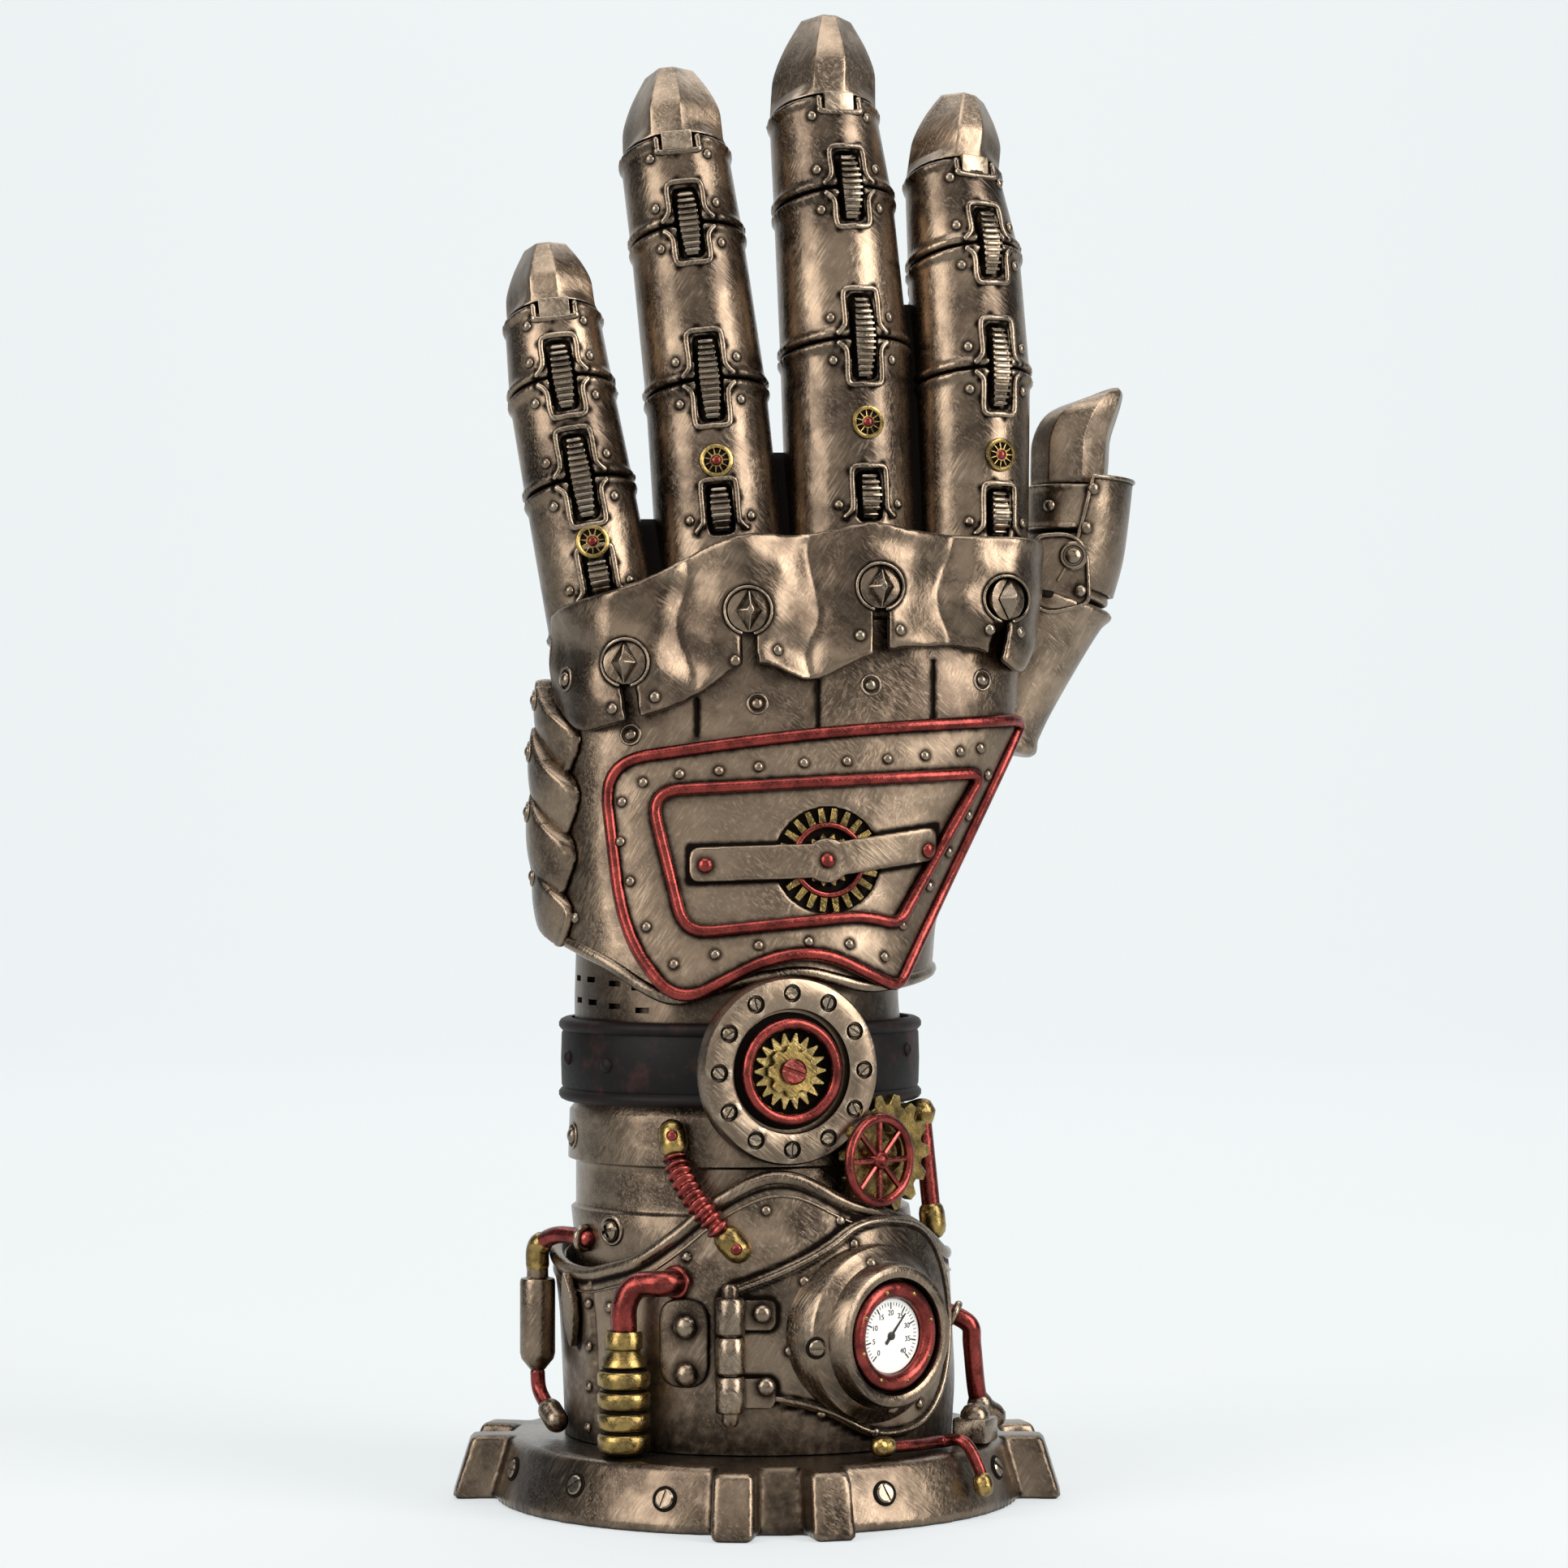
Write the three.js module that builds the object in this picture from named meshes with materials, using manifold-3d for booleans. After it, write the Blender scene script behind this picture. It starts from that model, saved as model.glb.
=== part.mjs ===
// A steampunk gauntlet, a left hand with its fingers raised, standing on a round gear base.
// Millimetres, +Z up. The origin is the centre of the base's underside and -Y is the back of the hand.
import * as THREE from "three";
import { mergeVertices } from "three/addons/utils/BufferGeometryUtils.js";
import Module from "manifold-3d";

const wasm = await Module();
wasm.setup();

// Driving dimensions
const GAP = 0.3; // clearance between neighbouring pieces
const HAND_TURN = 12; // degrees that the hand and wrist are turned about Z on the base
const HAND_TOP = 178; // height of the flat top of the hand shell, where the fingers start

const BASE = {
  height: 13, footRadius: 53.6, topRadius: 50.2, edge: 1, sides: 36,
  toothFoot: 62.2, toothHead: 58, toothTop: 12.4, toothWidth: 8.6, toothSpread: 9.3,
};
// The middle of each pair of teeth, in degrees from +X
const TOOTH_PAIRS = [5.5, 90, 174.5, 275.2];

// Cross-sections: height, centre, half width, half depth and how square the oval is (2 is an ellipse)
const CUFF_ROWS = [
  { z: 10, x: 0.2, y: 0, rx: 39.3, ry: 37.2, square: 2 },
  { z: 24, x: 0.4, y: 0, rx: 40, ry: 37.8, square: 2 },
  { z: 40, x: -0.4, y: 0, rx: 40, ry: 37.4, square: 2 },
  { z: 48, x: -1.2, y: 0, rx: 40.4, ry: 37.2, square: 2 },
  { z: 58, x: -2.4, y: 0, rx: 40, ry: 36.2, square: 2 },
  { z: 72, x: -3.4, y: 0, rx: 39, ry: 35, square: 2 },
];
// The cuff's scalloped upper edge: degrees round from the front, and height
const CUFF_EDGE = [
  { angle: -180, z: 49 }, { angle: -120, z: 51 }, { angle: -92, z: 49.5 }, { angle: -70, z: 46.5 },
  { angle: -54, z: 46 }, { angle: -33, z: 49.5 }, { angle: -20, z: 55 }, { angle: -8, z: 61.5 },
  { angle: 4, z: 66 }, { angle: 12, z: 67 }, { angle: 20, z: 65.4 }, { angle: 30, z: 61.2 },
  { angle: 42, z: 59 }, { angle: 56, z: 56.6 }, { angle: 78, z: 49 }, { angle: 120, z: 47 },
  { angle: 180, z: 49 },
];
const CUFF = { foot: BASE.height + GAP, wall: 2.6, sides: 32, bead: 1.3 };

const BRACER_ROWS = [
  { z: 13, x: 0, y: 0, rx: 34.8, ry: 32, square: 2 },
  { z: 44, x: -1.6, y: 0, rx: 34.8, ry: 31.6, square: 2 },
  { z: 59.2, x: -3.4, y: 0, rx: 34.6, ry: 30.2, square: 2 },
  { z: 59.8, x: -3.6, y: 0, rx: 33.4, ry: 29.2, square: 2 },
  { z: 68.6, x: -3.8, y: 0, rx: 33.2, ry: 28.8, square: 2 },
  { z: 69.2, x: -3.8, y: 0, rx: 34.8, ry: 30, square: 2 },
  { z: 79, x: -3.9, y: 0, rx: 34.4, ry: 29.2, square: 2 },
  { z: 80, x: -3.6, y: 0, rx: 33.8, ry: 28.4, square: 2 },
  { z: 89, x: -3.2, y: 0, rx: 33.8, ry: 28, square: 2 },
];
const SLEEVE_ROWS = [
  { z: 89, x: -3.2, y: 0, rx: 33.8, ry: 28, square: 2 },
  { z: 100, x: -4.2, y: 0, rx: 33.2, ry: 27.4, square: 2 },
  { z: 114, x: -4, y: 0.4, rx: 33, ry: 26.4, square: 2 },
];
const ARM = { bracerTop: 88.8, sleeveTop: 117, sides: 26 };
const STRAP_ROWS = [
  { z: 80, x: -3.4, y: 0, rx: 34.2, ry: 28.7, square: 2 },
  { z: 98, x: -3.4, y: 0, rx: 34.2, ry: 28.3, square: 2 },
];
const STRAP = { low: 80.8, high: 97.6, thickness: 2.4, edge: 1.2, soften: 0.7 };

const HAND_ROWS = [
  { z: 98, x: -3, y: 0.4, rx: 38.2, ry: 30.4, square: 2.1 },
  { z: 106, x: -3, y: 0.6, rx: 39, ry: 29.4, square: 2.1 },
  { z: 121, x: -2.5, y: 1, rx: 39.5, ry: 26.2, square: 2.3 },
  { z: 140, x: 3, y: 1.4, rx: 43.8, ry: 23.6, square: 2.4 },
  { z: 156, x: 6.4, y: 1.8, rx: 47, ry: 22, square: 2.5 },
  { z: 172, x: 6.8, y: 2, rx: 47.6, ry: 20, square: 2.7 },
  { z: 200, x: 7, y: 2, rx: 47.6, ry: 19, square: 2.8 },
];
// The hand's lower lip: degrees round from the front, and height
const HAND_LIP = [
  { angle: -180, z: 109 }, { angle: -110, z: 114 }, { angle: -80, z: 115 }, { angle: -55, z: 112 },
  { angle: -38, z: 108.6 }, { angle: -26, z: 104 }, { angle: -16, z: 101.4 }, { angle: 0, z: 105 },
  { angle: 20, z: 107.5 }, { angle: 42, z: 104 }, { angle: 60, z: 105 }, { angle: 90, z: 107 },
  { angle: 180, z: 109 },
];
const HAND = { sides: 36 };

// Outlines on the back of the hand, seen from the front: x and z of each corner
const PANEL_OUTLINE = [
  { x: -30.6, z: 149.4, round: 9 }, { x: 10, z: 155.2, round: 30 }, { x: 52.6, z: 158.2, round: 2.5 },
  { x: 26.6, z: 104.2, round: 2.5 }, { x: 9, z: 114, round: 16 }, { x: -15.5, z: 101.2, round: 7 },
  { x: -26.4, z: 115, round: 12 },
];
const PANEL_INSET = [
  { x: -21, z: 143.4, round: 6 }, { x: 44.8, z: 148, round: 2.5 }, { x: 27.6, z: 117, round: 2 },
  { x: 21, z: 119, round: 4 }, { x: -14, z: 115.6, round: 5 },
];
const PANEL = { thickness: 1.4, edgeTrim: 1.15, insetTrim: 0.85, windowRadius: 11.2 };
const PANEL_GEAR = { x: 14.2, z: 129.8, rim: 10.6, root: 8.6, hub: 3, teeth: 11, thickness: 0.7 };
const PANEL_BAR = { left: -14, right: 33.4, width: 6.4, rise: 5.4, boss: 4.3, thickness: 1.2 };

// The knuckle guard, seen from the front
const GUARD_OUTLINE = [
  { x: -46, z: 175, round: 3 }, { x: -40, z: 180.6, round: 4 }, { x: -22, z: 185.4, round: 10 },
  { x: -4.4, z: 195.8, round: 10 }, { x: 10, z: 194.4, round: 8 }, { x: 22.4, z: 198.4, round: 9 },
  { x: 34, z: 195.4, round: 8 }, { x: 60, z: 195.2, round: 2 }, { x: 58.5, z: 176, round: 4 },
  { x: 54, z: 166.4, round: 3 }, { x: 46, z: 172.6, round: 6 }, { x: 25.6, z: 172.4, round: 8 },
  { x: 11, z: 164.8, round: 4 }, { x: -1, z: 170.6, round: 7 }, { x: -14, z: 160.6, round: 8 },
  { x: -35.6, z: 154.8, round: 3 }, { x: -44, z: 165, round: 5 },
];
const GUARD = { stand: 2.2, ridge: 2.2, sides: 38, low: 150, high: 202, slot: 2.8, hole: 4.4 };
// Each knuckle's keyhole: place seen from the front, and the lean of its slot in degrees
const KNUCKLES = [
  { x: -26.1, z: 169.1, lean: 8 }, { x: -1.6, z: 179.5, lean: 2 },
  { x: 24.8, z: 184.5, lean: 0 }, { x: 50.6, z: 182.4, lean: -12 },
];

// Finger axes from root to tip, with the half width at each row; turn is the way the back of the finger faces
const FINGERS = {
  little: {
    turn: 6, hinge: 186.5, rosette: 193.3,
    root: { x: -31, y: -6.6, z: 177, w: 10.8 }, pip: { x: -36.3, y: -7, z: 206.1, w: 11 },
    dip: { x: -40, y: -5, z: 226, w: 10.7 }, cap: { x: -41.9, y: -3, z: 241.4, w: 9.7 },
    tip: { x: -43.2, y: -1, z: 254.5, w: 4.2 },
  },
  ring: {
    turn: 5, hinge: 200, rosette: 209.7,
    root: { x: -6.4, y: -1, z: 177, w: 12.7 }, pip: { x: -10.6, y: 0, z: 226.4, w: 12.2 },
    dip: { x: -14.6, y: 2, z: 257.7, w: 11.6 }, cap: { x: -17.2, y: 4, z: 275.6, w: 11.1 },
    tip: { x: -18.1, y: 7, z: 291, w: 4 },
  },
  middle: {
    turn: 18, hinge: 203, rosette: 217.8,
    root: { x: 20, y: 4, z: 177, w: 12.6 }, pip: { x: 17.8, y: 5, z: 235.2, w: 13.1 },
    dip: { x: 15.5, y: 7, z: 265.5, w: 12.4 }, cap: { x: 13.4, y: 9, z: 284.5, w: 11.1 },
    tip: { x: 12.6, y: 12, z: 302.7, w: 5 },
  },
  index: {
    turn: 28, hinge: 200, rosette: 211.8,
    root: { x: 44.3, y: 9, z: 177, w: 11 }, pip: { x: 44.2, y: 10, z: 229.8, w: 12 },
    dip: { x: 42.5, y: 12, z: 254.7, w: 11.8 }, cap: { x: 40.3, y: 14, z: 272.6, w: 9.8 },
    tip: { x: 42, y: 17, z: 287.5, w: 4 },
  },
};
const FINGER = {
  sides: 12, depth: 0.96, arch: 2.2, lip: 1.2, flare: 1.03, tuck: 0.95,
  slotWidth: 5.2, slotDepth: 2.6, rackWidth: 3.9, rackBulge: 0.9, rackSteps: 3,
  dipSlot: 14.4, pipSlot: 17.4, hingeSlot: 10, tabWidth: 6.2, tabLength: 2, tabDepth: 1.4,
  rosetteRadius: 3.3, rosetteHeight: 0.5,
};
// The fingertip's outline: share of its length, and share of its width
const CAP_PROFILE = [
  { along: 0, wide: 1 }, { along: 0.42, wide: 0.97 }, { along: 0.8, wide: 0.78 }, { along: 1, wide: 0.5 },
];
// Corners of the fingertip's faceted section, in degrees round from the back of the finger
const CAP_FACETS = [-168, -130, -92, -56, -20, 20, 56, 92, 130, 168];

const THUMB = {
  turn: 62,
  sleeve: [
    { x: 49.5, y: 24, z: 153, w: 8.4, lean: 18 }, { x: 53, y: 26, z: 163, w: 9.4, lean: 24 },
    { x: 59.5, y: 28, z: 178, w: 11.4, lean: 24 }, { x: 63, y: 28.4, z: 185, w: 12.6, lean: 20 },
  ],
  link: [
    { x: 63.2, y: 28.4, z: 185.4, w: 10.6, lean: 20 }, { x: 65.4, y: 28.4, z: 193, w: 10.4, lean: 12 },
    { x: 66.3, y: 28.2, z: 198, w: 9.6, lean: 6 },
  ],
  collar: [
    { x: 66.4, y: 28.1, z: 198.4, w: 10.8, lean: 6 }, { x: 66.8, y: 28, z: 203, w: 10.6, lean: 6 },
    { x: 67.2, y: 27.9, z: 208, w: 10.8, lean: 6 },
  ],
  tip: [
    { x: 66.4, y: 27.9, z: 208.4, w: 9.2, lean: 6 }, { x: 67, y: 27.4, z: 216, w: 9.4, lean: 8 },
    { x: 69.4, y: 26.6, z: 222.6, w: 7.9, lean: 16 }, { x: 72, y: 26, z: 227.4, w: 4.8, lean: 18 },
  ],
  sides: 12, pivotRadius: 4.2, pivotHeight: 1.2,
};

// Overlapping plates down the little-finger side: height of the middle, half length and how far each stands out
const SCALES = [
  { z: 158, half: 9.4, stand: 5 }, { z: 147, half: 10.8, stand: 6.2 }, { z: 135, half: 10.4, stand: 6.2 },
  { z: 122.6, half: 9, stand: 4.2 },
];
const SCALE = { facing: -80, lift: 0.4, width: 18, spread: 34, guardGap: 1.6 };

const MEDALLION = {
  angle: 17, facing: 22, z: 88.4, radius: 18.6, lift: 0.5, thickness: 4.4, well: 12, wellDepth: 2.4,
  ringRadius: 10.2, ringTube: 1.5, gearTip: 7.7, gearRoot: 5.6, gearTeeth: 11, gearThickness: 1.6, screw: 2.7,
};
const GAUGE = {
  angle: 34.5, facing: 40, z: 36.6, flange: 17.6, skirt: 9, rim: 13, height: 7, bore: 11.4, boreDepth: 3.4,
  ringRadius: 9, ringTube: 1.4, dial: 7.6, dialThickness: 1.2,
};
// The gauge door seen square on: sideways and up from the gauge's middle
const DOOR_OUTLINE = [
  { x: -30, z: 9.6, round: 3 }, { x: -14, z: 17, round: 14 }, { x: -4, z: 24, round: 12 },
  { x: 16, z: 21, round: 14 }, { x: 23, z: 0, round: 18 }, { x: 14, z: -19, round: 14 },
  { x: -3, z: -22, round: 12 }, { x: -15, z: -14.5, round: 14 }, { x: -30, z: -11.6, round: 3 },
];
const DOOR = { facing: 41, thickness: 1.4 };
const HINGE = { angle: -6.5, low: 22, high: 45, radius: 2.3, pin: 1.7, leafWide: 6.2, leafTall: 6 };
const OVAL_PLATE = { angle: -21.5, z: 35.2, wide: 10.4, tall: 17.6, thickness: 1.2 };

const BULB = { angle: -34.5, z: BASE.height + GAP, stand: 6.3, radius: 5, neck: 3.4, height: 24.6 };
const ELBOW = { radius: 2.1, rise: 9.2 };
const HOSE_PATH = [
  { x: -16.6, y: -31.6, z: 76 }, { x: -15.6, y: -33.4, z: 70 }, { x: -12.6, y: -37.6, z: 64.5 },
  { x: -8.4, y: -40.6, z: 59.4 }, { x: -3.6, y: -39.6, z: 54 },
];
const HOSE = { radius: 2.3, knob: 2.9 };
const CANISTER = { angle: -84, z: 37, stand: 4.6, radius: 3.7, length: 16, cone: 3 };
const CANISTER_PIPE = { radius: 1.7, knob: 2.5 };

const WHEEL = {
  angle: 43, facing: 38, z: 70.4, rim: 8.4, rimTube: 0.8, spoke: 0.6, hub: 1.7, spokes: 8, lift: 8,
  gearTip: 11.8, gearRoot: 9.9, gearTeeth: 10, gearThickness: 2.2, gearLift: 3.7,
};
const SIDE_PIPE = { angle: 82, low: 55, high: 80.6, stand: 3.6, lowStand: 4.6, radius: 2.1, knob: 2.9, foot: 0.9 };
const FITTING = { angle: 67, stand: 7.4, width: 7.4, height: 5.2, ball: 3 };
// The drain pipe down the cuff: degrees round from the front, height, lift off the cuff
const DRAIN_PATH = [
  { angle: 77, z: 38, lift: 1.7 }, { angle: 78, z: 35.5, lift: 4.2 }, { angle: 79, z: 31, lift: 4.4 },
  { angle: 81, z: 20, lift: 5.4 }, { angle: 84, z: 16.6, lift: 8.4 },
];
// The thin pipe over the stand's edge: radius, height above the stand, degrees round from the front
const FEED_PATH = [
  { radius: 47, rise: 2.1, angle: 31 }, { radius: 46.6, rise: 1.7, angle: 41.3 },
  { radius: 46, rise: 1.4, angle: 52.7 }, { radius: 50.8, rise: 1.6, angle: 53.9 },
  { radius: 54, rise: -3.2, angle: 54.5 }, { radius: 55.2, rise: -7, angle: 54.5 },
];
const FINGER_HOSE = { radius: 1.7, stand: 1.4, angle: -160 };

const COLOURS = {
  bronze: { color: 0x7a6450, roughness: 0.38, metalness: 0.9 },
  darkBronze: { color: 0x54432f, roughness: 0.45, metalness: 0.85 },
  red: { color: 0xa33a30, roughness: 0.35, metalness: 0.6 },
  brass: { color: 0xa8853a, roughness: 0.38, metalness: 0.9 },
  leather: { color: 0x2e221d, roughness: 0.6, metalness: 0 },
  dial: { color: 0xe9e7df, roughness: 0.3, metalness: 0 },
};

// Solids and meshes
const degrees = (d) => (d * Math.PI) / 180;
const gauntlet = new THREE.Group();

function solidOf(geometry) {
  const bare = (geometry.index ? geometry.toNonIndexed() : geometry).clone();
  bare.deleteAttribute("normal");
  bare.deleteAttribute("uv");
  const merged = mergeVertices(bare, 1e-4);
  return new wasm.Manifold(
    new wasm.Mesh({
      numProp: 3,
      vertProperties: new Float32Array(merged.attributes.position.array),
      triVerts: new Uint32Array(merged.index.array),
    }),
  );
}

function geometryOf(solid) {
  const mesh = solid.getMesh();
  const positions = new Float32Array(mesh.numVert * 3);
  for (let i = 0; i < mesh.numVert; i++) {
    positions.set(mesh.vertProperties.subarray(i * mesh.numProp, i * mesh.numProp + 3), i * 3);
  }
  return new THREE.BufferGeometry()
    .setAttribute("position", new THREE.BufferAttribute(positions, 3))
    .setIndex(new THREE.BufferAttribute(new Uint32Array(mesh.triVerts), 1));
}

const joined = (solids) => solids.reduce((whole, next) => whole.add(next));

function addPiece(name, solid, finish) {
  const geometry = geometryOf(solid.simplify(0.06));
  geometry.computeVertexNormals();
  const mesh = new THREE.Mesh(geometry, new THREE.MeshStandardMaterial(COLOURS[finish]));
  mesh.name = name;
  gauntlet.add(mesh);
}

// A closed solid through rings of the same number of points, each end closed by a fan
function loft(rings) {
  const count = rings[0].length;
  const points = rings.flat();
  const triangles = [];
  for (let r = 0; r + 1 < rings.length; r++) {
    for (let i = 0; i < count; i++) {
      const a = r * count + i;
      const b = r * count + ((i + 1) % count);
      triangles.push(a, b, b + count, a, b + count, a + count);
    }
  }
  const ends = [[rings[0], 0, true], [rings.at(-1), (rings.length - 1) * count, false]];
  for (const [ring, start, facesDown] of ends) {
    const middle = new THREE.Vector3();
    ring.forEach((p) => middle.addScaledVector(p, 1 / count));
    points.push(middle);
    for (let i = 0; i < count; i++) {
      const pair = [start + i, start + ((i + 1) % count)];
      triangles.push(...(facesDown ? pair.reverse() : pair), points.length - 1);
    }
  }
  const geometry = new THREE.BufferGeometry().setFromPoints(points);
  geometry.setIndex(triangles);
  return solidOf(geometry);
}

// A turned solid about Z from a profile of radius and height that starts and ends on the axis
function turned(profile, sides) {
  const points = profile.map(([radius, height]) => new THREE.Vector2(radius, height));
  return solidOf(new THREE.LatheGeometry(points, sides).rotateX(Math.PI / 2));
}

function tube(points, radius, sides, steps, closed = false) {
  const curve = new THREE.CatmullRomCurve3(points, closed);
  if (closed) return solidOf(new THREE.TubeGeometry(curve, steps, radius, sides, true));
  const section = new THREE.Shape();
  section.absarc(0, 0, radius, 0, 2 * Math.PI);
  const options = { steps, extrudePath: curve, curveSegments: sides / 2, bevelEnabled: false };
  return solidOf(new THREE.ExtrudeGeometry(section, options));
}

const ball = (at, radius, sides = 6) =>
  solidOf(new THREE.SphereGeometry(radius, sides, 4).translate(at.x, at.y, at.z));

// Corner points with arcs in place of the sharp corners, as far as each corner's sides allow
function rounded(corners, arcSteps = 2) {
  const outline = [];
  corners.forEach((corner, i) => {
    const here = new THREE.Vector2(corner.x, corner.z);
    const neighbours = [corners.at(i - 1), corners[(i + 1) % corners.length]];
    const [from, to] = neighbours.map((other) => {
      const side = new THREE.Vector2(other.x, other.z).sub(here);
      const cutBack = Math.min(corner.round, side.length() * 0.48);
      return here.clone().addScaledVector(side.normalize(), cutBack);
    });
    outline.push(...new THREE.QuadraticBezierCurve(from, here, to).getPoints(arcSteps));
  });
  return outline;
}

// A flat outline pushed out through the wall at an angle round the arm, where 0 is the front
function prism(outline, facing, centre = { x: 0, y: 0 }, reach = 90) {
  const shape = new THREE.Shape(outline.map((p) => new THREE.Vector2(p.x, p.y)));
  const geometry = new THREE.ExtrudeGeometry(shape, { depth: reach, bevelEnabled: false });
  geometry.rotateX(Math.PI / 2).rotateZ(degrees(facing)).translate(centre.x, centre.y, 0);
  return solidOf(geometry);
}

const circle = (x, z, radius, sides = 16) =>
  Array.from({ length: sides }, (_, i) => {
    const a = (2 * Math.PI * i) / sides;
    return new THREE.Vector2(x + radius * Math.cos(a), z + radius * Math.sin(a));
  });

function gearOutline(teeth, tip, root) {
  const outline = [];
  const shares = [[0.02, root], [0.28, tip], [0.52, tip], [0.78, root]];
  for (let tooth = 0; tooth < teeth; tooth++) {
    for (const [share, radius] of shares) {
      const a = (2 * Math.PI * (tooth + share)) / teeth;
      outline.push(new THREE.Vector2(radius * Math.cos(a), radius * Math.sin(a)));
    }
  }
  return outline;
}

function plate(outline, thickness) {
  const shape = new THREE.Shape(outline);
  return solidOf(new THREE.ExtrudeGeometry(shape, { depth: thickness, bevelEnabled: false }));
}

// Moves a solid whose face looks along +Z so that it looks level outwards, at an angle round the arm
function faceOut(solid, at, facing) {
  const geometry = geometryOf(solid);
  geometry.rotateX(Math.PI / 2).rotateZ(degrees(facing)).translate(at.x, at.y, at.z);
  return solidOf(geometry);
}

function readTable(rows, key, value) {
  const found = rows.findIndex((row) => row[key] >= value);
  const next = found < 0 ? rows.length - 1 : Math.max(1, found);
  const [low, high] = [rows[next - 1], rows[next]];
  const share = THREE.MathUtils.clamp((value - low[key]) / (high[key] - low[key]), 0, 1);
  return Object.fromEntries(Object.keys(low).map((k) => [k, low[k] + (high[k] - low[k]) * share]));
}

const level = (z) => () => z;
const roundAngles = (sides) => Array.from({ length: sides }, (_, i) => (360 * i) / sides - 180);

// The outer skin of an upright form: a point for each angle round from the front, height and lift
class Skin {
  constructor(rows, turn) {
    this.rows = rows;
    this.turn = turn;
  }

  point(angle, z, lift = 0) {
    const row = readTable(this.rows, "z", z);
    const a = degrees(angle - this.turn);
    const power = 2 / row.square;
    const across = Math.sign(Math.sin(a)) * Math.abs(Math.sin(a)) ** power * (row.rx + lift);
    const ahead = Math.sign(Math.cos(a)) * Math.abs(Math.cos(a)) ** power * (row.ry + lift);
    const up = new THREE.Vector3(0, 0, 1);
    const place = new THREE.Vector3(across, -ahead, 0).applyAxisAngle(up, degrees(this.turn));
    return place.add(new THREE.Vector3(row.x, row.y, z));
  }

  // The point of the front half that is seen at x and z from the front
  front(x, z, lift = 0) {
    let [low, high] = [-85 + this.turn, 85 + this.turn];
    for (let i = 0; i < 30; i++) {
      const middle = (low + high) / 2;
      if (this.point(middle, z, lift).x < x) low = middle;
      else high = middle;
    }
    return this.point(low, z, lift);
  }

  // A solid between two edges, with a ring at each row of the table that lies between them all the way round
  solid({ low, high, lift = 0, sides }) {
    const angles = roundAngles(sides);
    const floor = Math.max(...angles.map(low)) + 0.4;
    const ceiling = Math.min(...angles.map(high)) - 0.4;
    const between = this.rows.filter((row) => row.z > floor && row.z < ceiling).map((row) => level(row.z));
    const ring = (edge) => angles.map((angle) => {
      const z = edge(angle);
      return this.point(angle, z, typeof lift === "function" ? lift(angle, z) : lift);
    });
    return loft([low, ...between, high].map(ring));
  }
}

const edgeHeight = (table) => (angle) => readTable(table, "angle", angle).z;

const cuffSkin = new Skin(CUFF_ROWS, 0);
const bracerSkin = new Skin(BRACER_ROWS, 8);
const strapSkin = new Skin(STRAP_ROWS, 9);
const sleeveSkin = new Skin(SLEEVE_ROWS, 10);
const handSkin = new Skin(HAND_ROWS, HAND_TURN);

// A curved sheet cut to an outline: its underside and its face are lifts off a skin
function sheet(skin, range, under, face, cutter) {
  const { low, high, sides } = range;
  const outer = skin.solid({ low: level(low), high: level(high), sides, lift: face });
  const inner = skin.solid({ low: level(low - 4), high: level(high + 4), sides, lift: under });
  return outer.intersect(cutter).subtract(inner);
}

// Gear base
function baseTooth(angle) {
  const profile = new THREE.Shape([
    new THREE.Vector2(44, 0), new THREE.Vector2(BASE.toothFoot, 0),
    new THREE.Vector2(BASE.toothFoot, BASE.edge), new THREE.Vector2(BASE.toothHead, BASE.toothTop),
    new THREE.Vector2(44, BASE.toothTop),
  ]);
  const geometry = new THREE.ExtrudeGeometry(profile, { depth: BASE.toothWidth, bevelEnabled: false });
  geometry.translate(0, 0, -BASE.toothWidth / 2).rotateX(Math.PI / 2).rotateZ(degrees(angle));
  return solidOf(geometry);
}

function makeBase() {
  const disc = turned([
    [0, 0], [BASE.footRadius, 0], [BASE.footRadius, BASE.edge],
    [BASE.topRadius + 0.4, BASE.height - BASE.edge], [BASE.topRadius - 0.8, BASE.height], [0, BASE.height],
  ], BASE.sides);
  const teeth = TOOTH_PAIRS.flatMap((middle) =>
    [-1, 1].map((side) => baseTooth(middle + side * BASE.toothSpread)));
  addPiece("gear_base", joined([disc, ...teeth]), "bronze");
}

// Forearm cuff, its rolled rim, bracer, strap and wrist sleeve
const cuffRange = { low: 6, high: 74, sides: CUFF.sides };

// The space from a height up to the cuff's edge, as far past the edge and off the wall as asked
function cuffRoom(low, past, lift) {
  const high = (angle) => edgeHeight(CUFF_EDGE)(angle) + past;
  return cuffSkin.solid({ low: level(low), high, lift, sides: CUFF.sides });
}

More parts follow.
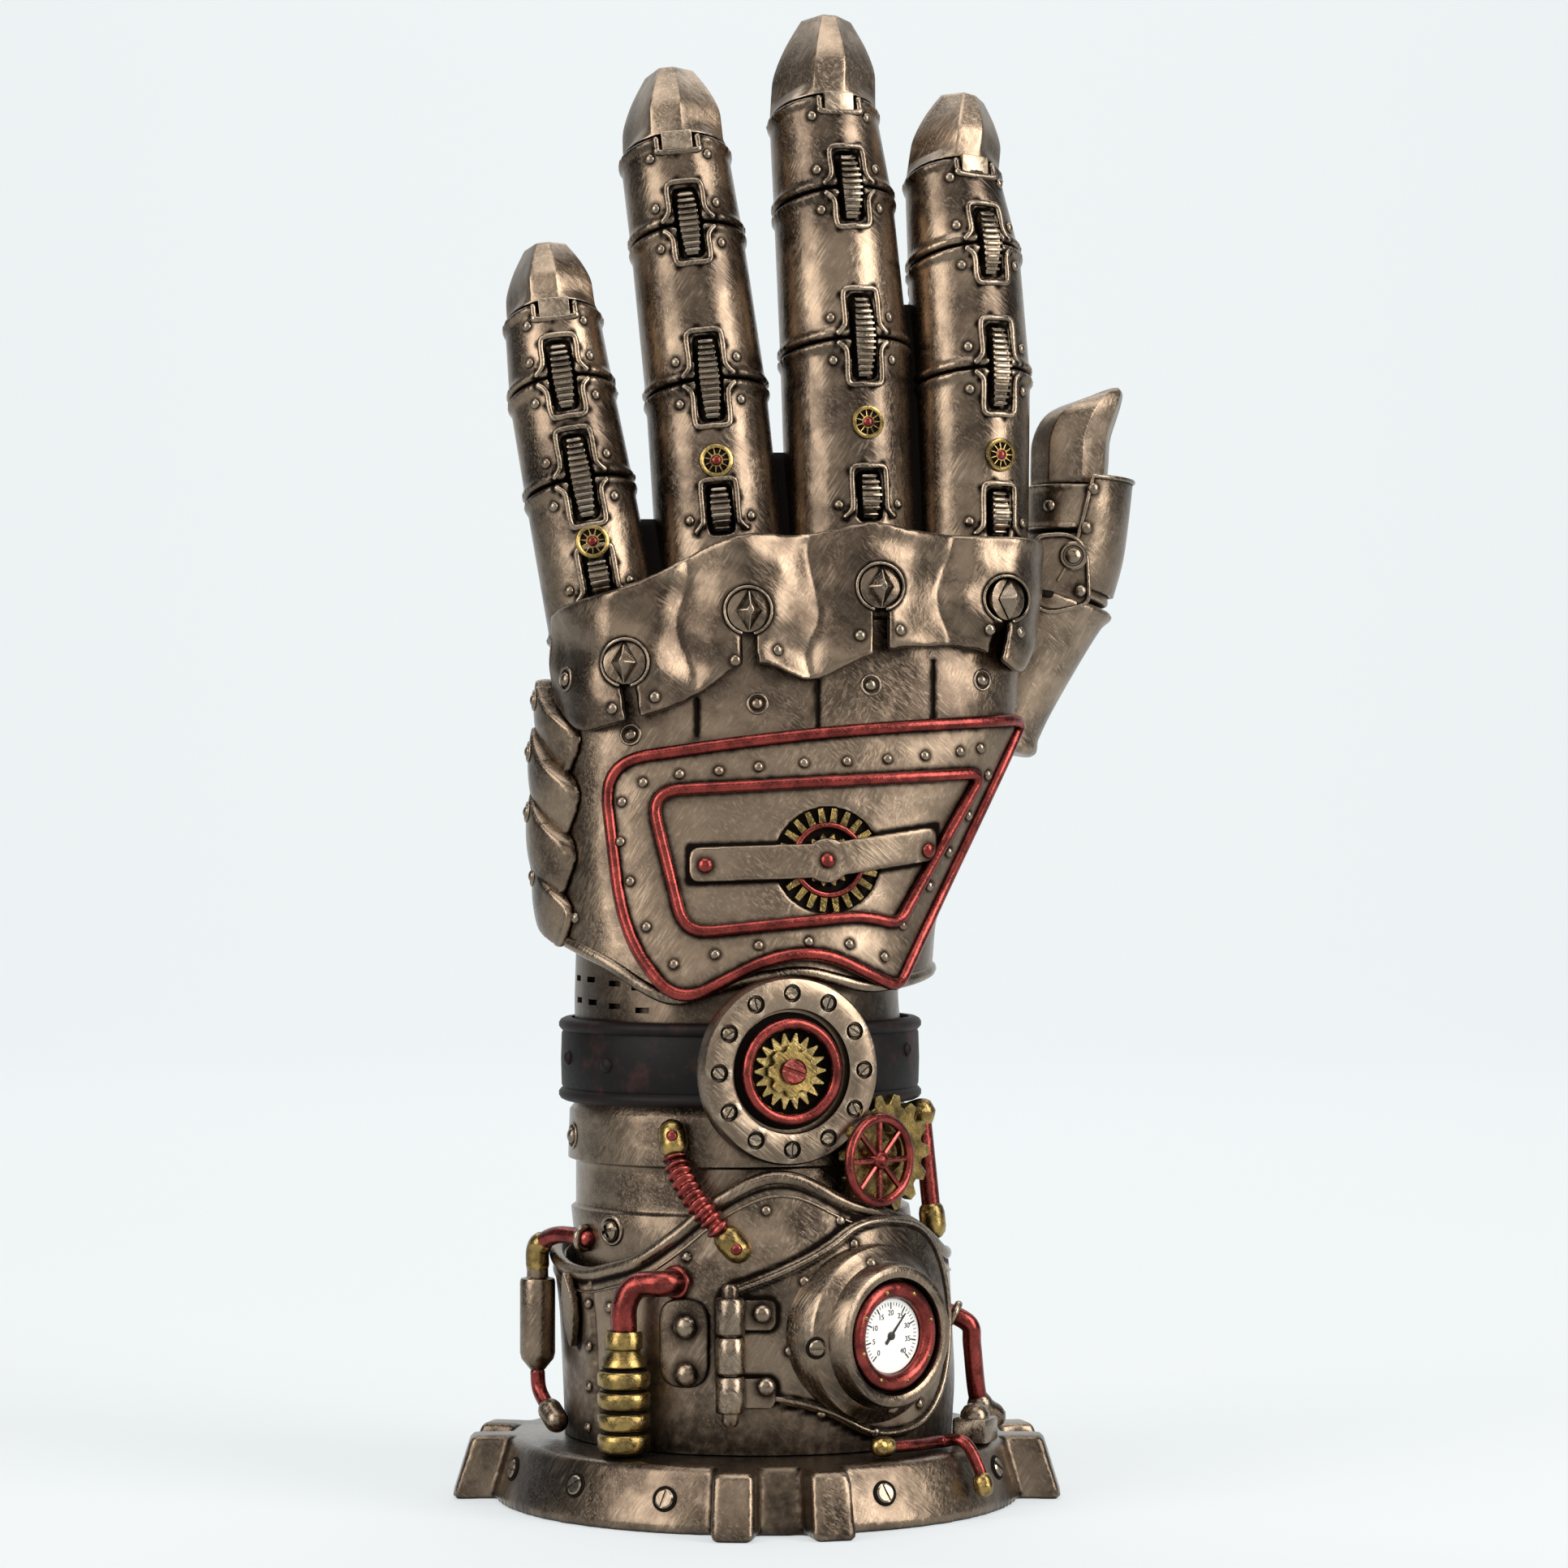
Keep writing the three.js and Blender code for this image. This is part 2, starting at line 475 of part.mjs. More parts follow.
function makeForearm() {
  const edge = edgeHeight(CUFF_EDGE);
  const wall = { sides: CUFF.sides };
  const outside = cuffSkin.solid({ low: level(CUFF.foot), high: edge, ...wall });
  const inside = loft([CUFF.foot - 4, 76].map((z) =>
    roundAngles(CUFF.sides).map((angle) => cuffSkin.point(angle, z, -CUFF.wall))));
  addPiece("forearm_cuff", outside.subtract(inside), "bronze");

  const rim = Array.from({ length: 40 }, (_, i) => {
    const angle = 9 * i - 180;
    return cuffSkin.point(angle, edge(angle) + CUFF.bead + 2 * GAP, -CUFF.wall / 2 + 0.5);
  });
  addPiece("cuff_rolled_rim", tube(rim, CUFF.bead, 4, 34, true), "bronze");

  const arm = { sides: ARM.sides };
  const bracer = { low: level(CUFF.foot), high: level(ARM.bracerTop), ...arm };
  addPiece("bracer", bracerSkin.solid(bracer), "bronze");
  const sleeve = { low: level(ARM.bracerTop + GAP), high: level(ARM.sleeveTop), ...arm };
  addPiece("wrist_sleeve", sleeveSkin.solid(sleeve), "darkBronze");

  const strapOuter = [STRAP.low, STRAP.low + STRAP.edge, STRAP.high - STRAP.edge, STRAP.high].map((z, i) =>
    roundAngles(ARM.sides).map((angle) => {
      const edge = i === 0 || i === 3;
      return strapSkin.point(angle, z, STRAP.thickness - (edge ? STRAP.soften : 0));
    }));
  const hole = strapSkin.solid({ low: level(STRAP.low - 2), high: level(STRAP.high + 2), lift: GAP, ...arm });
  addPiece("leather_strap", loft(strapOuter).subtract(hole), "leather");
}

// Back and palm of the hand
const handRange = { low: 96, high: 196, sides: HAND.sides };
const handBody = handSkin.solid({
  low: edgeHeight(HAND_LIP), high: level(HAND_TOP), sides: HAND.sides,
});

function makeHand() {
  const wristRoom = { low: level(84), high: level(ARM.sleeveTop + GAP), lift: 0.5, sides: ARM.sides };
  addPiece("hand_shell", handBody.subtract(sleeveSkin.solid(wristRoom)), "bronze");
}

function trimLoop(outline, lift, radius, sides, steps) {
  const path = new THREE.Path(outline);
  path.closePath();
  const loop = path.getSpacedPoints(steps).slice(1).map((p) => handSkin.front(p.x, p.y, lift));
  return tube(loop, radius, sides, steps, true);
}

// An outline drawn in towards its middle by a share of its size
function shrunk(outline, inset) {
  const middle = new THREE.Vector2();
  outline.forEach((p) => middle.addScaledVector(p, 1 / outline.length));
  return outline.map((p) => p.clone().lerp(middle, inset / p.distanceTo(middle)));
}

function makePanel() {
  const outline = rounded(PANEL_OUTLINE, 3);
  const trimLift = PANEL.edgeTrim + GAP + 0.3;
  addPiece("panel_edge_trim", trimLoop(outline, trimLift, PANEL.edgeTrim, 4, 38), "red");

  const window = prism(circle(PANEL_GEAR.x, PANEL_GEAR.z, PANEL.windowRadius), 0);
  const field = prism(shrunk(outline, PANEL.edgeTrim + 2.7), 0);
  const panel = sheet(handSkin, handRange, GAP, GAP + PANEL.thickness, field);
  addPiece("back_panel", panel.subtract(window), "bronze");

  const insetLift = PANEL.thickness + 2 * GAP + PANEL.insetTrim + 0.25;
  addPiece("panel_inset_trim", trimLoop(rounded(PANEL_INSET, 3), insetLift, PANEL.insetTrim, 4, 28), "red");

  const { x, z } = PANEL_GEAR;
  const middle = new THREE.Vector2(x, z);
  const teeth = gearOutline(PANEL_GEAR.teeth, PANEL_GEAR.rim, PANEL_GEAR.root).map((p) => p.add(middle));
  const wheel = prism(teeth, 0).subtract(prism(circle(x, z, PANEL_GEAR.hub, 12), 0));
  addPiece("panel_gear", sheet(handSkin, handRange, GAP, GAP + PANEL_GEAR.thickness, wheel), "brass");

  const half = PANEL_BAR.width / 2;
  const slope = PANEL_BAR.rise / (PANEL_BAR.right - PANEL_BAR.left);
  const along = (across) => z + slope * (across - x);
  const { left, right } = PANEL_BAR;
  const corners = [[left, -half], [right, -half], [right, half], [left, half]].map(([across, up]) => (
    { x: across + up * 0.5, z: along(across) + up, round: 2 }));
  const strip = prism(rounded(corners), 0);
  const boss = prism(circle(x, z, PANEL_BAR.boss, 16), 0);
  const under = PANEL.thickness + 2 * GAP;
  const bar = sheet(handSkin, handRange, under, under + PANEL_BAR.thickness, strip.add(boss));
  addPiece("panel_bar", bar, "bronze");
}

// Fingers
const spanOf = (from, to) => Math.hypot(to.x - from.x, to.y - from.y, to.z - from.z);
const lineOf = (from, to) => new THREE.Vector3(to.x - from.x, to.y - from.y, to.z - from.z).normalize();

// A finger's own axes: along its length, across it and out of its back
function fingerAxes(turn, line) {
  const along = line.clone().normalize();
  const back = new THREE.Vector3(Math.sin(degrees(turn)), -Math.cos(degrees(turn)), 0);
  back.addScaledVector(along, -back.dot(along)).normalize();
  return { along, back, across: new THREE.Vector3().crossVectors(along, back) };
}

// The way the finger runs through each joint, from the joint before it to the joint after it
function jointLine(finger, joint) {
  const joints = ["root", "pip", "dip", "cap", "tip"];
  const i = joints.indexOf(joint);
  return lineOf(finger[joints[Math.max(0, i - 1)]], finger[joints[Math.min(4, i + 1)]]);
}

function fingerRing(row, axes, size, angles, arch) {
  return angles.map((angle) => {
    const a = degrees(angle);
    return new THREE.Vector3(row.x, row.y, row.z)
      .addScaledVector(axes.across, Math.sin(a) * row.w * size)
      .addScaledVector(axes.back, Math.cos(a) * row.w * size * FINGER.depth)
      .addScaledVector(axes.along, -arch * (1 - Math.cos(a)));
  });
}

function rowBetween(from, to, distance) {
  const share = distance / spanOf(from, to);
  return Object.fromEntries(["x", "y", "z", "w"].map((k) => [k, from[k] + (to[k] - from[k]) * share]));
}

// One finger section between two joints, with its lower edge flared and its upper edge tucked in
function fingerSection(finger, low, high, grow = 0) {
  const [from, to] = [finger[low], finger[high]];
  const span = spanOf(from, to);
  const stations = [
    [GAP / 2, FINGER.flare * 0.97], [FINGER.lip, FINGER.flare], [span - FINGER.lip, 1],
    [span - GAP / 2, FINGER.tuck],
  ];
  return loft(stations.map(([distance, size]) => {
    const row = rowBetween(from, to, distance);
    const line = jointLine(finger, low).lerp(jointLine(finger, high), distance / span);
    return fingerRing({ ...row, w: row.w + grow }, fingerAxes(finger.turn, line), size,
      roundAngles(FINGER.sides), FINGER.arch);
  }));
}

// Places a solid drawn with X across the finger, Y along it and Z out of its back, on the back at a row
function onFinger(geometry, row, axes, lift = 0) {
  const place = new THREE.Matrix4().makeBasis(axes.across, axes.along, axes.back);
  const surface = row.w * FINGER.depth + lift;
  place.setPosition(
    row.x + axes.back.x * surface, row.y + axes.back.y * surface, row.z + axes.back.z * surface);
  return solidOf(geometry.clone().applyMatrix4(place));
}

function slotBox(wide, long, deep) {
  return new THREE.BoxGeometry(wide, long, deep + 4).translate(0, 0, 2 - deep / 2);
}

// The strip that bulges out of a knuckle's slot
function rack(length) {
  const half = length / 2;
  const profile = [new THREE.Vector2(-half, -FINGER.slotDepth - 0.3)];
  for (let i = 0; i <= FINGER.rackSteps; i++) {
    const y = -half + (length * i) / FINGER.rackSteps;
    profile.push(new THREE.Vector2(y, FINGER.rackBulge * (1 - (y / half) ** 2) - 0.5));
  }
  profile.push(new THREE.Vector2(half, -FINGER.slotDepth - 0.3));
  const depth = FINGER.rackWidth;
  const side = new THREE.Shape(profile.reverse());
  const geometry = new THREE.ExtrudeGeometry(side, { depth, bevelEnabled: false });
  const turn = new THREE.Matrix4().makeBasis(
    new THREE.Vector3(0, 1, 0), new THREE.Vector3(0, 0, 1), new THREE.Vector3(1, 0, 0));
  return geometry.translate(0, 0, -depth / 2).applyMatrix4(turn);
}

function makeFinger(name, finger) {
  const { root, pip, dip, cap, tip } = finger;
  const at = (joint) => fingerAxes(finger.turn, jointLine(finger, joint));
  const below = { root: at("root"), pip: at("pip"), dip: at("dip"), cap: at("cap") };
  const slot = (row, axes, length, deep) => onFinger(slotBox(FINGER.slotWidth, length, deep), row, axes);
  const deep = FINGER.slotDepth;
  const clear = FINGER.slotDepth + 1;

  const rowAt = (z) => rowBetween(root, pip, ((z - root.z) / (pip.z - root.z)) * spanOf(root, pip));
  const hingeRow = rowAt(finger.hinge);
  const rosetteRow = rowAt(finger.rosette);
  const floor = solidOf(new THREE.BoxGeometry(300, 300, 200).translate(0, 0, HAND_TOP + GAP + 0.1 + 100));
  const stud = new THREE.CylinderGeometry(FINGER.rosetteRadius, FINGER.rosetteRadius, 3, 8)
    .rotateX(Math.PI / 2).translate(0, 0, FINGER.rosetteHeight - 1.5);

  const proximal = joined([
    fingerSection(finger, "root", "pip").intersect(floor)
      .subtract(slot(pip, below.pip, FINGER.pipSlot, deep))
      .subtract(slot(hingeRow, below.root, FINGER.hingeSlot, deep)),
    onFinger(rack(FINGER.pipSlot - 1.4), pip, below.pip),
    onFinger(rack(FINGER.hingeSlot - 1.2), hingeRow, below.root),
    onFinger(stud, rosetteRow, below.root),
  ]);
  addPiece(`${name}_proximal`, proximal, "bronze");

  const middle = fingerSection(finger, "pip", "dip")
    .subtract(slot(pip, below.pip, FINGER.pipSlot, clear))
    .subtract(slot(dip, below.dip, FINGER.dipSlot, deep))
    .add(onFinger(rack(FINGER.dipSlot - 1.4), dip, below.dip));
  addPiece(`${name}_middle`, middle, "bronze");

  const tabRoom = slotBox(FINGER.tabWidth + 1, 2 * FINGER.tabLength + 1, FINGER.tabDepth + 0.5);
  const distal = fingerSection(finger, "dip", "cap")
    .subtract(slot(dip, below.dip, FINGER.dipSlot, clear))
    .subtract(onFinger(tabRoom, cap, below.cap));
  addPiece(`${name}_distal`, distal, "bronze");

  const span = spanOf(cap, tip);
  const rings = CAP_PROFILE.map(({ along, wide }) => {
    const row = rowBetween(cap, tip, GAP / 2 + along * (span - GAP / 2));
    const arch = FINGER.arch * (1 - along);
    const line = jointLine(finger, "cap").lerp(jointLine(finger, "tip"), along);
    return fingerRing({ ...row, w: cap.w * wide }, fingerAxes(finger.turn, line), 1, CAP_FACETS, arch);
  });
  const tab = new THREE.BoxGeometry(FINGER.tabWidth, 2 * FINGER.tabLength, FINGER.tabDepth)
    .translate(0, 0, -FINGER.tabDepth / 2 - 0.15);
  addPiece(`${name}_tip`, loft(rings).add(onFinger(tab, cap, below.cap)), "bronze");
}

function makeIndexHose() {
  const { root, pip, dip } = FINGERS.index;
  const behind = [rowBetween(root, pip, 20), rowBetween(root, pip, 40), pip, rowBetween(pip, dip, 14), dip];
  const axes = fingerAxes(FINGERS.index.turn, lineOf(root, dip));
  const path = behind.map((row) => {
    const side = degrees(FINGER_HOSE.angle);
    const out = row.w * FINGER.flare + FINGER_HOSE.stand;
    return new THREE.Vector3(row.x, row.y, row.z)
      .addScaledVector(axes.back, Math.cos(side) * out)
      .addScaledVector(axes.across, Math.sin(side) * out);
  });
  addPiece("index_hose", tube(path, FINGER_HOSE.radius, 6, 6), "red");
}

// Thumb
function makeThumb() {
  const leaning = (lean) => {
    const line = new THREE.Vector3(Math.sin(degrees(lean)), 0, Math.cos(degrees(lean)));
    return fingerAxes(THUMB.turn, line);
  };
  const section = (rows) =>
    loft(rows.map((row) => fingerRing(row, leaning(row.lean), 1, roundAngles(THUMB.sides), 0.8)));
  const handRoom = handSkin.solid({
    low: edgeHeight(HAND_LIP), high: level(HAND_TOP + 0.4), lift: GAP + 0.1, sides: HAND.sides,
  });
  const axes = leaning(THUMB.link[1].lean);
  const pivotAt = THUMB.link[1];
  const pivot = turned([[0, 0], [THUMB.pivotRadius, 0], [THUMB.pivotRadius, 3], [0, 3]], 12);
  const pivotPlace = new THREE.Vector3(pivotAt.x, pivotAt.y, pivotAt.z)
    .addScaledVector(axes.across, pivotAt.w + THUMB.pivotHeight - 3);
  const towards = THREE.MathUtils.radToDeg(Math.atan2(axes.across.x, -axes.across.y));
  addPiece("thumb_sleeve", section(THUMB.sleeve).subtract(handRoom), "bronze");
  addPiece("thumb_link", section(THUMB.link).add(faceOut(pivot, pivotPlace, towards)), "bronze");
  addPiece("thumb_collar", section(THUMB.collar), "bronze");
  addPiece("thumb_tip", section(THUMB.tip), "bronze");
}

// Knuckle guard: a ridged plate over the finger roots, with a keyhole at each knuckle
function makeGuard() {
  const centres = KNUCKLES.map(({ x }) => x);
  const ridges = (angle, z) => {
    const { x } = handSkin.point(angle, z);
    const nearest = Math.min(...centres.map((c) => Math.abs(x - c)));
    return GUARD.stand + GUARD.ridge * Math.cos((Math.PI / 2) * Math.min(1, nearest / 13)) ** 2;
  };
  const range = { low: GUARD.low, high: GUARD.high, sides: GUARD.sides };
  let guard = sheet(handSkin, range, GAP + 0.1, ridges, prism(rounded(GUARD_OUTLINE), 0));
  for (const { x, z, lean } of KNUCKLES) {
    const hole = prism(circle(x, z, GUARD.hole, 10), 0);
    const drop = 22 * Math.tan(degrees(lean));
    const half = GUARD.slot / 2;
    const slot = prism([
      new THREE.Vector2(x - half, z), new THREE.Vector2(x - half + drop, z - 22),
      new THREE.Vector2(x + half + drop, z - 22), new THREE.Vector2(x + half, z),
    ], 0);
    guard = guard.subtract(hole.add(slot));
  }
  for (const finger of Object.values(FINGERS)) {
    const lowered = { ...finger, root: { ...finger.root, z: finger.root.z - 4 } };
    guard = guard.subtract(fingerSection(lowered, "root", "pip", 0.9));
  }
  const largest = guard.decompose().sort((a, b) => b.volume() - a.volume())[0];
  addPiece("knuckle_guard", largest, "bronze");
}

// Plates down the little-finger side of the hand
function makeScales() {
  const guardRoom = prism(shrunk(rounded(GUARD_OUTLINE), -SCALE.guardGap), 0);
  let room = guardRoom.add(guardRoom.translate([0, SCALE.guardGap, 0]));
  SCALES.forEach(({ z, half, stand }, i) => {
    const w = SCALE.width;
    const corners = [
      { x: -w / 2, z: z + half * 0.4, round: 5 }, { x: 0, z: z + half, round: 5 },
      { x: w / 2, z: z + half * 0.3, round: 5 }, { x: w * 0.3, z: z - half * 0.7, round: 5 },
      { x: -1, z: z - half, round: 3 }, { x: -w * 0.42, z: z - half * 0.6, round: 5 },
    ];
    const centre = readTable(HAND_ROWS, "z", z);
    const outline = rounded(corners, 1);
    const face = (angle, height) => {
      const along = Math.min(1, Math.abs(height - z) / half);
      const round = Math.min(1, Math.abs(angle - SCALE.facing) / SCALE.spread);
      return SCALE.lift + stand * (1 - 0.35 * along ** 2 - 0.45 * round ** 2);
    };
    const scale = sheet(handSkin, { ...handRange, low: z - half - 4, high: z + half + 4 }, SCALE.lift, face,
      prism(outline, SCALE.facing, centre)).subtract(room);
    room = room.add(prism(shrunk(outline, -0.4), SCALE.facing, centre));
    addPiece(`side_scale_${i + 1}`, scale, "bronze");
  });
}

// Wrist medallion
function medallionPlace(solid, lift) {
  const out = new THREE.Vector3(Math.sin(degrees(MEDALLION.facing)), -Math.cos(degrees(MEDALLION.facing)), 0);
  const surface = strapSkin.point(MEDALLION.angle, MEDALLION.z, STRAP.thickness + MEDALLION.lift);
  return faceOut(solid, surface.addScaledVector(out, lift), MEDALLION.facing);
}

// The space that the strap takes up, with its clearance
function strapRoom() {
  const [low, high] = [level(STRAP.low - 0.6), level(STRAP.high + 0.6)];
  return strapSkin.solid({ low, high, lift: STRAP.thickness + GAP, sides: ARM.sides });
}

function medallionRoom() {
  const radius = MEDALLION.radius + 0.5;
  return medallionPlace(turned([[0, -8], [radius, -8], [radius, 12], [0, 12]], 28), 0);
}

function makeMedallion() {
  const { radius, thickness, well, wellDepth } = MEDALLION;
  const place = medallionPlace;
  const disc = turned([
    [0, -7], [radius, -7], [radius, thickness - 1.6], [radius - 1.2, thickness - 0.4],
    [well + 0.6, thickness], [well, thickness - wellDepth], [0, thickness - wellDepth],
  ], 22);
  const rooms = [
    strapRoom(),
    bracerSkin.solid({ low: level(60), high: level(ARM.bracerTop), lift: GAP, sides: ARM.sides }),
    sleeveSkin.solid({ low: level(88), high: level(114), lift: GAP, sides: ARM.sides }),
    handSkin.solid({ ...handRange, low: level(97), high: level(160), lift: PANEL.thickness + 2.6 }),
    cuffRoom(50, 3.4, 1.6),
  ];
  const seated = rooms.reduce((solid, room) => solid.subtract(room), place(disc, 0));
  addPiece("medallion_disc", seated.decompose().sort((a, b) => b.volume() - a.volume())[0], "bronze");

  const ring = solidOf(new THREE.TorusGeometry(MEDALLION.ringRadius, MEDALLION.ringTube, 5, 20));
  addPiece("medallion_ring", place(ring, thickness - wellDepth + MEDALLION.ringTube + GAP), "red");
  const teeth = gearOutline(MEDALLION.gearTeeth, MEDALLION.gearTip, MEDALLION.gearRoot);
  const gear = plate(teeth, MEDALLION.gearThickness);
  const head = MEDALLION.screw;
  const screw = turned([[0, 0], [head, 0], [head, 2.6], [head - 0.8, 3.2], [0, 3.2]], 10);
  addPiece("medallion_gear", place(gear.add(screw), thickness - wellDepth + GAP), "brass");
}

// Gauge, its hinged door and the plates beside it
function makeGaugeDoor() {
  const door = prism(rounded(DOOR_OUTLINE).map((p) => new THREE.Vector2(p.x, p.y + GAUGE.z)), DOOR.facing);
  const face = GAP + DOOR.thickness;
  const cutTop = cuffRoom(CUFF.foot + 0.2, -0.6, 6);
  addPiece("gauge_door", sheet(cuffSkin, cuffRange, GAP, face, door).intersect(cutTop), "bronze");

  const seat = cuffSkin.point(GAUGE.angle, GAUGE.z, face);
  const out = new THREE.Vector3(Math.sin(degrees(GAUGE.facing)), -Math.cos(degrees(GAUGE.facing)), 0);
  const place = (solid, lift) => faceOut(solid, seat.clone().addScaledVector(out, lift), GAUGE.facing);
  const { flange, rim, height, bore, boreDepth, skirt } = GAUGE;
  const housing = turned([
    [0, -skirt], [flange, -skirt], [flange, 0.6], [flange - 1.4, 2], [rim + 1.2, height - 0.8], [rim, height],
    [bore + 0.4, height - 0.4], [bore, height - boreDepth], [0, height - boreDepth],
  ], 20);
  const doorRoom = cuffSkin.solid({ ...cuffRange, low: level(4), high: level(76), lift: face + GAP });
  addPiece("gauge_housing", place(housing, 0).subtract(doorRoom), "bronze");
  const floor = height - boreDepth;
  const ring = solidOf(new THREE.TorusGeometry(GAUGE.ringRadius, GAUGE.ringTube, 5, 18));
  addPiece("gauge_ring", place(ring, floor + GAUGE.ringTube + GAP), "red");
  const dialRadius = GAUGE.dial - 0.5;
  const thick = GAUGE.dialThickness;
  const dial = turned([[0, 0], [dialRadius, 0], [dialRadius, thick], [0, thick]], 20);
  addPiece("gauge_dial", place(dial, floor + GAP), "dial");

  const barrelAt = cuffSkin.point(HINGE.angle, 0, face + GAP + HINGE.radius + 0.4);
  const { low, high, radius, pin } = HINGE;
  const third = (high - low) / 3;
  const profile = [
    [0, low - 2], [pin, low - 2], [pin, low], [radius, low],
    [radius, high], [pin, high], [pin, high + 2], [0, high + 2],
  ];
  const barrel = solidOf(geometryOf(turned(profile, 8)).translate(barrelAt.x, barrelAt.y, 0));
  const leaves = [low + third / 2, high - third / 2].map((z) => {
    const [l, r] = [-1, HINGE.leafWide + radius];
    const [b, t] = [z - HINGE.leafTall / 2, z + HINGE.leafTall / 2];
    const square = [[l, b, 0.4], [r, b, 2], [r, t, 2], [l, t, 0.4]];
    const corners = square.map(([x, up, round]) => ({ x, z: up, round }));
    const leaf = prism(rounded(corners, 1), HINGE.angle);
    return sheet(cuffSkin, cuffRange, face + GAP + 0.2, face + GAP + 1.5, leaf);
  });
  addPiece("door_hinge", joined([barrel, ...leaves]), "bronze");

  const { wide, tall, z } = OVAL_PLATE;
  const corners = [[-1, -1], [1, -1], [1, 1], [-1, 1]].map(([sx, sz]) => (
    { x: (sx * wide) / 2, z: z + (sz * tall) / 2, round: wide * 0.46 }));
  const oval = prism(rounded(corners), OVAL_PLATE.angle);
  addPiece("oval_plate", sheet(cuffSkin, cuffRange, GAP, GAP + OVAL_PLATE.thickness, oval), "bronze");
}

// Brass bulb with its red elbow, corrugated hose and the canister on the little-finger side
function makeLeftFittings() {
  const foot = cuffSkin.point(BULB.angle, 26, BULB.stand);
  const { radius, neck, height } = BULB;
  const profile = [
    [0, 0], [radius - 0.8, 0], [radius, 2.4], [radius, 17],
    [radius - 0.6, 19.4], [neck, 21], [neck, height], [0, height],
  ];
  const bulb = turned(profile, 10);
  addPiece("brass_bulb", solidOf(geometryOf(bulb).translate(foot.x, foot.y, BULB.z)), "brass");

  const top = BULB.z + height + GAP;
  const port = cuffSkin.point(-20.5, top + ELBOW.rise, GAP);
  const mouth = cuffSkin.point(-22, top + ELBOW.rise, 4.4);
  const elbow = [
    new THREE.Vector3(foot.x, foot.y, top), new THREE.Vector3(foot.x + 0.2, foot.y, top + ELBOW.rise * 0.55),
    new THREE.Vector3(foot.x + 2.6, foot.y + 0.2, top + ELBOW.rise * 0.92), mouth, port,
  ];
  const wallRoom = cuffSkin.solid({ ...cuffRange, low: level(8), high: level(74), lift: GAP });
  addPiece("bulb_elbow", tube(elbow, ELBOW.radius, 6, 7).subtract(wallRoom), "red");

  const path = HOSE_PATH.map((p) => new THREE.Vector3(p.x, p.y, p.z));
  const ends = [path[0], path.at(-1)].map((at) => ball(at, HOSE.knob));
  addPiece("corrugated_hose", joined([tube(path, HOSE.radius, 6, 8), ...ends]), "red");

  const can = cuffSkin.point(CANISTER.angle, CANISTER.z, CANISTER.stand);
  const { radius: wide, length, cone } = CANISTER;
  const body = turned([
    [0, -cone], [wide * 0.5, -cone], [wide, 0], [wide, length - 0.8], [wide - 0.8, length],
    [2.2, length], [2.2, length + 1.6], [0, length + 1.6],
  ], 10);
  const base = CANISTER.z - 8;
  addPiece("canister", solidOf(geometryOf(body).translate(can.x, can.y, base)), "bronze");

  const above = base + length + 1.6 + 2 * GAP;
  const inlet = bracerSkin.point(-62, above + 6.4, 1.9);
  const upper = [
    new THREE.Vector3(can.x, can.y, above), new THREE.Vector3(can.x + 0.4, can.y - 0.6, above + 4),
    new THREE.Vector3(can.x + 4.4, can.y - 5, above + 6.6), inlet,
  ];
  const upperPipe = joined([tube(upper, CANISTER_PIPE.radius, 6, 6), ball(upper[1], CANISTER_PIPE.knob)]);
  addPiece("canister_inlet", upperPipe, "red");

  const below = base - cone - 2 * GAP;
  const outlet = cuffSkin.point(CANISTER.angle + 9, below - 9, 2.9);
  const lower = [
    new THREE.Vector3(can.x, can.y, below), new THREE.Vector3(can.x + 0.6, can.y - 0.6, below - 4), outlet,
  ];
  addPiece("canister_outlet", joined([tube(lower, 1.4, 6, 5), ball(outlet, CANISTER_PIPE.knob)]), "red");
}

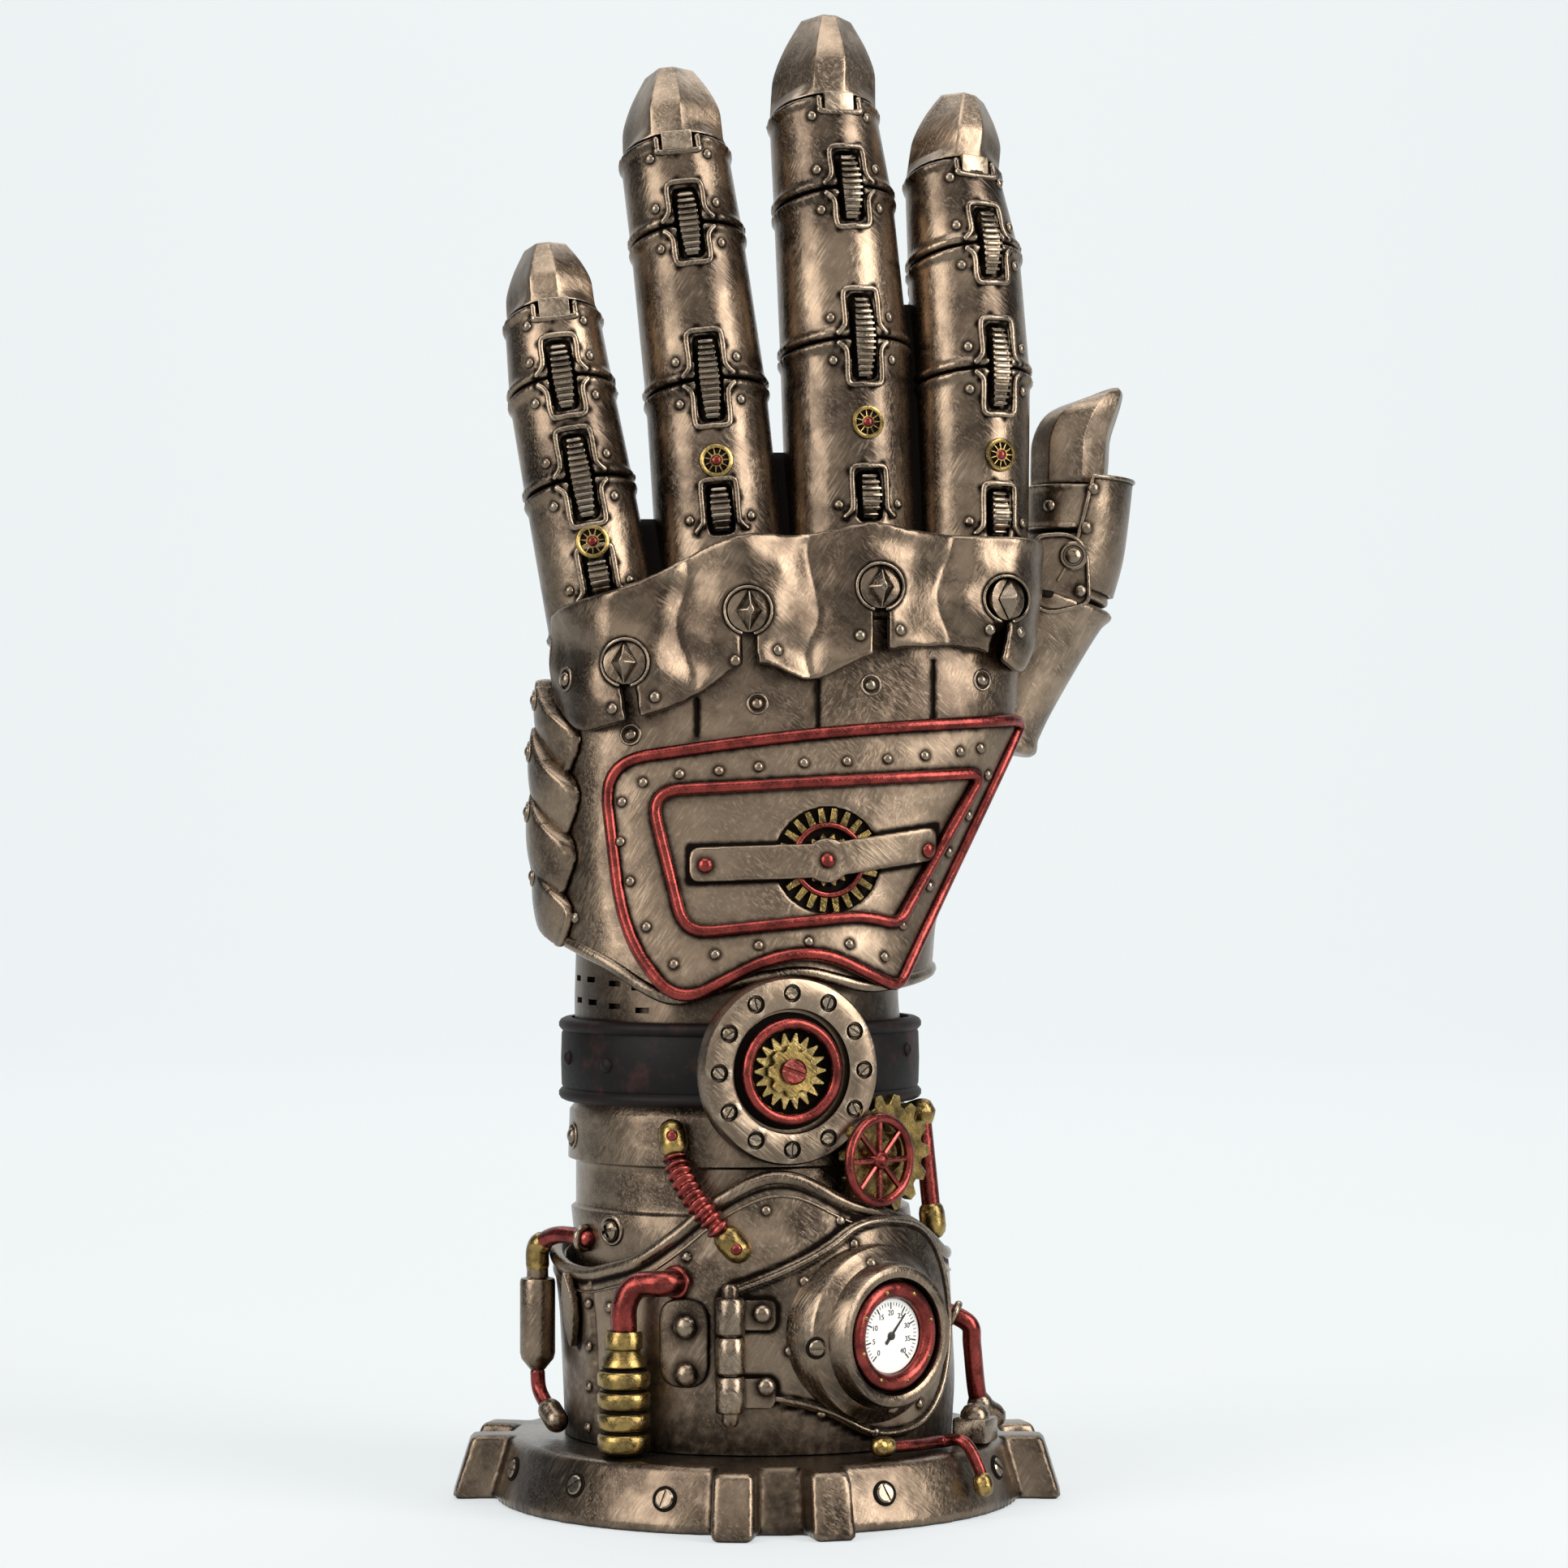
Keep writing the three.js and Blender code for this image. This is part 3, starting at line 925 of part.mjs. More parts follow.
// Hand wheel over a brass gear, side pipe and the fittings on the base's rim
function makeRightFittings() {
  const { angle, facing, z } = WHEEL;
  const seat = bracerSkin.point(angle, z);
  const out = new THREE.Vector3(Math.sin(degrees(facing)), -Math.cos(degrees(facing)), 0);
  const place = (solid, lift) => faceOut(solid, seat.clone().addScaledVector(out, lift), facing);
  const rooms = [
    bracerSkin.solid({ low: level(40), high: level(ARM.bracerTop), lift: GAP + 0.2, sides: ARM.sides }),
    cuffRoom(40, 5.4, 3),
    medallionRoom(),
    strapRoom(),
  ];
  const axle = turned([[0, -5], [3, -5], [3, 0.5], [0, 0.5]], 6);
  const gear = plate(gearOutline(WHEEL.gearTeeth, WHEEL.gearTip, WHEEL.gearRoot), WHEEL.gearThickness);
  const cut = rooms.reduce((solid, room) => solid.subtract(room), place(gear.add(axle), WHEEL.gearLift));
  addPiece("wheel_gear", cut.decompose().sort((a, b) => b.volume() - a.volume())[0], "brass");

  const rim = solidOf(new THREE.TorusGeometry(WHEEL.rim, WHEEL.rimTube, 4, 18));
  const spokes = Array.from({ length: WHEEL.spokes / 2 }, (_, i) => {
    const spoke = new THREE.BoxGeometry(2 * WHEEL.rim, 2 * WHEEL.spoke, 2 * WHEEL.spoke);
    return solidOf(spoke.rotateZ((2 * Math.PI * i) / WHEEL.spokes));
  });
  const back = WHEEL.gearLift + WHEEL.gearThickness + GAP - WHEEL.lift;
  const hub = turned([[0, back], [WHEEL.hub, back], [WHEEL.hub, 1], [0, 1]], 6);
  addPiece("hand_wheel", place(joined([rim, hub, ...spokes]), WHEEL.lift), "red");

  const pipeAt = (height, lift) => bracerSkin.point(SIDE_PIPE.angle, height, lift);
  const high = pipeAt(SIDE_PIPE.high - 4, SIDE_PIPE.stand);
  const low = pipeAt(SIDE_PIPE.low, SIDE_PIPE.lowStand);
  const elbow = pipeAt(SIDE_PIPE.high - 3.4, SIDE_PIPE.foot);
  const run = [elbow, high.clone().add(new THREE.Vector3(0, 0, 2)), high, low];
  addPiece("side_pipe", joined([tube(run, SIDE_PIPE.radius, 6, 7), ball(low, SIDE_PIPE.knob)]), "red");

  const block = cuffSkin.point(FITTING.angle, 20, FITTING.stand);
  const floor = BASE.height + GAP;
  const box = new THREE.BoxGeometry(FITTING.width, FITTING.width, FITTING.height)
    .rotateZ(degrees(FITTING.angle)).translate(block.x, block.y, floor + FITTING.height / 2);
  const dome = ball(new THREE.Vector3(block.x, block.y, floor + FITTING.height), FITTING.ball);
  addPiece("base_fitting", solidOf(box).add(dome), "bronze");

  const drop = DRAIN_PATH.map(({ angle: round, z: up, lift }) => cuffSkin.point(round, up, lift));
  addPiece("cuff_drain", joined([tube(drop, 1.9, 6, 7), ball(drop.at(-1), 2.6)]), "red");

  const feed = FEED_PATH.map(({ radius, rise, angle: round }) => (
    new THREE.Vector3(radius * Math.sin(degrees(round)), -radius * Math.cos(degrees(round)), floor + rise)));
  addPiece("rim_feed", joined([
    tube(feed, 1.2, 6, 7), ball(feed[0], 2, 6), ball(feed.at(-1), 2, 6),
  ]), "red");
}

makeBase();
makeForearm();
makeHand();
makePanel();
Object.entries(FINGERS).forEach(([name, finger]) => makeFinger(name, finger));
makeIndexHose();
makeThumb();
makeGuard();
makeScales();
makeMedallion();
makeGaugeDoor();
makeLeftFittings();
makeRightFittings();

export default gauntlet;
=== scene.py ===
"""A steampunk gauntlet on a gear stand, dressed with cast relief, fasteners, fittings and aged finishes."""

import math
from collections import namedtuple
from contextlib import contextmanager

import bpy
import numpy as np
from bpy.props import FloatProperty, FloatVectorProperty, IntProperty, PointerProperty
from mathutils import Matrix, Vector
from mathutils.bvhtree import BVHTree


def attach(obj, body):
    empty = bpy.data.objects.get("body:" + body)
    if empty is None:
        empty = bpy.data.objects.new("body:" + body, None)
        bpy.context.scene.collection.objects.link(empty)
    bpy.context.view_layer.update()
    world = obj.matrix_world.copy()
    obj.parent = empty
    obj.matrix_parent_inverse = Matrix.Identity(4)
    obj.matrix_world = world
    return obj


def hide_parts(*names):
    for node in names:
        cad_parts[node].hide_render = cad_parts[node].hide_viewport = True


bl_info = {
    "name": "Steampunk Gauntlet",
    "version": (1, 0, 0),
    "blender": (4, 5, 0),
    "location": "View3D > Sidebar > Gauntlet",
    "description": "Dresses the gauntlet and its stand with relief, fasteners, fittings and finishes",
    "category": "Object",
}

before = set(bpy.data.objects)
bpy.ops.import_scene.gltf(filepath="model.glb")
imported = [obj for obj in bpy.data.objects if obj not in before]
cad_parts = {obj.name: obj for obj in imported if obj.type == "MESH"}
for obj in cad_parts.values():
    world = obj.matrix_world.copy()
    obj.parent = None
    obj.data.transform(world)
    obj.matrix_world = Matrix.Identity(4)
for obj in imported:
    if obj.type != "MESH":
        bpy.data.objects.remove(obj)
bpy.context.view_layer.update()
MM = 0.001
# Clear space under a plate, in millimetres
GAP = 0.3
# Points in the arc that rounds one corner of an outline
ARC_POINTS = 8

# The camera, in millimetres and in pixels of the square picture
EYE = Vector((5.5, -930.0, 145.0))
PICTURE = 1932
FOCAL = 5607.9
SENSOR = 36

# The floor, which bends up into a wall behind, in millimetres
FLOOR_FRONT, FLOOR_BACK, FLOOR_SIDE, FLOOR_BEND, WALL_TOP = -2600, 1400, 3200, 700, 2600
FLOOR_COLOUR, FLOOR_GLOW, FLOOR_GLOW_STRENGTH = (0.2, 0.205, 0.205), (0.9, 0.95, 0.965), 0.57
SKY_COLOUR, SKY_STRENGTH = (0.86, 0.93, 1.0), 0.16
WARM = (1.0, 0.97, 0.93)
# Lights: where each hangs, what it looks at and its size, in metres, then its power and colour
LAMPS = {
    "left_box": ((-0.85, -0.7, 0.6), (0, 0, 0.16), (0.6, 1.0), 10.5, WARM),
    "right_box": ((0.9, -0.55, 0.6), (0, 0, 0.16), (0.5, 1.0), 14, WARM),
    "front_fill": ((-0.1, -1.7, 0.75), (0, 0, 0.15), (1.8, 1.1), 6.5, WARM),
    "top_box": ((0.0, -0.2, 1.2), (0, 0, 0.1), (0.9, 0.9), 8, (1, 1, 1)),
    "back_wash": ((0, 1.0, 1.6), (0, 1.9, 0.4), (2.4, 0.8), 38, (0.97, 0.99, 1)),
}

# Cross-sections of the upright forms: height, middle across, middle ahead, half width, half depth, squareness
CUFF_ROWS = [
    (10, 0.2, 0, 39.3, 37.2, 2), (24, 0.4, 0, 40, 37.8, 2), (40, -0.4, 0, 40, 37.4, 2),
    (48, -1.2, 0, 40.4, 37.2, 2), (58, -2.4, 0, 40, 36.2, 2), (72, -3.4, 0, 39, 35, 2),
]
BRACER_ROWS = [
    (13, 0, 0, 34.8, 32, 2), (44, -1.6, 0, 34.8, 31.6, 2), (59.2, -3.4, 0, 34.6, 30.2, 2),
    (59.8, -3.6, 0, 33.4, 29.2, 2), (68.6, -3.8, 0, 33.2, 28.8, 2), (69.2, -3.8, 0, 34.8, 30, 2),
    (79, -3.9, 0, 34.4, 29.2, 2), (80, -3.6, 0, 33.8, 28.4, 2), (89, -3.2, 0, 33.8, 28, 2),
]
# Rings of the bracer, close together at its steps: from, to, and how many
BRACER_BANDS = [(13.3, 59, 12), (59.2, 59.8, 3), (60.2, 68.4, 8), (68.6, 69.2, 3), (69.5, 78.8, 8),
                (79, 88.8, 10)]
SLEEVE_ROWS = [(89, -3.2, 0, 33.8, 28, 2), (100, -4.2, 0, 33.2, 27.4, 2), (114, -4, 0.4, 33, 26.4, 2)]
STRAP_ROWS = [(80, -3.4, 0, 34.2, 28.7, 2), (98, -3.4, 0, 34.2, 28.3, 2)]
HAND_ROWS = [
    (98, -3, 0.4, 38.2, 30.4, 2.1), (106, -3, 0.6, 39, 29.4, 2.1), (121, -2.5, 1, 39.5, 26.2, 2.3),
    (140, 3, 1.4, 43.8, 23.6, 2.4), (156, 6.4, 1.8, 47, 22, 2.5), (172, 6.8, 2, 47.6, 20, 2.7),
    (200, 7, 2, 47.6, 19, 2.8),
]
# Edges of the cuff and of the hand: degrees round from the front, and height
CUFF_EDGE = [
    (-180, 49), (-120, 51), (-92, 49.5), (-70, 46.5), (-54, 46), (-33, 49.5), (-20, 55), (-8, 61.5), (4, 66),
    (12, 67), (20, 65.4), (30, 61.2), (42, 59), (56, 56.6), (78, 49), (120, 47), (180, 49),
]
HAND_LIP = [
    (-180, 109), (-110, 114), (-80, 115), (-55, 112), (-38, 108.6), (-26, 104), (-16, 101.4), (0, 105),
    (20, 107.5), (42, 104), (60, 105), (90, 107), (180, 109),
]
HAND_TOP = 178
CUFF_FOOT = 13.3
CUFF_WALL = 2.6
# Degrees round from the front at which the cuff's seam runs, its pointed leaf faces and the oval plate faces
CUFF_SEAM = -54
LEAF_FACING = -66
OVAL_FACING = -21.5
# The strap's section with its rolled edges: height, and how far it stands off the wrist
STRAP_PROFILE = [
    (80.8, 0.4), (80.8, 1.7), (81.2, 2.5), (81.8, 2.9), (82.6, 2.9), (83.1, 2.5), (83.5, 2.1), (84, 2.35),
    (89.2, 2.5), (94.4, 2.35), (94.9, 2.1), (95.3, 2.5), (95.8, 2.9), (96.6, 2.9), (97.2, 2.5), (97.6, 1.7),
    (97.6, 0.4),
]

# Outlines: across, up, and how far each corner is rounded
PANEL_OUTLINE = [
    (-30.6, 149.4, 9), (10, 155.2, 30), (54.4, 158.2, 2.5), (28.4, 104.2, 2.5), (9, 114, 16),
    (-15.5, 101.2, 7), (-26.4, 115, 12),
]
PANEL_INSET = [(-21, 143.4, 6), (45.4, 147, 2.5), (28.4, 117.2, 2), (21, 119, 4), (-14, 115.6, 5)]
PANEL_THICKNESS = 1.8
PANEL_GEAR = (14.2, 129.8)
PANEL_WINDOW = 10.6
# The bar across the gear: where its ends lie, and how it rises towards each of them
BAR_ENDS = (-13.3, 36.2)
BAR_RISE = (0.03, 0.15)
BAR_HALF = 3.45
BAR_BOSS = 4.5
BAR_THICKNESS = 1.3
GUARD_OUTLINE = [
    (-46, 175, 3), (-40, 180.6, 4), (-22, 185.4, 10), (-4.4, 195.8, 10), (10, 194.4, 8), (22.4, 198.4, 9),
    (34, 195.4, 8), (60, 195.2, 2), (58.5, 176, 4), (54, 166.4, 3), (46, 172.6, 6), (25.6, 172.4, 8),
    (11, 164.8, 4), (-1, 170.6, 7), (-14, 160.6, 8), (-35.6, 154.8, 3), (-44, 165, 5),
]
CUFF_LEAF = [(0.5, 48, 1.5), (3.6, 41, 5), (1.4, 31.5, 1.5), (-3.2, 39, 5)]
DOOR_OUTLINE = [
    (-30, 9.6, 3), (-14, 17, 14), (-4, 24, 12), (16, 21, 14), (23, 0, 18), (14, -19, 14), (-3, -22, 12),
    (-15, -14.5, 14), (-30, -11.6, 3),
]
# Leaves down the side of the hand: height, half length and how far each stands out
SCALES = [(158, 9.4, 5), (147, 10.8, 6.2), (135, 10.4, 6.2), (122.6, 9, 4.2)]
SCALE_FACING = -80
# The guard: its thickness as drawn, and, once bent round the hand, how far off it starts, its body, its
# ridges over the knuckles, its ripples and how far the ridges sway
GUARD = {"drawn": 2.0, "off": 0.5, "body": 2.2, "ridge": 3.8, "ridge_half": 13.2, "ripple": 0.5, "sway": 1.3}
KEYHOLE = {"hole": 4.4, "rim": 4.7, "slot_half": 1.3, "slot_long": 22}
# Keyholes in the guard: across, up, and the lean of the slot in degrees
KNUCKLES = [(-26.1, 169.1, 8), (-1.6, 179.5, 2), (24.8, 184.5, 0), (50.6, 182.4, -12)]

# Finger axes from root to tip; w is the half width, turn the way the back of the finger faces
Row = namedtuple("Row", "x y z w")
Finger = namedtuple("Finger", "turn hinge rosette root pip dip cap tip")
FINGERS = {
    "little": Finger(6, 186.5, 193.3, Row(-31, -6.6, 177, 11.4), Row(-36.3, -7, 206.1, 11.1),
                     Row(-40, -5, 226, 10.7), Row(-41.9, -3, 241.4, 9.7), Row(-43.2, -1, 254.5, 4.2)),
    "ring": Finger(5, 200, 209.7, Row(-6.4, -1, 177, 13.4), Row(-10.6, 0, 226.4, 12.4),
                   Row(-14.6, 2, 257.7, 11.6), Row(-17.2, 4, 275.6, 11.1), Row(-18.1, 7, 291, 4)),
    "middle": Finger(18, 203, 217.8, Row(20, 4, 177, 13.6), Row(17.8, 5, 235.2, 13.3),
                     Row(15.5, 7, 265.5, 12.4), Row(13.4, 9, 284.5, 11.1), Row(14.2, 12, 302.7, 5)),
    "index": Finger(28, 200, 211.8, Row(44.3, 9, 177, 11.6), Row(44.2, 10, 229.8, 12.2),
                    Row(42.5, 12, 254.7, 11.8), Row(40.3, 14, 272.6, 9.8), Row(42.6, 17, 287.5, 4)),
}
PROXIMAL, MIDDLE, DISTAL = ("root", "pip"), ("pip", "dip"), ("dip", "cap")
# Depth of a finger for its width, how far its joints arch, and the knuckle slots, in millimetres
FINGER_DEPTH = 0.96
JOINT_ARCH = 2.2
DIP_SLOT = 14.4
PIP_SLOT = 17.4
HINGE_SLOT = 10.0
SLOT_WIDTH = 5.2
TAB_WIDTH = 6.2
# Rivets on each side of a finger's back, and of its tip
STUD_SIDES = (-6.6, 6.6)
TIP_STUD_SIDES = (-6.2, 6.2)
# Dark webs of painted shade between the fingers' roots: the fingers on both sides, and how high each reaches
WEBS = [("little", "ring", 199), ("ring", "middle", 213), ("middle", "index", 244)]
WEB_FOOT = 176

# Fingertips: share of the way up and share of the width, then the corners of the section in degrees, and the
# share of the way up in which the round foot turns flat-sided
CAP_PROFILE = [(0, 1), (0.25, 0.99), (0.45, 0.95), (0.72, 0.76), (1, 0.47)]
CAP_FACETS = [-165, -108, -27, 6, 64, 128]
CAP_ROUND = 0.16

THUMB_TURN = 62
THUMB_ARCH = 0.8
# Thumb pieces from the hand outwards: x, y, z, half width and lean in degrees
THUMB = {
    "sleeve": [(49.5, 24, 153, 8.4, 18), (53, 26, 163, 9.4, 24), (59.5, 28, 178, 11.4, 24),
               (63, 28.4, 185, 12.6, 20)],
    "link": [(63.2, 28.4, 185.4, 10.6, 20), (65.4, 28.4, 193, 10.4, 12), (66.3, 28.2, 198, 9.6, 6)],
    "collar": [(66.4, 28.1, 198.4, 10.8, 6), (66.8, 28, 203, 10.6, 6), (67.2, 27.9, 208, 10.8, 6)],
}
THUMB_TIP = [
    (65.4, 27.9, 208.4, 8.6, 4), (65.6, 27.6, 213, 8.8, 4), (65.9, 27.3, 218, 8.8, 4),
    (67.6, 27, 222.4, 8.4, 4), (69.6, 26.8, 225, 7.2, 2), (72.4, 26.6, 227.2, 4.6, 0),
    (73.6, 26.5, 228.3, 2.4, 0),
]
THUMB_FACETS = np.array([-170, -135, -95, -46, -5, 40, 85, 130])
THUMB_BAND = [(63.8, 28.4, 187.5, 11.9, 18), (65.6, 28.4, 194, 11.9, 12), (66.6, 28.1, 202, 12, 6),
              (67.3, 27.9, 209.6, 12.1, 6)]
THUMB_BAND_EDGE = (-66, -48)
THUMB_LUG = [
    (58, 197.1, 2), (65.6, 197.6, 4), (69, 193.6, 3), (69.5, 182, 3), (60, 179.8, 3), (55.5, 183.2, 3),
    (56.5, 191.6, 3),
]
THUMB_LUG_DEPTH = 16.4
MEDALLION = {"angle": 15.4, "facing": 22, "z": 88.4, "radius": 18.6, "thickness": 4.4, "well": 12.2,
             "floor": 2.0, "screws": 15.4, "pit": 1.85, "red_ring": 9.5}
GAUGE = {"angle": 34.5, "facing": 40, "door": 41, "z": 36.6, "flange": 17.6, "rim": 13, "height": 7,
         "bore": 11.4, "floor": 3.6, "red_ring": 9.2, "door_thickness": 1.4}
# The dial: its radius, the turn of its scale, its ticks and numbers, and the needle's turn, in degrees
DIAL = {"radius": 7.5, "scale": 270, "ticks": 40, "tick_end": 6.6, "numbers": 8, "number_at": 4.5,
        "needle": -42}
HINGE = {"angle": -6.5, "low": 22, "high": 45, "radius": 2.3}
WHEEL = {"angle": 42, "facing": 44, "z": 70.4, "rim": 8.4, "lift": 8.0, "gear_lift": 3.7, "gear_side": 4.6,
         "gear_rise": 1.0}

# Places of the fittings: degrees round from the front, height, and how far off the cuff or the bracer
FITTED_AT = {
    "bulb": (-34.5, 26, 6.3),
    "canister": (-84, 37, 4.6),
    "side_pipe_high": (82, 76.6, 3.6),
    "side_pipe_low": (82, 55, 4.6),
    "side_pipe_elbow": (82, 77.2, -0.4),
    "stand_block": (67, 20, 7.4),
}
CANISTER_BASE = 29
# Paths: the hose over the cuff's edge; the drain, as places on the cuff; the feed on the stand, as radius,
# rise over the stand and degrees round from the front
HOSE_PATH = [(-16.6, -31.6, 76), (-15.6, -33.4, 70), (-12.6, -37.6, 64.5), (-8.4, -40.6, 59.4),
             (-3.6, -39.6, 54)]
DRAIN_PATH = [(77, 38, 0.4), (78, 35.5, 4.2), (79, 31, 4.4), (81, 20, 5.4), (84, 16.6, 8.4)]
FEED_PATH = [
    (47, 2.1, 31), (46.6, 1.7, 41.3), (46, 1.4, 52.7), (50.8, 1.6, 53.9), (54, -3.2, 54.5), (55.2, -7, 54.5),
]

# The stand: its turned outline as radius and height, and its teeth, which come in pairs
STAND_PROFILE = [
    (0.5, 0), (53.2, 0), (53.7, 0.8), (53.5, 2), (51, 10.4), (50.7, 11.8), (49.9, 12.7), (48.6, 13),
    (0.5, 13),
]
PAIR_MIDDLES = (5.5, 90, 174.5, 275.2)
TOOTH_SIZE = (20, 8.6, 12.9)
TOOTH_MIDDLE = 52
TOOTH_REACH_TOP = 58.2
TOOTH_REACH_FOOT = 62.2
TOOTH_TAPER = 0.94
TOOTH_SPREAD = 9.3
# Where small things show in the picture, in pixels across and down
SEEN_AT = {
    "stand_screws": [(633, 1810), (709, 1830), (819, 1847), (1090, 1840), (1228, 1808)],
    "sleeve_slots": [
        (713, 1205), (728, 1207), (757, 1212), (786, 1217), (714, 1232), (730, 1235), (757, 1240),
        (791, 1245),
    ],
    "strap_studs": [(747, 1313), (700, 1303), (1118, 1293)],
    "bracer_rivet": [(706, 1399)],
    "cuff_rivets": [
        (944, 1492), (1036, 1504), (846, 1549), (725, 1606), (726, 1659), (726, 1709), (725, 1759),
        (751, 1611), (752, 1664), (1161, 1577),
    ],
    "cross_screw": [(754, 1516)],
    "knuckle_row_rivets": [(777, 905), (933, 867), (1073, 844), (1210, 838)],
    "wrist_side_rivets": [(709, 1131), (1119, 1186)],
    "panel_bar_studs": [(869, 1066), (1020, 1060), (1144, 1048)],
    "panel_rivets": [
        (792, 964), (837, 954), (886, 950), (935, 945), (991, 940), (1044, 938), (1094, 935), (1140, 931),
        (1183, 926), (1208, 922), (766, 988), (764, 1037), (776, 1086), (796, 1142), (830, 1188),
        (881, 1176), (935, 1165), (997, 1160), (1047, 1163), (1090, 1179), (1217, 955), (1193, 1005),
        (1169, 1050), (1145, 1092), (1112, 1140),
    ],
    "guard_rivets": [
        (754, 873), (807, 859), (906, 814), (959, 801), (1060, 783), (1110, 776), (1220, 776), (1257, 779),
    ],
    "guard_corner_rivet": [(697, 837)],
    "thumb_pivot": [(1322, 685)],
    "thumb_hole_shadow": [(1289, 729)],
    "thumb_rivets": [(1293, 623), (1347, 602), (1338, 650), (1331, 728)],
    "hinge_rivets": [(939, 1619), (944, 1709)],
    "oval_plate_rivets": [(844, 1635), (845, 1694)],
    "door_rivets": [
        (1053, 1533), (1117, 1561), (991, 1579), (973, 1665), (1012, 1743), (1079, 1765), (1133, 1730),
    ],
    "flange_screw": [(1006, 1661)],
    "flange_rivets": [(1074, 1556), (1100, 1737)],
}
# Seams in the hand: pixels across, and down from where to where
HAND_SEAMS = [(859, 905, 862), (1008, 900, 828), (1150, 890, 815)]


# Selection and mesh helpers
def only(piece):
    bpy.ops.object.select_all(action="DESELECT")
    piece.select_set(True)
    bpy.context.view_layer.objects.active = piece


@contextmanager
def editing(piece):
    """Edit mode on one piece, with all of it selected."""
    only(piece)
    bpy.ops.object.mode_set(mode="EDIT")
    bpy.ops.mesh.select_mode(type="FACE")
    bpy.ops.mesh.select_all(action="SELECT")
    yield
    bpy.ops.object.mode_set(mode="OBJECT")


def link(name, mesh):
    piece = bpy.data.objects.new(name, mesh)
    bpy.context.scene.collection.objects.link(piece)
    return piece


def outward(piece):
    with editing(piece):
        bpy.ops.mesh.normals_make_consistent(inside=False)
    return piece


def mesh_piece(name, points, faces):
    mesh = bpy.data.meshes.new(name)
    mesh.from_pydata((np.asarray(points, float) * MM).tolist(), [], faces)
    return outward(link(name, mesh))


def read(piece):
    points = np.empty(len(piece.data.vertices) * 3)
    piece.data.vertices.foreach_get("co", points)
    return points.reshape(-1, 3) / MM


def write(piece, points):
    piece.data.vertices.foreach_set("co", (np.asarray(points) * MM).ravel())
    piece.data.update()
    return piece


def applied(piece, kind, **settings):
    modifier = piece.modifiers.new(kind.title(), kind)
    for key, value in settings.items():
        setattr(modifier, key, value)
    only(piece)
    bpy.ops.object.modifier_apply(modifier=modifier.name)
    return piece


def softened(piece, voxel, rounds):
    """Even small faces all over, with the edges worn round."""
    applied(piece, "REMESH", mode="VOXEL", voxel_size=voxel * MM)
    return applied(piece, "SMOOTH", factor=0.5, iterations=rounds) if rounds else piece


def bevelled(piece, width, segments=2, angle=35):
    return applied(piece, "BEVEL", width=width * MM, segments=segments, limit_method="ANGLE",
                   angle_limit=math.radians(angle))


def cut(piece, *cutters):
    for cutter in cutters:
        applied(piece, "BOOLEAN", object=cutter, operation="DIFFERENCE", solver="EXACT")
        bpy.data.objects.remove(cutter)
    return piece


def united(name, pieces):
    only(pieces[0])
    for piece in pieces[1:]:
        piece.select_set(True)
    if len(pieces) > 1:
        bpy.ops.object.join()
    pieces[0].name = name
    return pieces[0]


def copies(name, model, places):
    """One piece made of copies of a model, each with a mesh of its own; the model goes."""
    twins = []
    for place in places:
        twin = link(name, model.data.copy())
        twin.data.transform(place)
        twins.append(twin)
    bpy.data.objects.remove(model)
    return united(name, twins)


def placed(piece, place):
    piece.data.transform(place)
    return piece


def shift(x, y, z):
    """A move in millimetres."""
    return Matrix.Translation(Vector((x, y, z)) * MM)


def spun(degrees):
    return Matrix.Rotation(math.radians(degrees), 4, "Z")


def all_round(count):
    """Even turns about Z."""
    return [spun(360 * i / count) for i in range(count)]


def finish(piece, name, slot, *nodes, material=None, sharp=None):
    """Names a piece, smooths it, gives it its finish, hangs it on the root body and hides the CAD nodes that
    it stands for.
    """
    piece.name = name
    only(piece)
    if sharp:
        bpy.ops.object.shade_smooth_by_angle(angle=math.radians(sharp))
    else:
        bpy.ops.object.shade_smooth()
    piece.data.materials.clear()
    piece.data.materials.append(FINISHES[material or slot])
    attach(piece, "root")
    if nodes:
        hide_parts(*nodes)
    return piece


# Curves, lofts and plates, in millimetres
def loft(name, rings, loop=False):
    """A closed skin through rings of points; with loop the last ring meets the first."""
    rings = np.asarray(rings, float)
    rows, sides = rings.shape[:2]
    index = np.arange(rows * sides).reshape(rows, sides)
    below = index if loop else index[:-1]
    above = np.roll(index, -1, 0) if loop else index[1:]
    faces = np.stack([below, np.roll(below, -1, 1), np.roll(above, -1, 1), above], -1).reshape(-1, 4).tolist()
    if not loop:
        faces += [index[0][::-1].tolist(), index[-1].tolist()]
    return mesh_piece(name, rings.reshape(-1, 3), faces)


def turned(name, profile, sides):
    """A turned piece about Z from radius and height pairs."""
    around = np.linspace(0, 2 * math.pi, sides, endpoint=False)
    return loft(name, [np.stack([r * np.cos(around), r * np.sin(around), np.full(sides, h)], -1)
                       for r, h in profile])


def spline(points, count):
    """Evenly counted points on a smooth curve through the given ones."""
    points = np.asarray(points, float)
    spans = len(points) - 1
    made = []
    for share in np.linspace(0, spans, count):
        i = min(int(share), spans - 1)
        t = share - i
        a, b, c, d = (points[min(max(i + k, 0), spans)] for k in (-1, 0, 1, 2))
        made.append(0.5 * (2 * b + (c - a) * t + (2 * a - 5 * b + 4 * c - d) * t * t
                           + (3 * b - a - 3 * c + d) * t ** 3))
    return np.array(made)


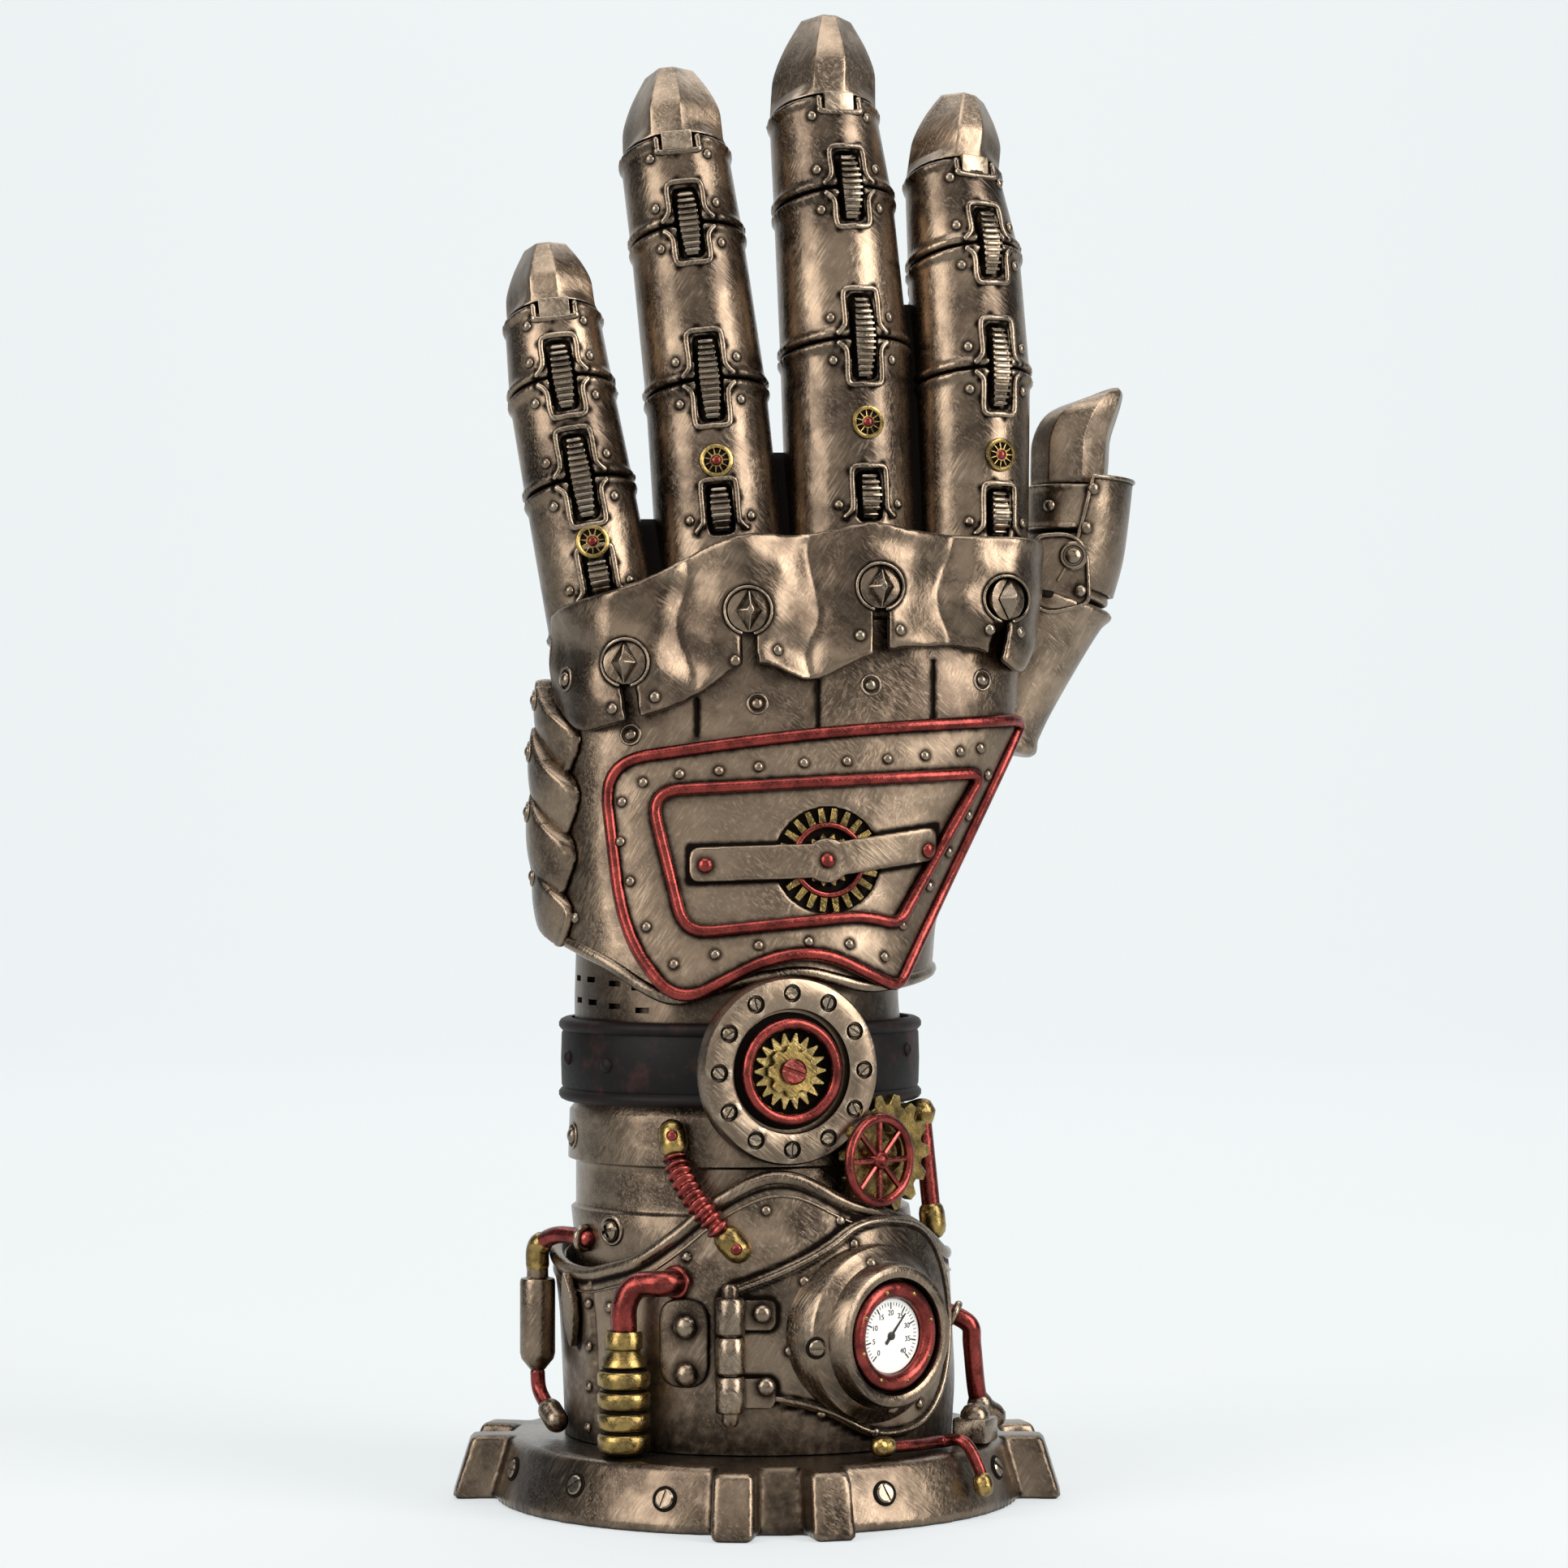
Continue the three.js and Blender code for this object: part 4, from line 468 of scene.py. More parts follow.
def sweep(name, path, radius, sides, loop=False):
    """A round rod along a path; radius is a number or a function of the share of the way."""
    path = np.asarray(path, float)
    count = len(path)
    tangent = np.roll(path, -1, 0) - np.roll(path, 1, 0) if loop else np.gradient(path, axis=0)
    tangent /= np.linalg.norm(tangent, axis=1)[:, None]
    side = np.cross(tangent[0], (0, 0, 1) if abs(tangent[0][2]) < 0.9 else (1, 0, 0))
    carried = []
    for direction in tangent:
        side = side - direction * np.dot(side, direction)
        side /= np.linalg.norm(side)
        carried.append(side)
    carried = np.array(carried)
    other = np.cross(tangent, carried)
    twist = np.zeros(count)
    if loop:
        last = carried[-1] - tangent[0] * np.dot(carried[-1], tangent[0])
        angle = math.atan2(np.dot(last, other[0]), np.dot(last, carried[0]))
        twist = -angle * np.arange(count) / count
    radii = [radius(i / (count - 1)) if callable(radius) else radius for i in range(count)]

    def ring(i, at, size):
        around = np.linspace(0, 2 * math.pi, sides, endpoint=False) + twist[i]
        return at + size * (np.cos(around)[:, None] * carried[i] + np.sin(around)[:, None] * other[i])

    rings = [ring(i, path[i], radii[i]) for i in range(count)]
    if not loop:
        dome = [math.radians(a) for a in (80, 52, 26)]
        first, last = radii[0], radii[-1]
        head = [ring(0, path[0] - tangent[0] * first * math.sin(a), first * math.cos(a)) for a in dome]
        foot = [ring(-1, path[-1] + tangent[-1] * last * math.sin(a), last * math.cos(a)) for a in dome]
        rings = head + rings + foot[::-1]
    return loft(name, rings, loop)


def ribbed(radius, swing, ribs):
    """A radius that swells and shrinks along the way."""
    return lambda share: radius + swing * math.cos(share * 2 * math.pi * ribs)


def rod(name, path, radius, sides, slot, *nodes, loop=False):
    """A finished rod along a path."""
    return finish(sweep(name, path, radius, sides, loop), name, slot, *nodes)


def rounded(corners):
    """An outline with arcs in place of its sharp corners."""
    outline = []
    count = len(corners)
    for i, (x, z, reach) in enumerate(corners):
        here = np.array((x, z), float)
        ends = []
        for other in (corners[i - 1], corners[(i + 1) % count]):
            side = np.array(other[:2], float) - here
            length = np.linalg.norm(side)
            ends.append(here + side / length * min(reach, length * 0.48))
        for t in np.linspace(0, 1, ARC_POINTS):
            outline.append((1 - t) ** 2 * ends[0] + 2 * t * (1 - t) * here + t * t * ends[1])
    return np.array(outline)


def spaced(outline, count):
    """Points at even distances round a closed outline."""
    closed = np.vstack([outline, outline[:1]])
    walked = np.concatenate([[0], np.cumsum(np.linalg.norm(np.diff(closed, axis=0), axis=1))])
    at = np.linspace(0, walked[-1], count, endpoint=False)
    return np.stack([np.interp(at, walked, closed[:, k]) for k in range(closed.shape[1])], -1)


def inset(outline, distance):
    """An outline moved in along its own normals."""
    ahead = np.roll(outline, -1, 0) - np.roll(outline, 1, 0)
    normal = np.stack([-ahead[:, 1], ahead[:, 0]], -1)
    normal /= np.linalg.norm(normal, axis=1)[:, None]
    area = np.sum(outline[:, 0] * np.roll(outline[:, 1], -1) - outline[:, 1] * np.roll(outline[:, 0], -1))
    return outline + normal * distance * (1 if area > 0 else -1)


def disc(x, z, radius, sides=40):
    around = np.linspace(0, 2 * math.pi, sides, endpoint=False)
    return np.stack([x + radius * np.cos(around), z + radius * np.sin(around)], -1)


def plate(name, outline, thickness, under=0.0):
    """A flat plate drawn across X and up Z, from its underside out along Y."""
    piece = mesh_piece(name, [(x, under, z) for x, z in outline], [list(range(len(outline)))])
    with editing(piece):
        bpy.ops.mesh.extrude_region_move(TRANSFORM_OT_translate={"value": (0, thickness * MM, 0)})
        bpy.ops.mesh.select_all(action="SELECT")
        bpy.ops.mesh.normals_make_consistent(inside=False)
    return piece


def gear(name, teeth, tip, root, thickness, land, foot, bore=0.0):
    """A toothed wheel lying flat on Z = 0; land and foot are shares of the pitch that a tooth takes up."""
    outline = []
    for tooth in range(teeth):
        for share, radius in ((-foot / 2, root), (-land / 2, tip), (land / 2, tip), (foot / 2, root)):
            a = 2 * math.pi * (tooth + share) / teeth
            outline.append((radius * math.cos(a), radius * math.sin(a)))
    piece = plate(name, outline, thickness)
    placed(piece, Matrix.Rotation(math.radians(90), 4, "X"))
    if bore:
        cut(piece, turned("bore", [(bore, -4), (bore, 4)], 32))
    low = read(piece)[:, 2].min()
    placed(piece, shift(0, 0, -low))
    return bevelled(outward(piece), 0.16, 1)


def added(name, add, **settings):
    """What one of the add operators makes, with nothing else selected."""
    bpy.ops.object.select_all(action="DESELECT")
    add(**settings)
    piece = bpy.context.active_object
    piece.name = name
    return piece


def box(name, size, place=Matrix()):
    piece = added(name, bpy.ops.mesh.primitive_cube_add, size=1)
    return placed(piece, place @ Matrix.Diagonal(Vector(size) * MM).to_4x4())


def ring_piece(name, radius, tube, segments, sides):
    return added(name, bpy.ops.mesh.primitive_torus_add, major_radius=radius * MM, minor_radius=tube * MM,
                 major_segments=segments, minor_segments=sides)


# Fasteners, modelled once about Z = 0 and copied
def rivet(radius, height, washer=0.0):
    """A domed head, with a raised ring round it where washer is its radius."""
    head = added("rivet", bpy.ops.mesh.primitive_uv_sphere_add, segments=14, ring_count=8, radius=radius * MM)
    placed(head, Matrix.Diagonal((1, 1, height / radius, 1)))
    with editing(head):
        bpy.ops.mesh.bisect(plane_co=(0, 0, -0.0001), plane_no=(0, 0, 1), clear_inner=True, use_fill=True)
    if not washer:
        return head
    return united("rivet", [head, ring_piece("washer", washer, 0.32, 20, 6)])


def screw(radius, height):
    """A flat head with one slot across it."""
    head = turned("screw", [(radius, -0.6), (radius, height * 0.6), (radius * 0.82, height)], 20)
    return cut(head, box("slot", (radius * 3, radius * 0.34, height * 0.9), shift(0, 0, height)))


def stand(at, out, spin=0.0):
    """A place on a surface: Z looks out of it, and the piece is spun about Z in degrees."""
    turn = Vector(out).to_track_quat("Z", "Y").to_matrix().to_4x4()
    return shift(*at) @ turn @ spun(spin)


def facing(angle, at, lift=0.0):
    """A level place that looks outwards at an angle round the arm: X sideways, Y up, Z out."""
    f = math.radians(angle)
    out = Vector((math.sin(f), -math.cos(f), 0))
    side = Vector((math.cos(f), math.sin(f), 0))
    place = Matrix((side, Vector((0, 0, 1)), out)).transposed().to_4x4()
    place.translation = (Vector(at) + out * lift) * MM
    return place


class Skin:
    """The outer surface of an upright form, worked out from its cross-sections."""

    def __init__(self, rows, turn, blend=0.0):
        self.turn = turn
        rows = np.array(rows, float)
        self.z = np.linspace(rows[0, 0], rows[-1, 0], 400)
        spread = np.linspace(-blend, blend, 9) if blend else [0.0]
        self.columns = [np.mean([np.interp(self.z + s, rows[:, 0], rows[:, k]) for s in spread], axis=0)
                        for k in range(1, 6)]

    def point(self, angle, z, lift=0.0):
        x, y, rx, ry, square = (np.interp(z, self.z, column) for column in self.columns)
        a = np.radians(np.asarray(angle, float) - self.turn)
        power = 2 / square
        across = np.sign(np.sin(a)) * np.abs(np.sin(a)) ** power * (rx + lift)
        ahead = np.sign(np.cos(a)) * np.abs(np.cos(a)) ** power * (ry + lift)
        c, s = math.cos(math.radians(self.turn)), math.sin(math.radians(self.turn))
        return np.stack(np.broadcast_arrays(across * c + ahead * s + x, across * s - ahead * c + y, z), -1)

    def seen(self, across, z, lift=0.0, facing=0.0):
        """The points found at a place across and up, looking square on from an angle round the form."""
        across, z, lift = np.broadcast_arrays(*(np.asarray(v, float) for v in (across, z, lift)))
        f = math.radians(facing)
        low = np.full(across.shape, facing + self.turn - 85.0)
        high = np.full(across.shape, facing + self.turn + 85.0)
        for _ in range(28):
            middle = (low + high) / 2
            at = self.point(middle, z, lift)
            short = at[..., 0] * math.cos(f) + at[..., 1] * math.sin(f) < across
            low, high = np.where(short, middle, low), np.where(short, high, middle)
        return self.point((low + high) / 2, z, lift)

    def place(self, across, z, lift):
        """A place on the surface, as seen from the front, whose Z looks straight out of it."""
        at, right, above = (self.seen(across + u, z + v, lift) for u, v in ((0, 0), (0.5, 0), (0, 0.5)))
        return stand(at, Vector(right - at).cross(Vector(above - at)))

    def wrapped(self, piece, lift, facing=0.0):
        """Bends a flat plate round the surface; lift gives the height of a point over it."""
        across, out, up = read(piece).T
        write(piece, self.seen(across, up, lift(across, out, up), facing))
        return outward(piece)


def edge_height(table, angle):
    table = np.array(table, float)
    return np.mean([np.interp((np.asarray(angle) + s + 180) % 360 - 180, table[:, 0], table[:, 1])
                    for s in np.linspace(-5, 5, 7)], axis=0)


cuff_skin = Skin(CUFF_ROWS, 0, 4)
bracer_skin = Skin(BRACER_ROWS, 8)
strap_skin = Skin(STRAP_ROWS, 9)
sleeve_skin = Skin(SLEEVE_ROWS, 10, 3)
hand_skin = Skin(HAND_ROWS, 12, 7)


def darken_round(piece, spots, reach, depth=1.0):
    """Darkens a piece round the given points, painting shade and grime that fade over the reach."""
    points = read(piece)
    layers = piece.data.attributes
    layer = layers.get("grime_and_shade") or layers.new("grime_and_shade", "FLOAT", "POINT")
    values = np.zeros(len(points))
    layer.data.foreach_get("value", values)
    for spot in spots:
        away = np.linalg.norm(points - np.asarray(spot, float), axis=1)
        values = np.maximum(values, depth * np.clip(1 - away / reach, 0, 1))
    layer.data.foreach_set("value", values)


class Ground:
    """The surfaces that small pieces are set on, as seen from the front or from any point."""

    def __init__(self, *pieces):
        self.pieces = pieces
        points, faces = [], []
        for piece in pieces:
            base = len(points)
            points += [v.co.copy() for v in piece.data.vertices]
            faces += [[base + i for i in p.vertices] for p in piece.data.polygons]
        self.tree = BVHTree.FromPolygons(points, faces)

    def hit(self, origin, direction):
        at, out, _, _ = self.tree.ray_cast(Vector(origin) * MM, Vector(direction).normalized())
        if at is None:
            raise RuntimeError(f"nothing lies at {tuple(origin)} along {tuple(direction)}")
        return at / MM, out

    def seen(self, across, down, spin=0.0):
        """The place that shows at a pixel of the front picture."""
        half = PICTURE / 2
        direction = Vector(((across - half) / FOCAL, 1, (half - down) / FOCAL))
        at, out = self.hit(EYE, direction)
        return stand(at, out, spin)


def darken_round_places(ground, places, reach):
    for piece in ground.pieces:
        darken_round(piece, [place.translation / MM for place in places], reach)


def riveted(name, ground, places, radius, height, washer=0.0, slot="bronze"):
    """Rivets at places on the ground, with grime and painted shade round each."""
    darken_round_places(ground, places, max(radius * 2.3, washer + 1.2))
    material = "fastener" if slot == "bronze" else slot
    return finish(copies(name, rivet(radius, height, washer), places), name, slot, material=material)


def rivets(name, ground, radius, height, washer=0.0, slot="bronze"):
    return riveted(name, ground, [ground.seen(*spot) for spot in SEEN_AT[name]], radius, height, washer, slot)


def screws(name, ground, radius, height):
    """Slotted screws with grime and painted shade round each, sitting in dark rings of painted shade, each
    turned further than the one before.
    """
    places = [ground.seen(x, y, 37 * i) for i, (x, y) in enumerate(SEEN_AT[name])]
    darken_round_places(ground, places, radius * 1.9)
    # A dark ring of painted shade round each screw head
    pits = copies("pits", ring_piece("pit", radius + 0.3, 0.34, 24, 8), places)
    finish(pits, f"{name}_pits", "bronze", material="painted_shade")
    return finish(copies(name, screw(radius, height), places), name, "bronze", material="fastener", sharp=35)


# Finishes
class Value:
    """A shader value that takes part in sums; each sum adds its Math node."""

    def __init__(self, finish_nodes, socket):
        self.nodes = finish_nodes
        self.socket = socket

    def math(self, operation, first, second):
        return self.nodes.add("ShaderNodeMath", {"operation": operation}, {0: first, 1: second})

    def __add__(self, other):
        return self.math("ADD", self, other)

    def __sub__(self, other):
        return self.math("SUBTRACT", self, other)

    def __rsub__(self, other):
        return self.math("SUBTRACT", other, self)

    def __mul__(self, other):
        return self.math("MULTIPLY", self, other)

    __radd__ = __add__
    __rmul__ = __mul__


class FinishNodes:
    """The nodes of one finish round a single shader."""

    def __init__(self, name, **fixed):
        self.material = bpy.data.materials.new(name)
        self.material.use_nodes = True
        self.tree = self.material.node_tree
        self.shader = self.tree.nodes["Principled BSDF"]
        for key, value in fixed.items():
            self.shader.inputs[key.replace("_", " ").title().replace("Ior", "IOR")].default_value = value

    def add(self, kind, settings, sockets, output=0):
        node = self.tree.nodes.new(kind)
        for key, value in settings.items():
            setattr(node, key, value)
        for key, value in sockets.items():
            self.join(node.inputs[key], value)
        return Value(self, node.outputs[output])

    def join(self, socket, value):
        if isinstance(value, Value):
            self.tree.links.new(value.socket, socket)
        else:
            socket.default_value = (*value, 1) if socket.type == "RGBA" and len(value) == 3 else value

    def feed(self, **inputs):
        for key, value in inputs.items():
            self.join(self.shader.inputs[key.replace("_", " ").title()], value)
        return self.material

    def mix(self, share, first, second):
        return self.add("ShaderNodeMix", {"data_type": "RGBA"}, {0: share, 6: first, 7: second}, 2)

    def between(self, value, low, high):
        return self.add("ShaderNodeMapRange", {"interpolation_type": "SMOOTHSTEP"},
                        {0: value, 1: low, 2: high, 3: 0.0, 4: 1.0})

    def coordinates(self, stretch=(1, 1, 1), turn=(0, 0, 0)):
        place = self.add("ShaderNodeTexCoord", {}, {}, "Object")
        return self.add("ShaderNodeMapping", {"vector_type": "TEXTURE"},
                        {"Vector": place, "Rotation": turn, "Scale": stretch})

    def noise(self, size, detail=3.0, rough=0.55, stretch=(1, 1, 1), turn=(0, 0, 0), swirl=0.0):
        """A cloudy pattern whose blotches are about size millimetres across, drawn out by the stretch."""
        return self.add("ShaderNodeTexNoise", {},
                        {"Vector": self.coordinates(stretch, turn), "Scale": 1000 / size, "Detail": detail,
                         "Roughness": rough, "Distortion": swirl})

    def crevice(self, reach, low, high):
        """1 in corners and recesses, darkened as patina and painted shade, and in the grime and painted shade
        round fasteners and raised parts; 0 in the open.
        """
        # Ambient occlusion paints shade into corners and recesses, and also stands for the patina in them
        open_share = self.add("ShaderNodeAmbientOcclusion", {"samples": 4}, {"Distance": reach * MM}, "AO")
        grime_and_shade = self.add("ShaderNodeAttribute", {"attribute_name": "grime_and_shade"}, {}, "Fac")
        speckle = self.noise(1.6, 3)
        around = self.between(grime_and_shade + speckle * 0.3, 0.3, 0.85)
        patina_and_shade = 1 - self.between(open_share, low, high)
        return patina_and_shade.math("MAXIMUM", patina_and_shade, around)

    def ridge(self, low, high):
        """1 along worn edges."""
        sharp = self.add("ShaderNodeNewGeometry", {}, {}, "Pointiness")
        return self.between(sharp, low, high)

    def bump(self, height, strength, distance):
        return self.add("ShaderNodeBump", {},
                        {"Height": height, "Strength": strength, "Distance": distance * MM})


FINISHES = {}


def metal_finish(name, dark, middle, light, grime_and_shade, rough, crevice, patch, wear, brush):
    """Cast metal: cloudy patina, patches of brush strokes, bright worn edges, and dark patina, grime and
    painted shade in recesses and round raised parts.
    """
    nodes = FinishNodes(name, metallic=1.0, coat_roughness=0.3)
    clouds = nodes.between(nodes.noise(patch, 5, 0.62), 0.36, 0.64)
    here = nodes.between(nodes.noise(patch * 0.5, 3, 0.55), 0.42, 0.6)
    strokes = nodes.noise(0.5, 4, 0.65, (1, 1, 16), (0.25, 0.5, 0.3), 0.6)
    across = nodes.noise(0.45, 4, 0.65, (14, 1, 1), (0.3, 0.7, 0.5), 0.6)
    brushed = nodes.between(strokes, 0.4, 0.75) * here + nodes.between(across, 0.4, 0.75) * (1 - here)
    # Patina and painted shade darken the recesses; grime and painted shade darken round raised parts
    patina_and_shade = nodes.crevice(*crevice)
    edge = nodes.ridge(0.52, 0.62)
    body = nodes.mix(clouds, dark, middle)
    worn = nodes.mix(nodes.between(edge * wear + brushed * brush, 0.0, 1.0), body, light)
    colour = nodes.mix(patina_and_shade, worn, grime_and_shade)
    uneven = nodes.noise(8.0, 2, 0.5)
    relief = nodes.bump(uneven + nodes.noise(2.2, 3, 0.6) * 0.14 + brushed * 0.05, 0.6, 0.6)
    return nodes.feed(base_color=colour, roughness=rough + patina_and_shade * 0.3 + brushed * 0.12 - edge * 0.04,
                      coat_weight=0.12 - patina_and_shade * 0.12, normal=relief)


def leather_finish(name, dark, worn):
    nodes = FinishNodes(name, specular_ior_level=0.15)
    patches = nodes.between(nodes.noise(9, 5, 0.65), 0.5, 0.72)
    edge = nodes.ridge(0.52, 0.62)
    shade = nodes.mix(patches * 0.8 + edge * 0.5, dark, worn)
    # Painted shade and grime in the strap's creases and round its studs
    colour = nodes.mix(nodes.crevice(2.0, 0.25, 0.7), shade, (0.003, 0.002, 0.002))
    grain = nodes.noise(0.9, 3, 0.6)
    return nodes.feed(base_color=colour, roughness=0.42 + grain * 0.2, normal=nodes.bump(grain, 0.3, 0.12))


def plain_finish(name, colour, roughness, shine=0.5):
    nodes = FinishNodes(name, roughness=roughness, specular_ior_level=shine)
    specks = nodes.noise(0.8, 2)
    shade = tuple(c * 0.92 for c in colour)
    return nodes.feed(base_color=nodes.mix(specks, shade, colour))


def colour_setting(name, description, default):
    return FloatVectorProperty(name=name, description=description, subtype="COLOR", size=3, min=0, max=1,
                               default=default)


def length_setting(name, description, default, low, high):
    return FloatProperty(name=name, description=f"{description}, in millimetres",
                         default=default, min=low, max=high)


class GauntletFinishes(bpy.types.PropertyGroup):
    """The colours of the gauntlet."""

    bronze_dark: colour_setting("Bronze patina", "Colour of the darkened bronze", (0.052, 0.036, 0.025))
    bronze: colour_setting("Bronze", "Colour of the open bronze", (0.212, 0.156, 0.109))
    bronze_worn: colour_setting("Worn bronze", "Colour of the brushed high spots", (0.47, 0.385, 0.29))
    red: colour_setting("Red", "Colour of the red metallic paint", (0.25, 0.04, 0.033))
    brass: colour_setting("Brass", "Colour of the brass fittings", (0.35, 0.235, 0.075))
    leather: colour_setting("Leather", "Colour of the strap", (0.004, 0.003, 0.0028))
    dial: colour_setting("Dial", "Colour of the gauge's face", (0.84, 0.84, 0.8))
    # Colour of the grime and of the painted shade in recesses, round raised parts and on the dark shade
    # pieces
    grime_and_shade: colour_setting("Grime and shade", "Colour of the dark recesses", (0.007, 0.005, 0.004))


class GauntletSizes(bpy.types.PropertyGroup):
    """The sizes of the small details."""

    rivet: length_setting("Rivet radius", "Half width of the small rivets", 1.1, 0.4, 2)
    joint_bead: length_setting("Joint bead", "How far the joints' raised edges stand out", 0.75, 0, 1.5)
    frame_rod: length_setting("Slot frame", "Half width of the knuckle slots' raised frames", 0.7, 0.2, 1)
    panel_trim: length_setting("Panel trim", "Half width of the red trim round the back panel", 1.3, 0.5, 2)
    fine: length_setting("Fineness", "Size of the small faces on the cast pieces", 0.6, 0.3, 1.5)
    knuckle_teeth: length_setting("Knuckle pitch", "Distance between the knuckle slots' teeth", 1.22, 0.6, 2)
    medallion_screws: IntProperty(
        name="Medallion screws", description="Screws round the wrist medallion", default=12, min=3, max=24)


def sizes():
    return bpy.context.scene.gauntlet_sizes


class GAUNTLET_OT_finishes(bpy.types.Operator):
    """Make the aged bronze, red paint, brass, leather and dial finishes"""

    bl_idname = "gauntlet.finishes"
    bl_label = "Finishes"

    def execute(self, context):
        c = context.scene.gauntlet_finishes
        grime_and_shade = tuple(c.grime_and_shade)

        def shade(colour, factor):
            return tuple(min(1, part * factor) for part in colour)

        # How far the crevices' patina and painted shade reach in millimetres, and the open shares between
        # which they fade
        cast, stand_cast = (1.6, 0.2, 0.66), (1.4, 0.15, 0.6)
        painted, fitting = (1.2, 0.25, 0.8), (0.9, 0.2, 0.65)
        dark, middle, worn, red, brass = map(tuple, (c.bronze_dark, c.bronze, c.bronze_worn, c.red, c.brass))
        # Dark, middle and light colour, roughness, crevices (patina and painted shade), size of the patches,
        # worn edges, brush strokes
        metals = {
            "bronze": ("aged_bronze", dark, middle, worn, 0.24, cast, 20, 0.5, 0.38),
            "guard": ("bronze_polished", shade(dark, 1.2), shade(middle, 0.95), worn,
                      0.25, cast, 14, 0.5, 0.3),
            # tip and cuff are lit copies of the bronze: their lighter open colour paints the light that falls
            # on the fingertips, the thumb and the cuff's upper front
            "tip": ("bronze_tips", shade(middle, 0.6), shade(middle, 1.35), worn, 0.31, cast, 10, 0.5, 0.6),
            "cuff": ("bronze_cuff", shade(dark, 1.3), shade(middle, 1.35), worn, 0.31, cast, 17, 0.5, 0.5),
            "panel": ("bronze_brushed", shade(middle, 0.66), shade(middle, 1.12), worn,
                      0.28, cast, 30, 0.5, 0.45),
            "stand": ("bronze_stand", dark, shade(middle, 0.9), worn, 0.27, stand_cast, 16, 0.3, 0.38),
            "fastener": ("bronze_fastener", shade(middle, 0.8), shade(worn, 0.45), shade(worn, 0.9),
                         0.22, cast, 6, 0.2, 0.3),
            "dark_bronze": ("dark_bronze", shade(dark, 0.7), shade(middle, 0.6), shade(worn, 0.7),
                            0.3, cast, 20, 0.5, 0.3),
            "red_enamel": ("red_paint", shade(red, 0.4), red, (0.52, 0.18, 0.14),
                           0.24, painted, 5, 0.25, 0.25),
            "brass": ("old_brass", shade(brass, 0.25), brass, (0.6, 0.45, 0.18),
                      0.25, fitting, 4, 0.35, 0.25),
        }
        for key, (name, low, open_metal, high, rough, crevice, *wear) in metals.items():
            FINISHES[key] = metal_finish(name, low, open_metal, high, grime_and_shade, rough, crevice, *wear)
        FINISHES["leather"] = leather_finish("strap_leather", tuple(c.leather), (0.035, 0.013, 0.01))
        FINISHES["dial"] = plain_finish("dial_white", tuple(c.dial), 0.32)
        FINISHES["ink"] = plain_finish("dial_ink", (0.012, 0.012, 0.012), 0.5)
        # A flat near-black finish for pieces that paint shade: round screws, in the gear window, the
        # medallion's well, the thumb's hole, under the flower gears and between the fingers
        FINISHES["painted_shade"] = plain_finish("painted_shade", grime_and_shade, 0.7, 0.05)
        return {"FINISHED"}


class GAUNTLET_OT_base(bpy.types.Operator):
    """Make the gear stand and its rim screws"""

    bl_idname = "gauntlet.base"
    bl_label = "Gear stand"

    def wall(self, turns, radius, lean, steps):
        """Points up the stand's leaning wall at each of the turns."""
        return [((radius - z * lean) * math.cos(a), (radius - z * lean) * math.sin(a), z)
                for a in np.radians(turns) for z in np.linspace(0, 12.5, steps)]

    def execute(self, context):
        stand_disc = turned("gear_base", STAND_PROFILE, 144)
        half_high = TOOTH_SIZE[2] / 2
        tooth = box("tooth", TOOTH_SIZE, shift(TOOTH_MIDDLE, 0, half_high))
        points = read(tooth)
        top = points[:, 2] > half_high
        outer = points[:, 0] > TOOTH_MIDDLE
        points[outer & top, 0] = TOOTH_REACH_TOP
        points[top, 1] *= TOOTH_TAPER
        points[outer & ~top, 0] = TOOTH_REACH_FOOT
        write(tooth, points)
        bevelled(tooth, 0.9, 2)
        turns = [middle + side * TOOTH_SPREAD for middle in PAIR_MIDDLES for side in (-1, 1)]
        teeth = copies("teeth", tooth, [spun(a) for a in turns])
        applied(stand_disc, "BOOLEAN", object=teeth, operation="UNION", solver="EXACT")
        bpy.data.objects.remove(teeth)
        piece = softened(stand_disc, 0.8, 4)
        finish(piece, "gear_base_cast", "bronze", "gear_base", material="stand")
        # Painted shade in the corners where the teeth meet the rim, and painted shadow on the wall beside
        # each pair of teeth
        corners = [turn + side * 4.9 for turn in turns for side in (-1, 1)]
        darken_round(piece, self.wall(corners, 54, 0.3, 12), 1.5, 0.9)
        gaps = [middle + side for middle in PAIR_MIDDLES for side in np.linspace(-4, 4, 19)]
        darken_round(piece, self.wall(gaps, 53.7, 0.25, 30), 2.6, 0.5)
        screws("stand_screws", Ground(piece), 1.9, 0.7)
        return {"FINISHED"}


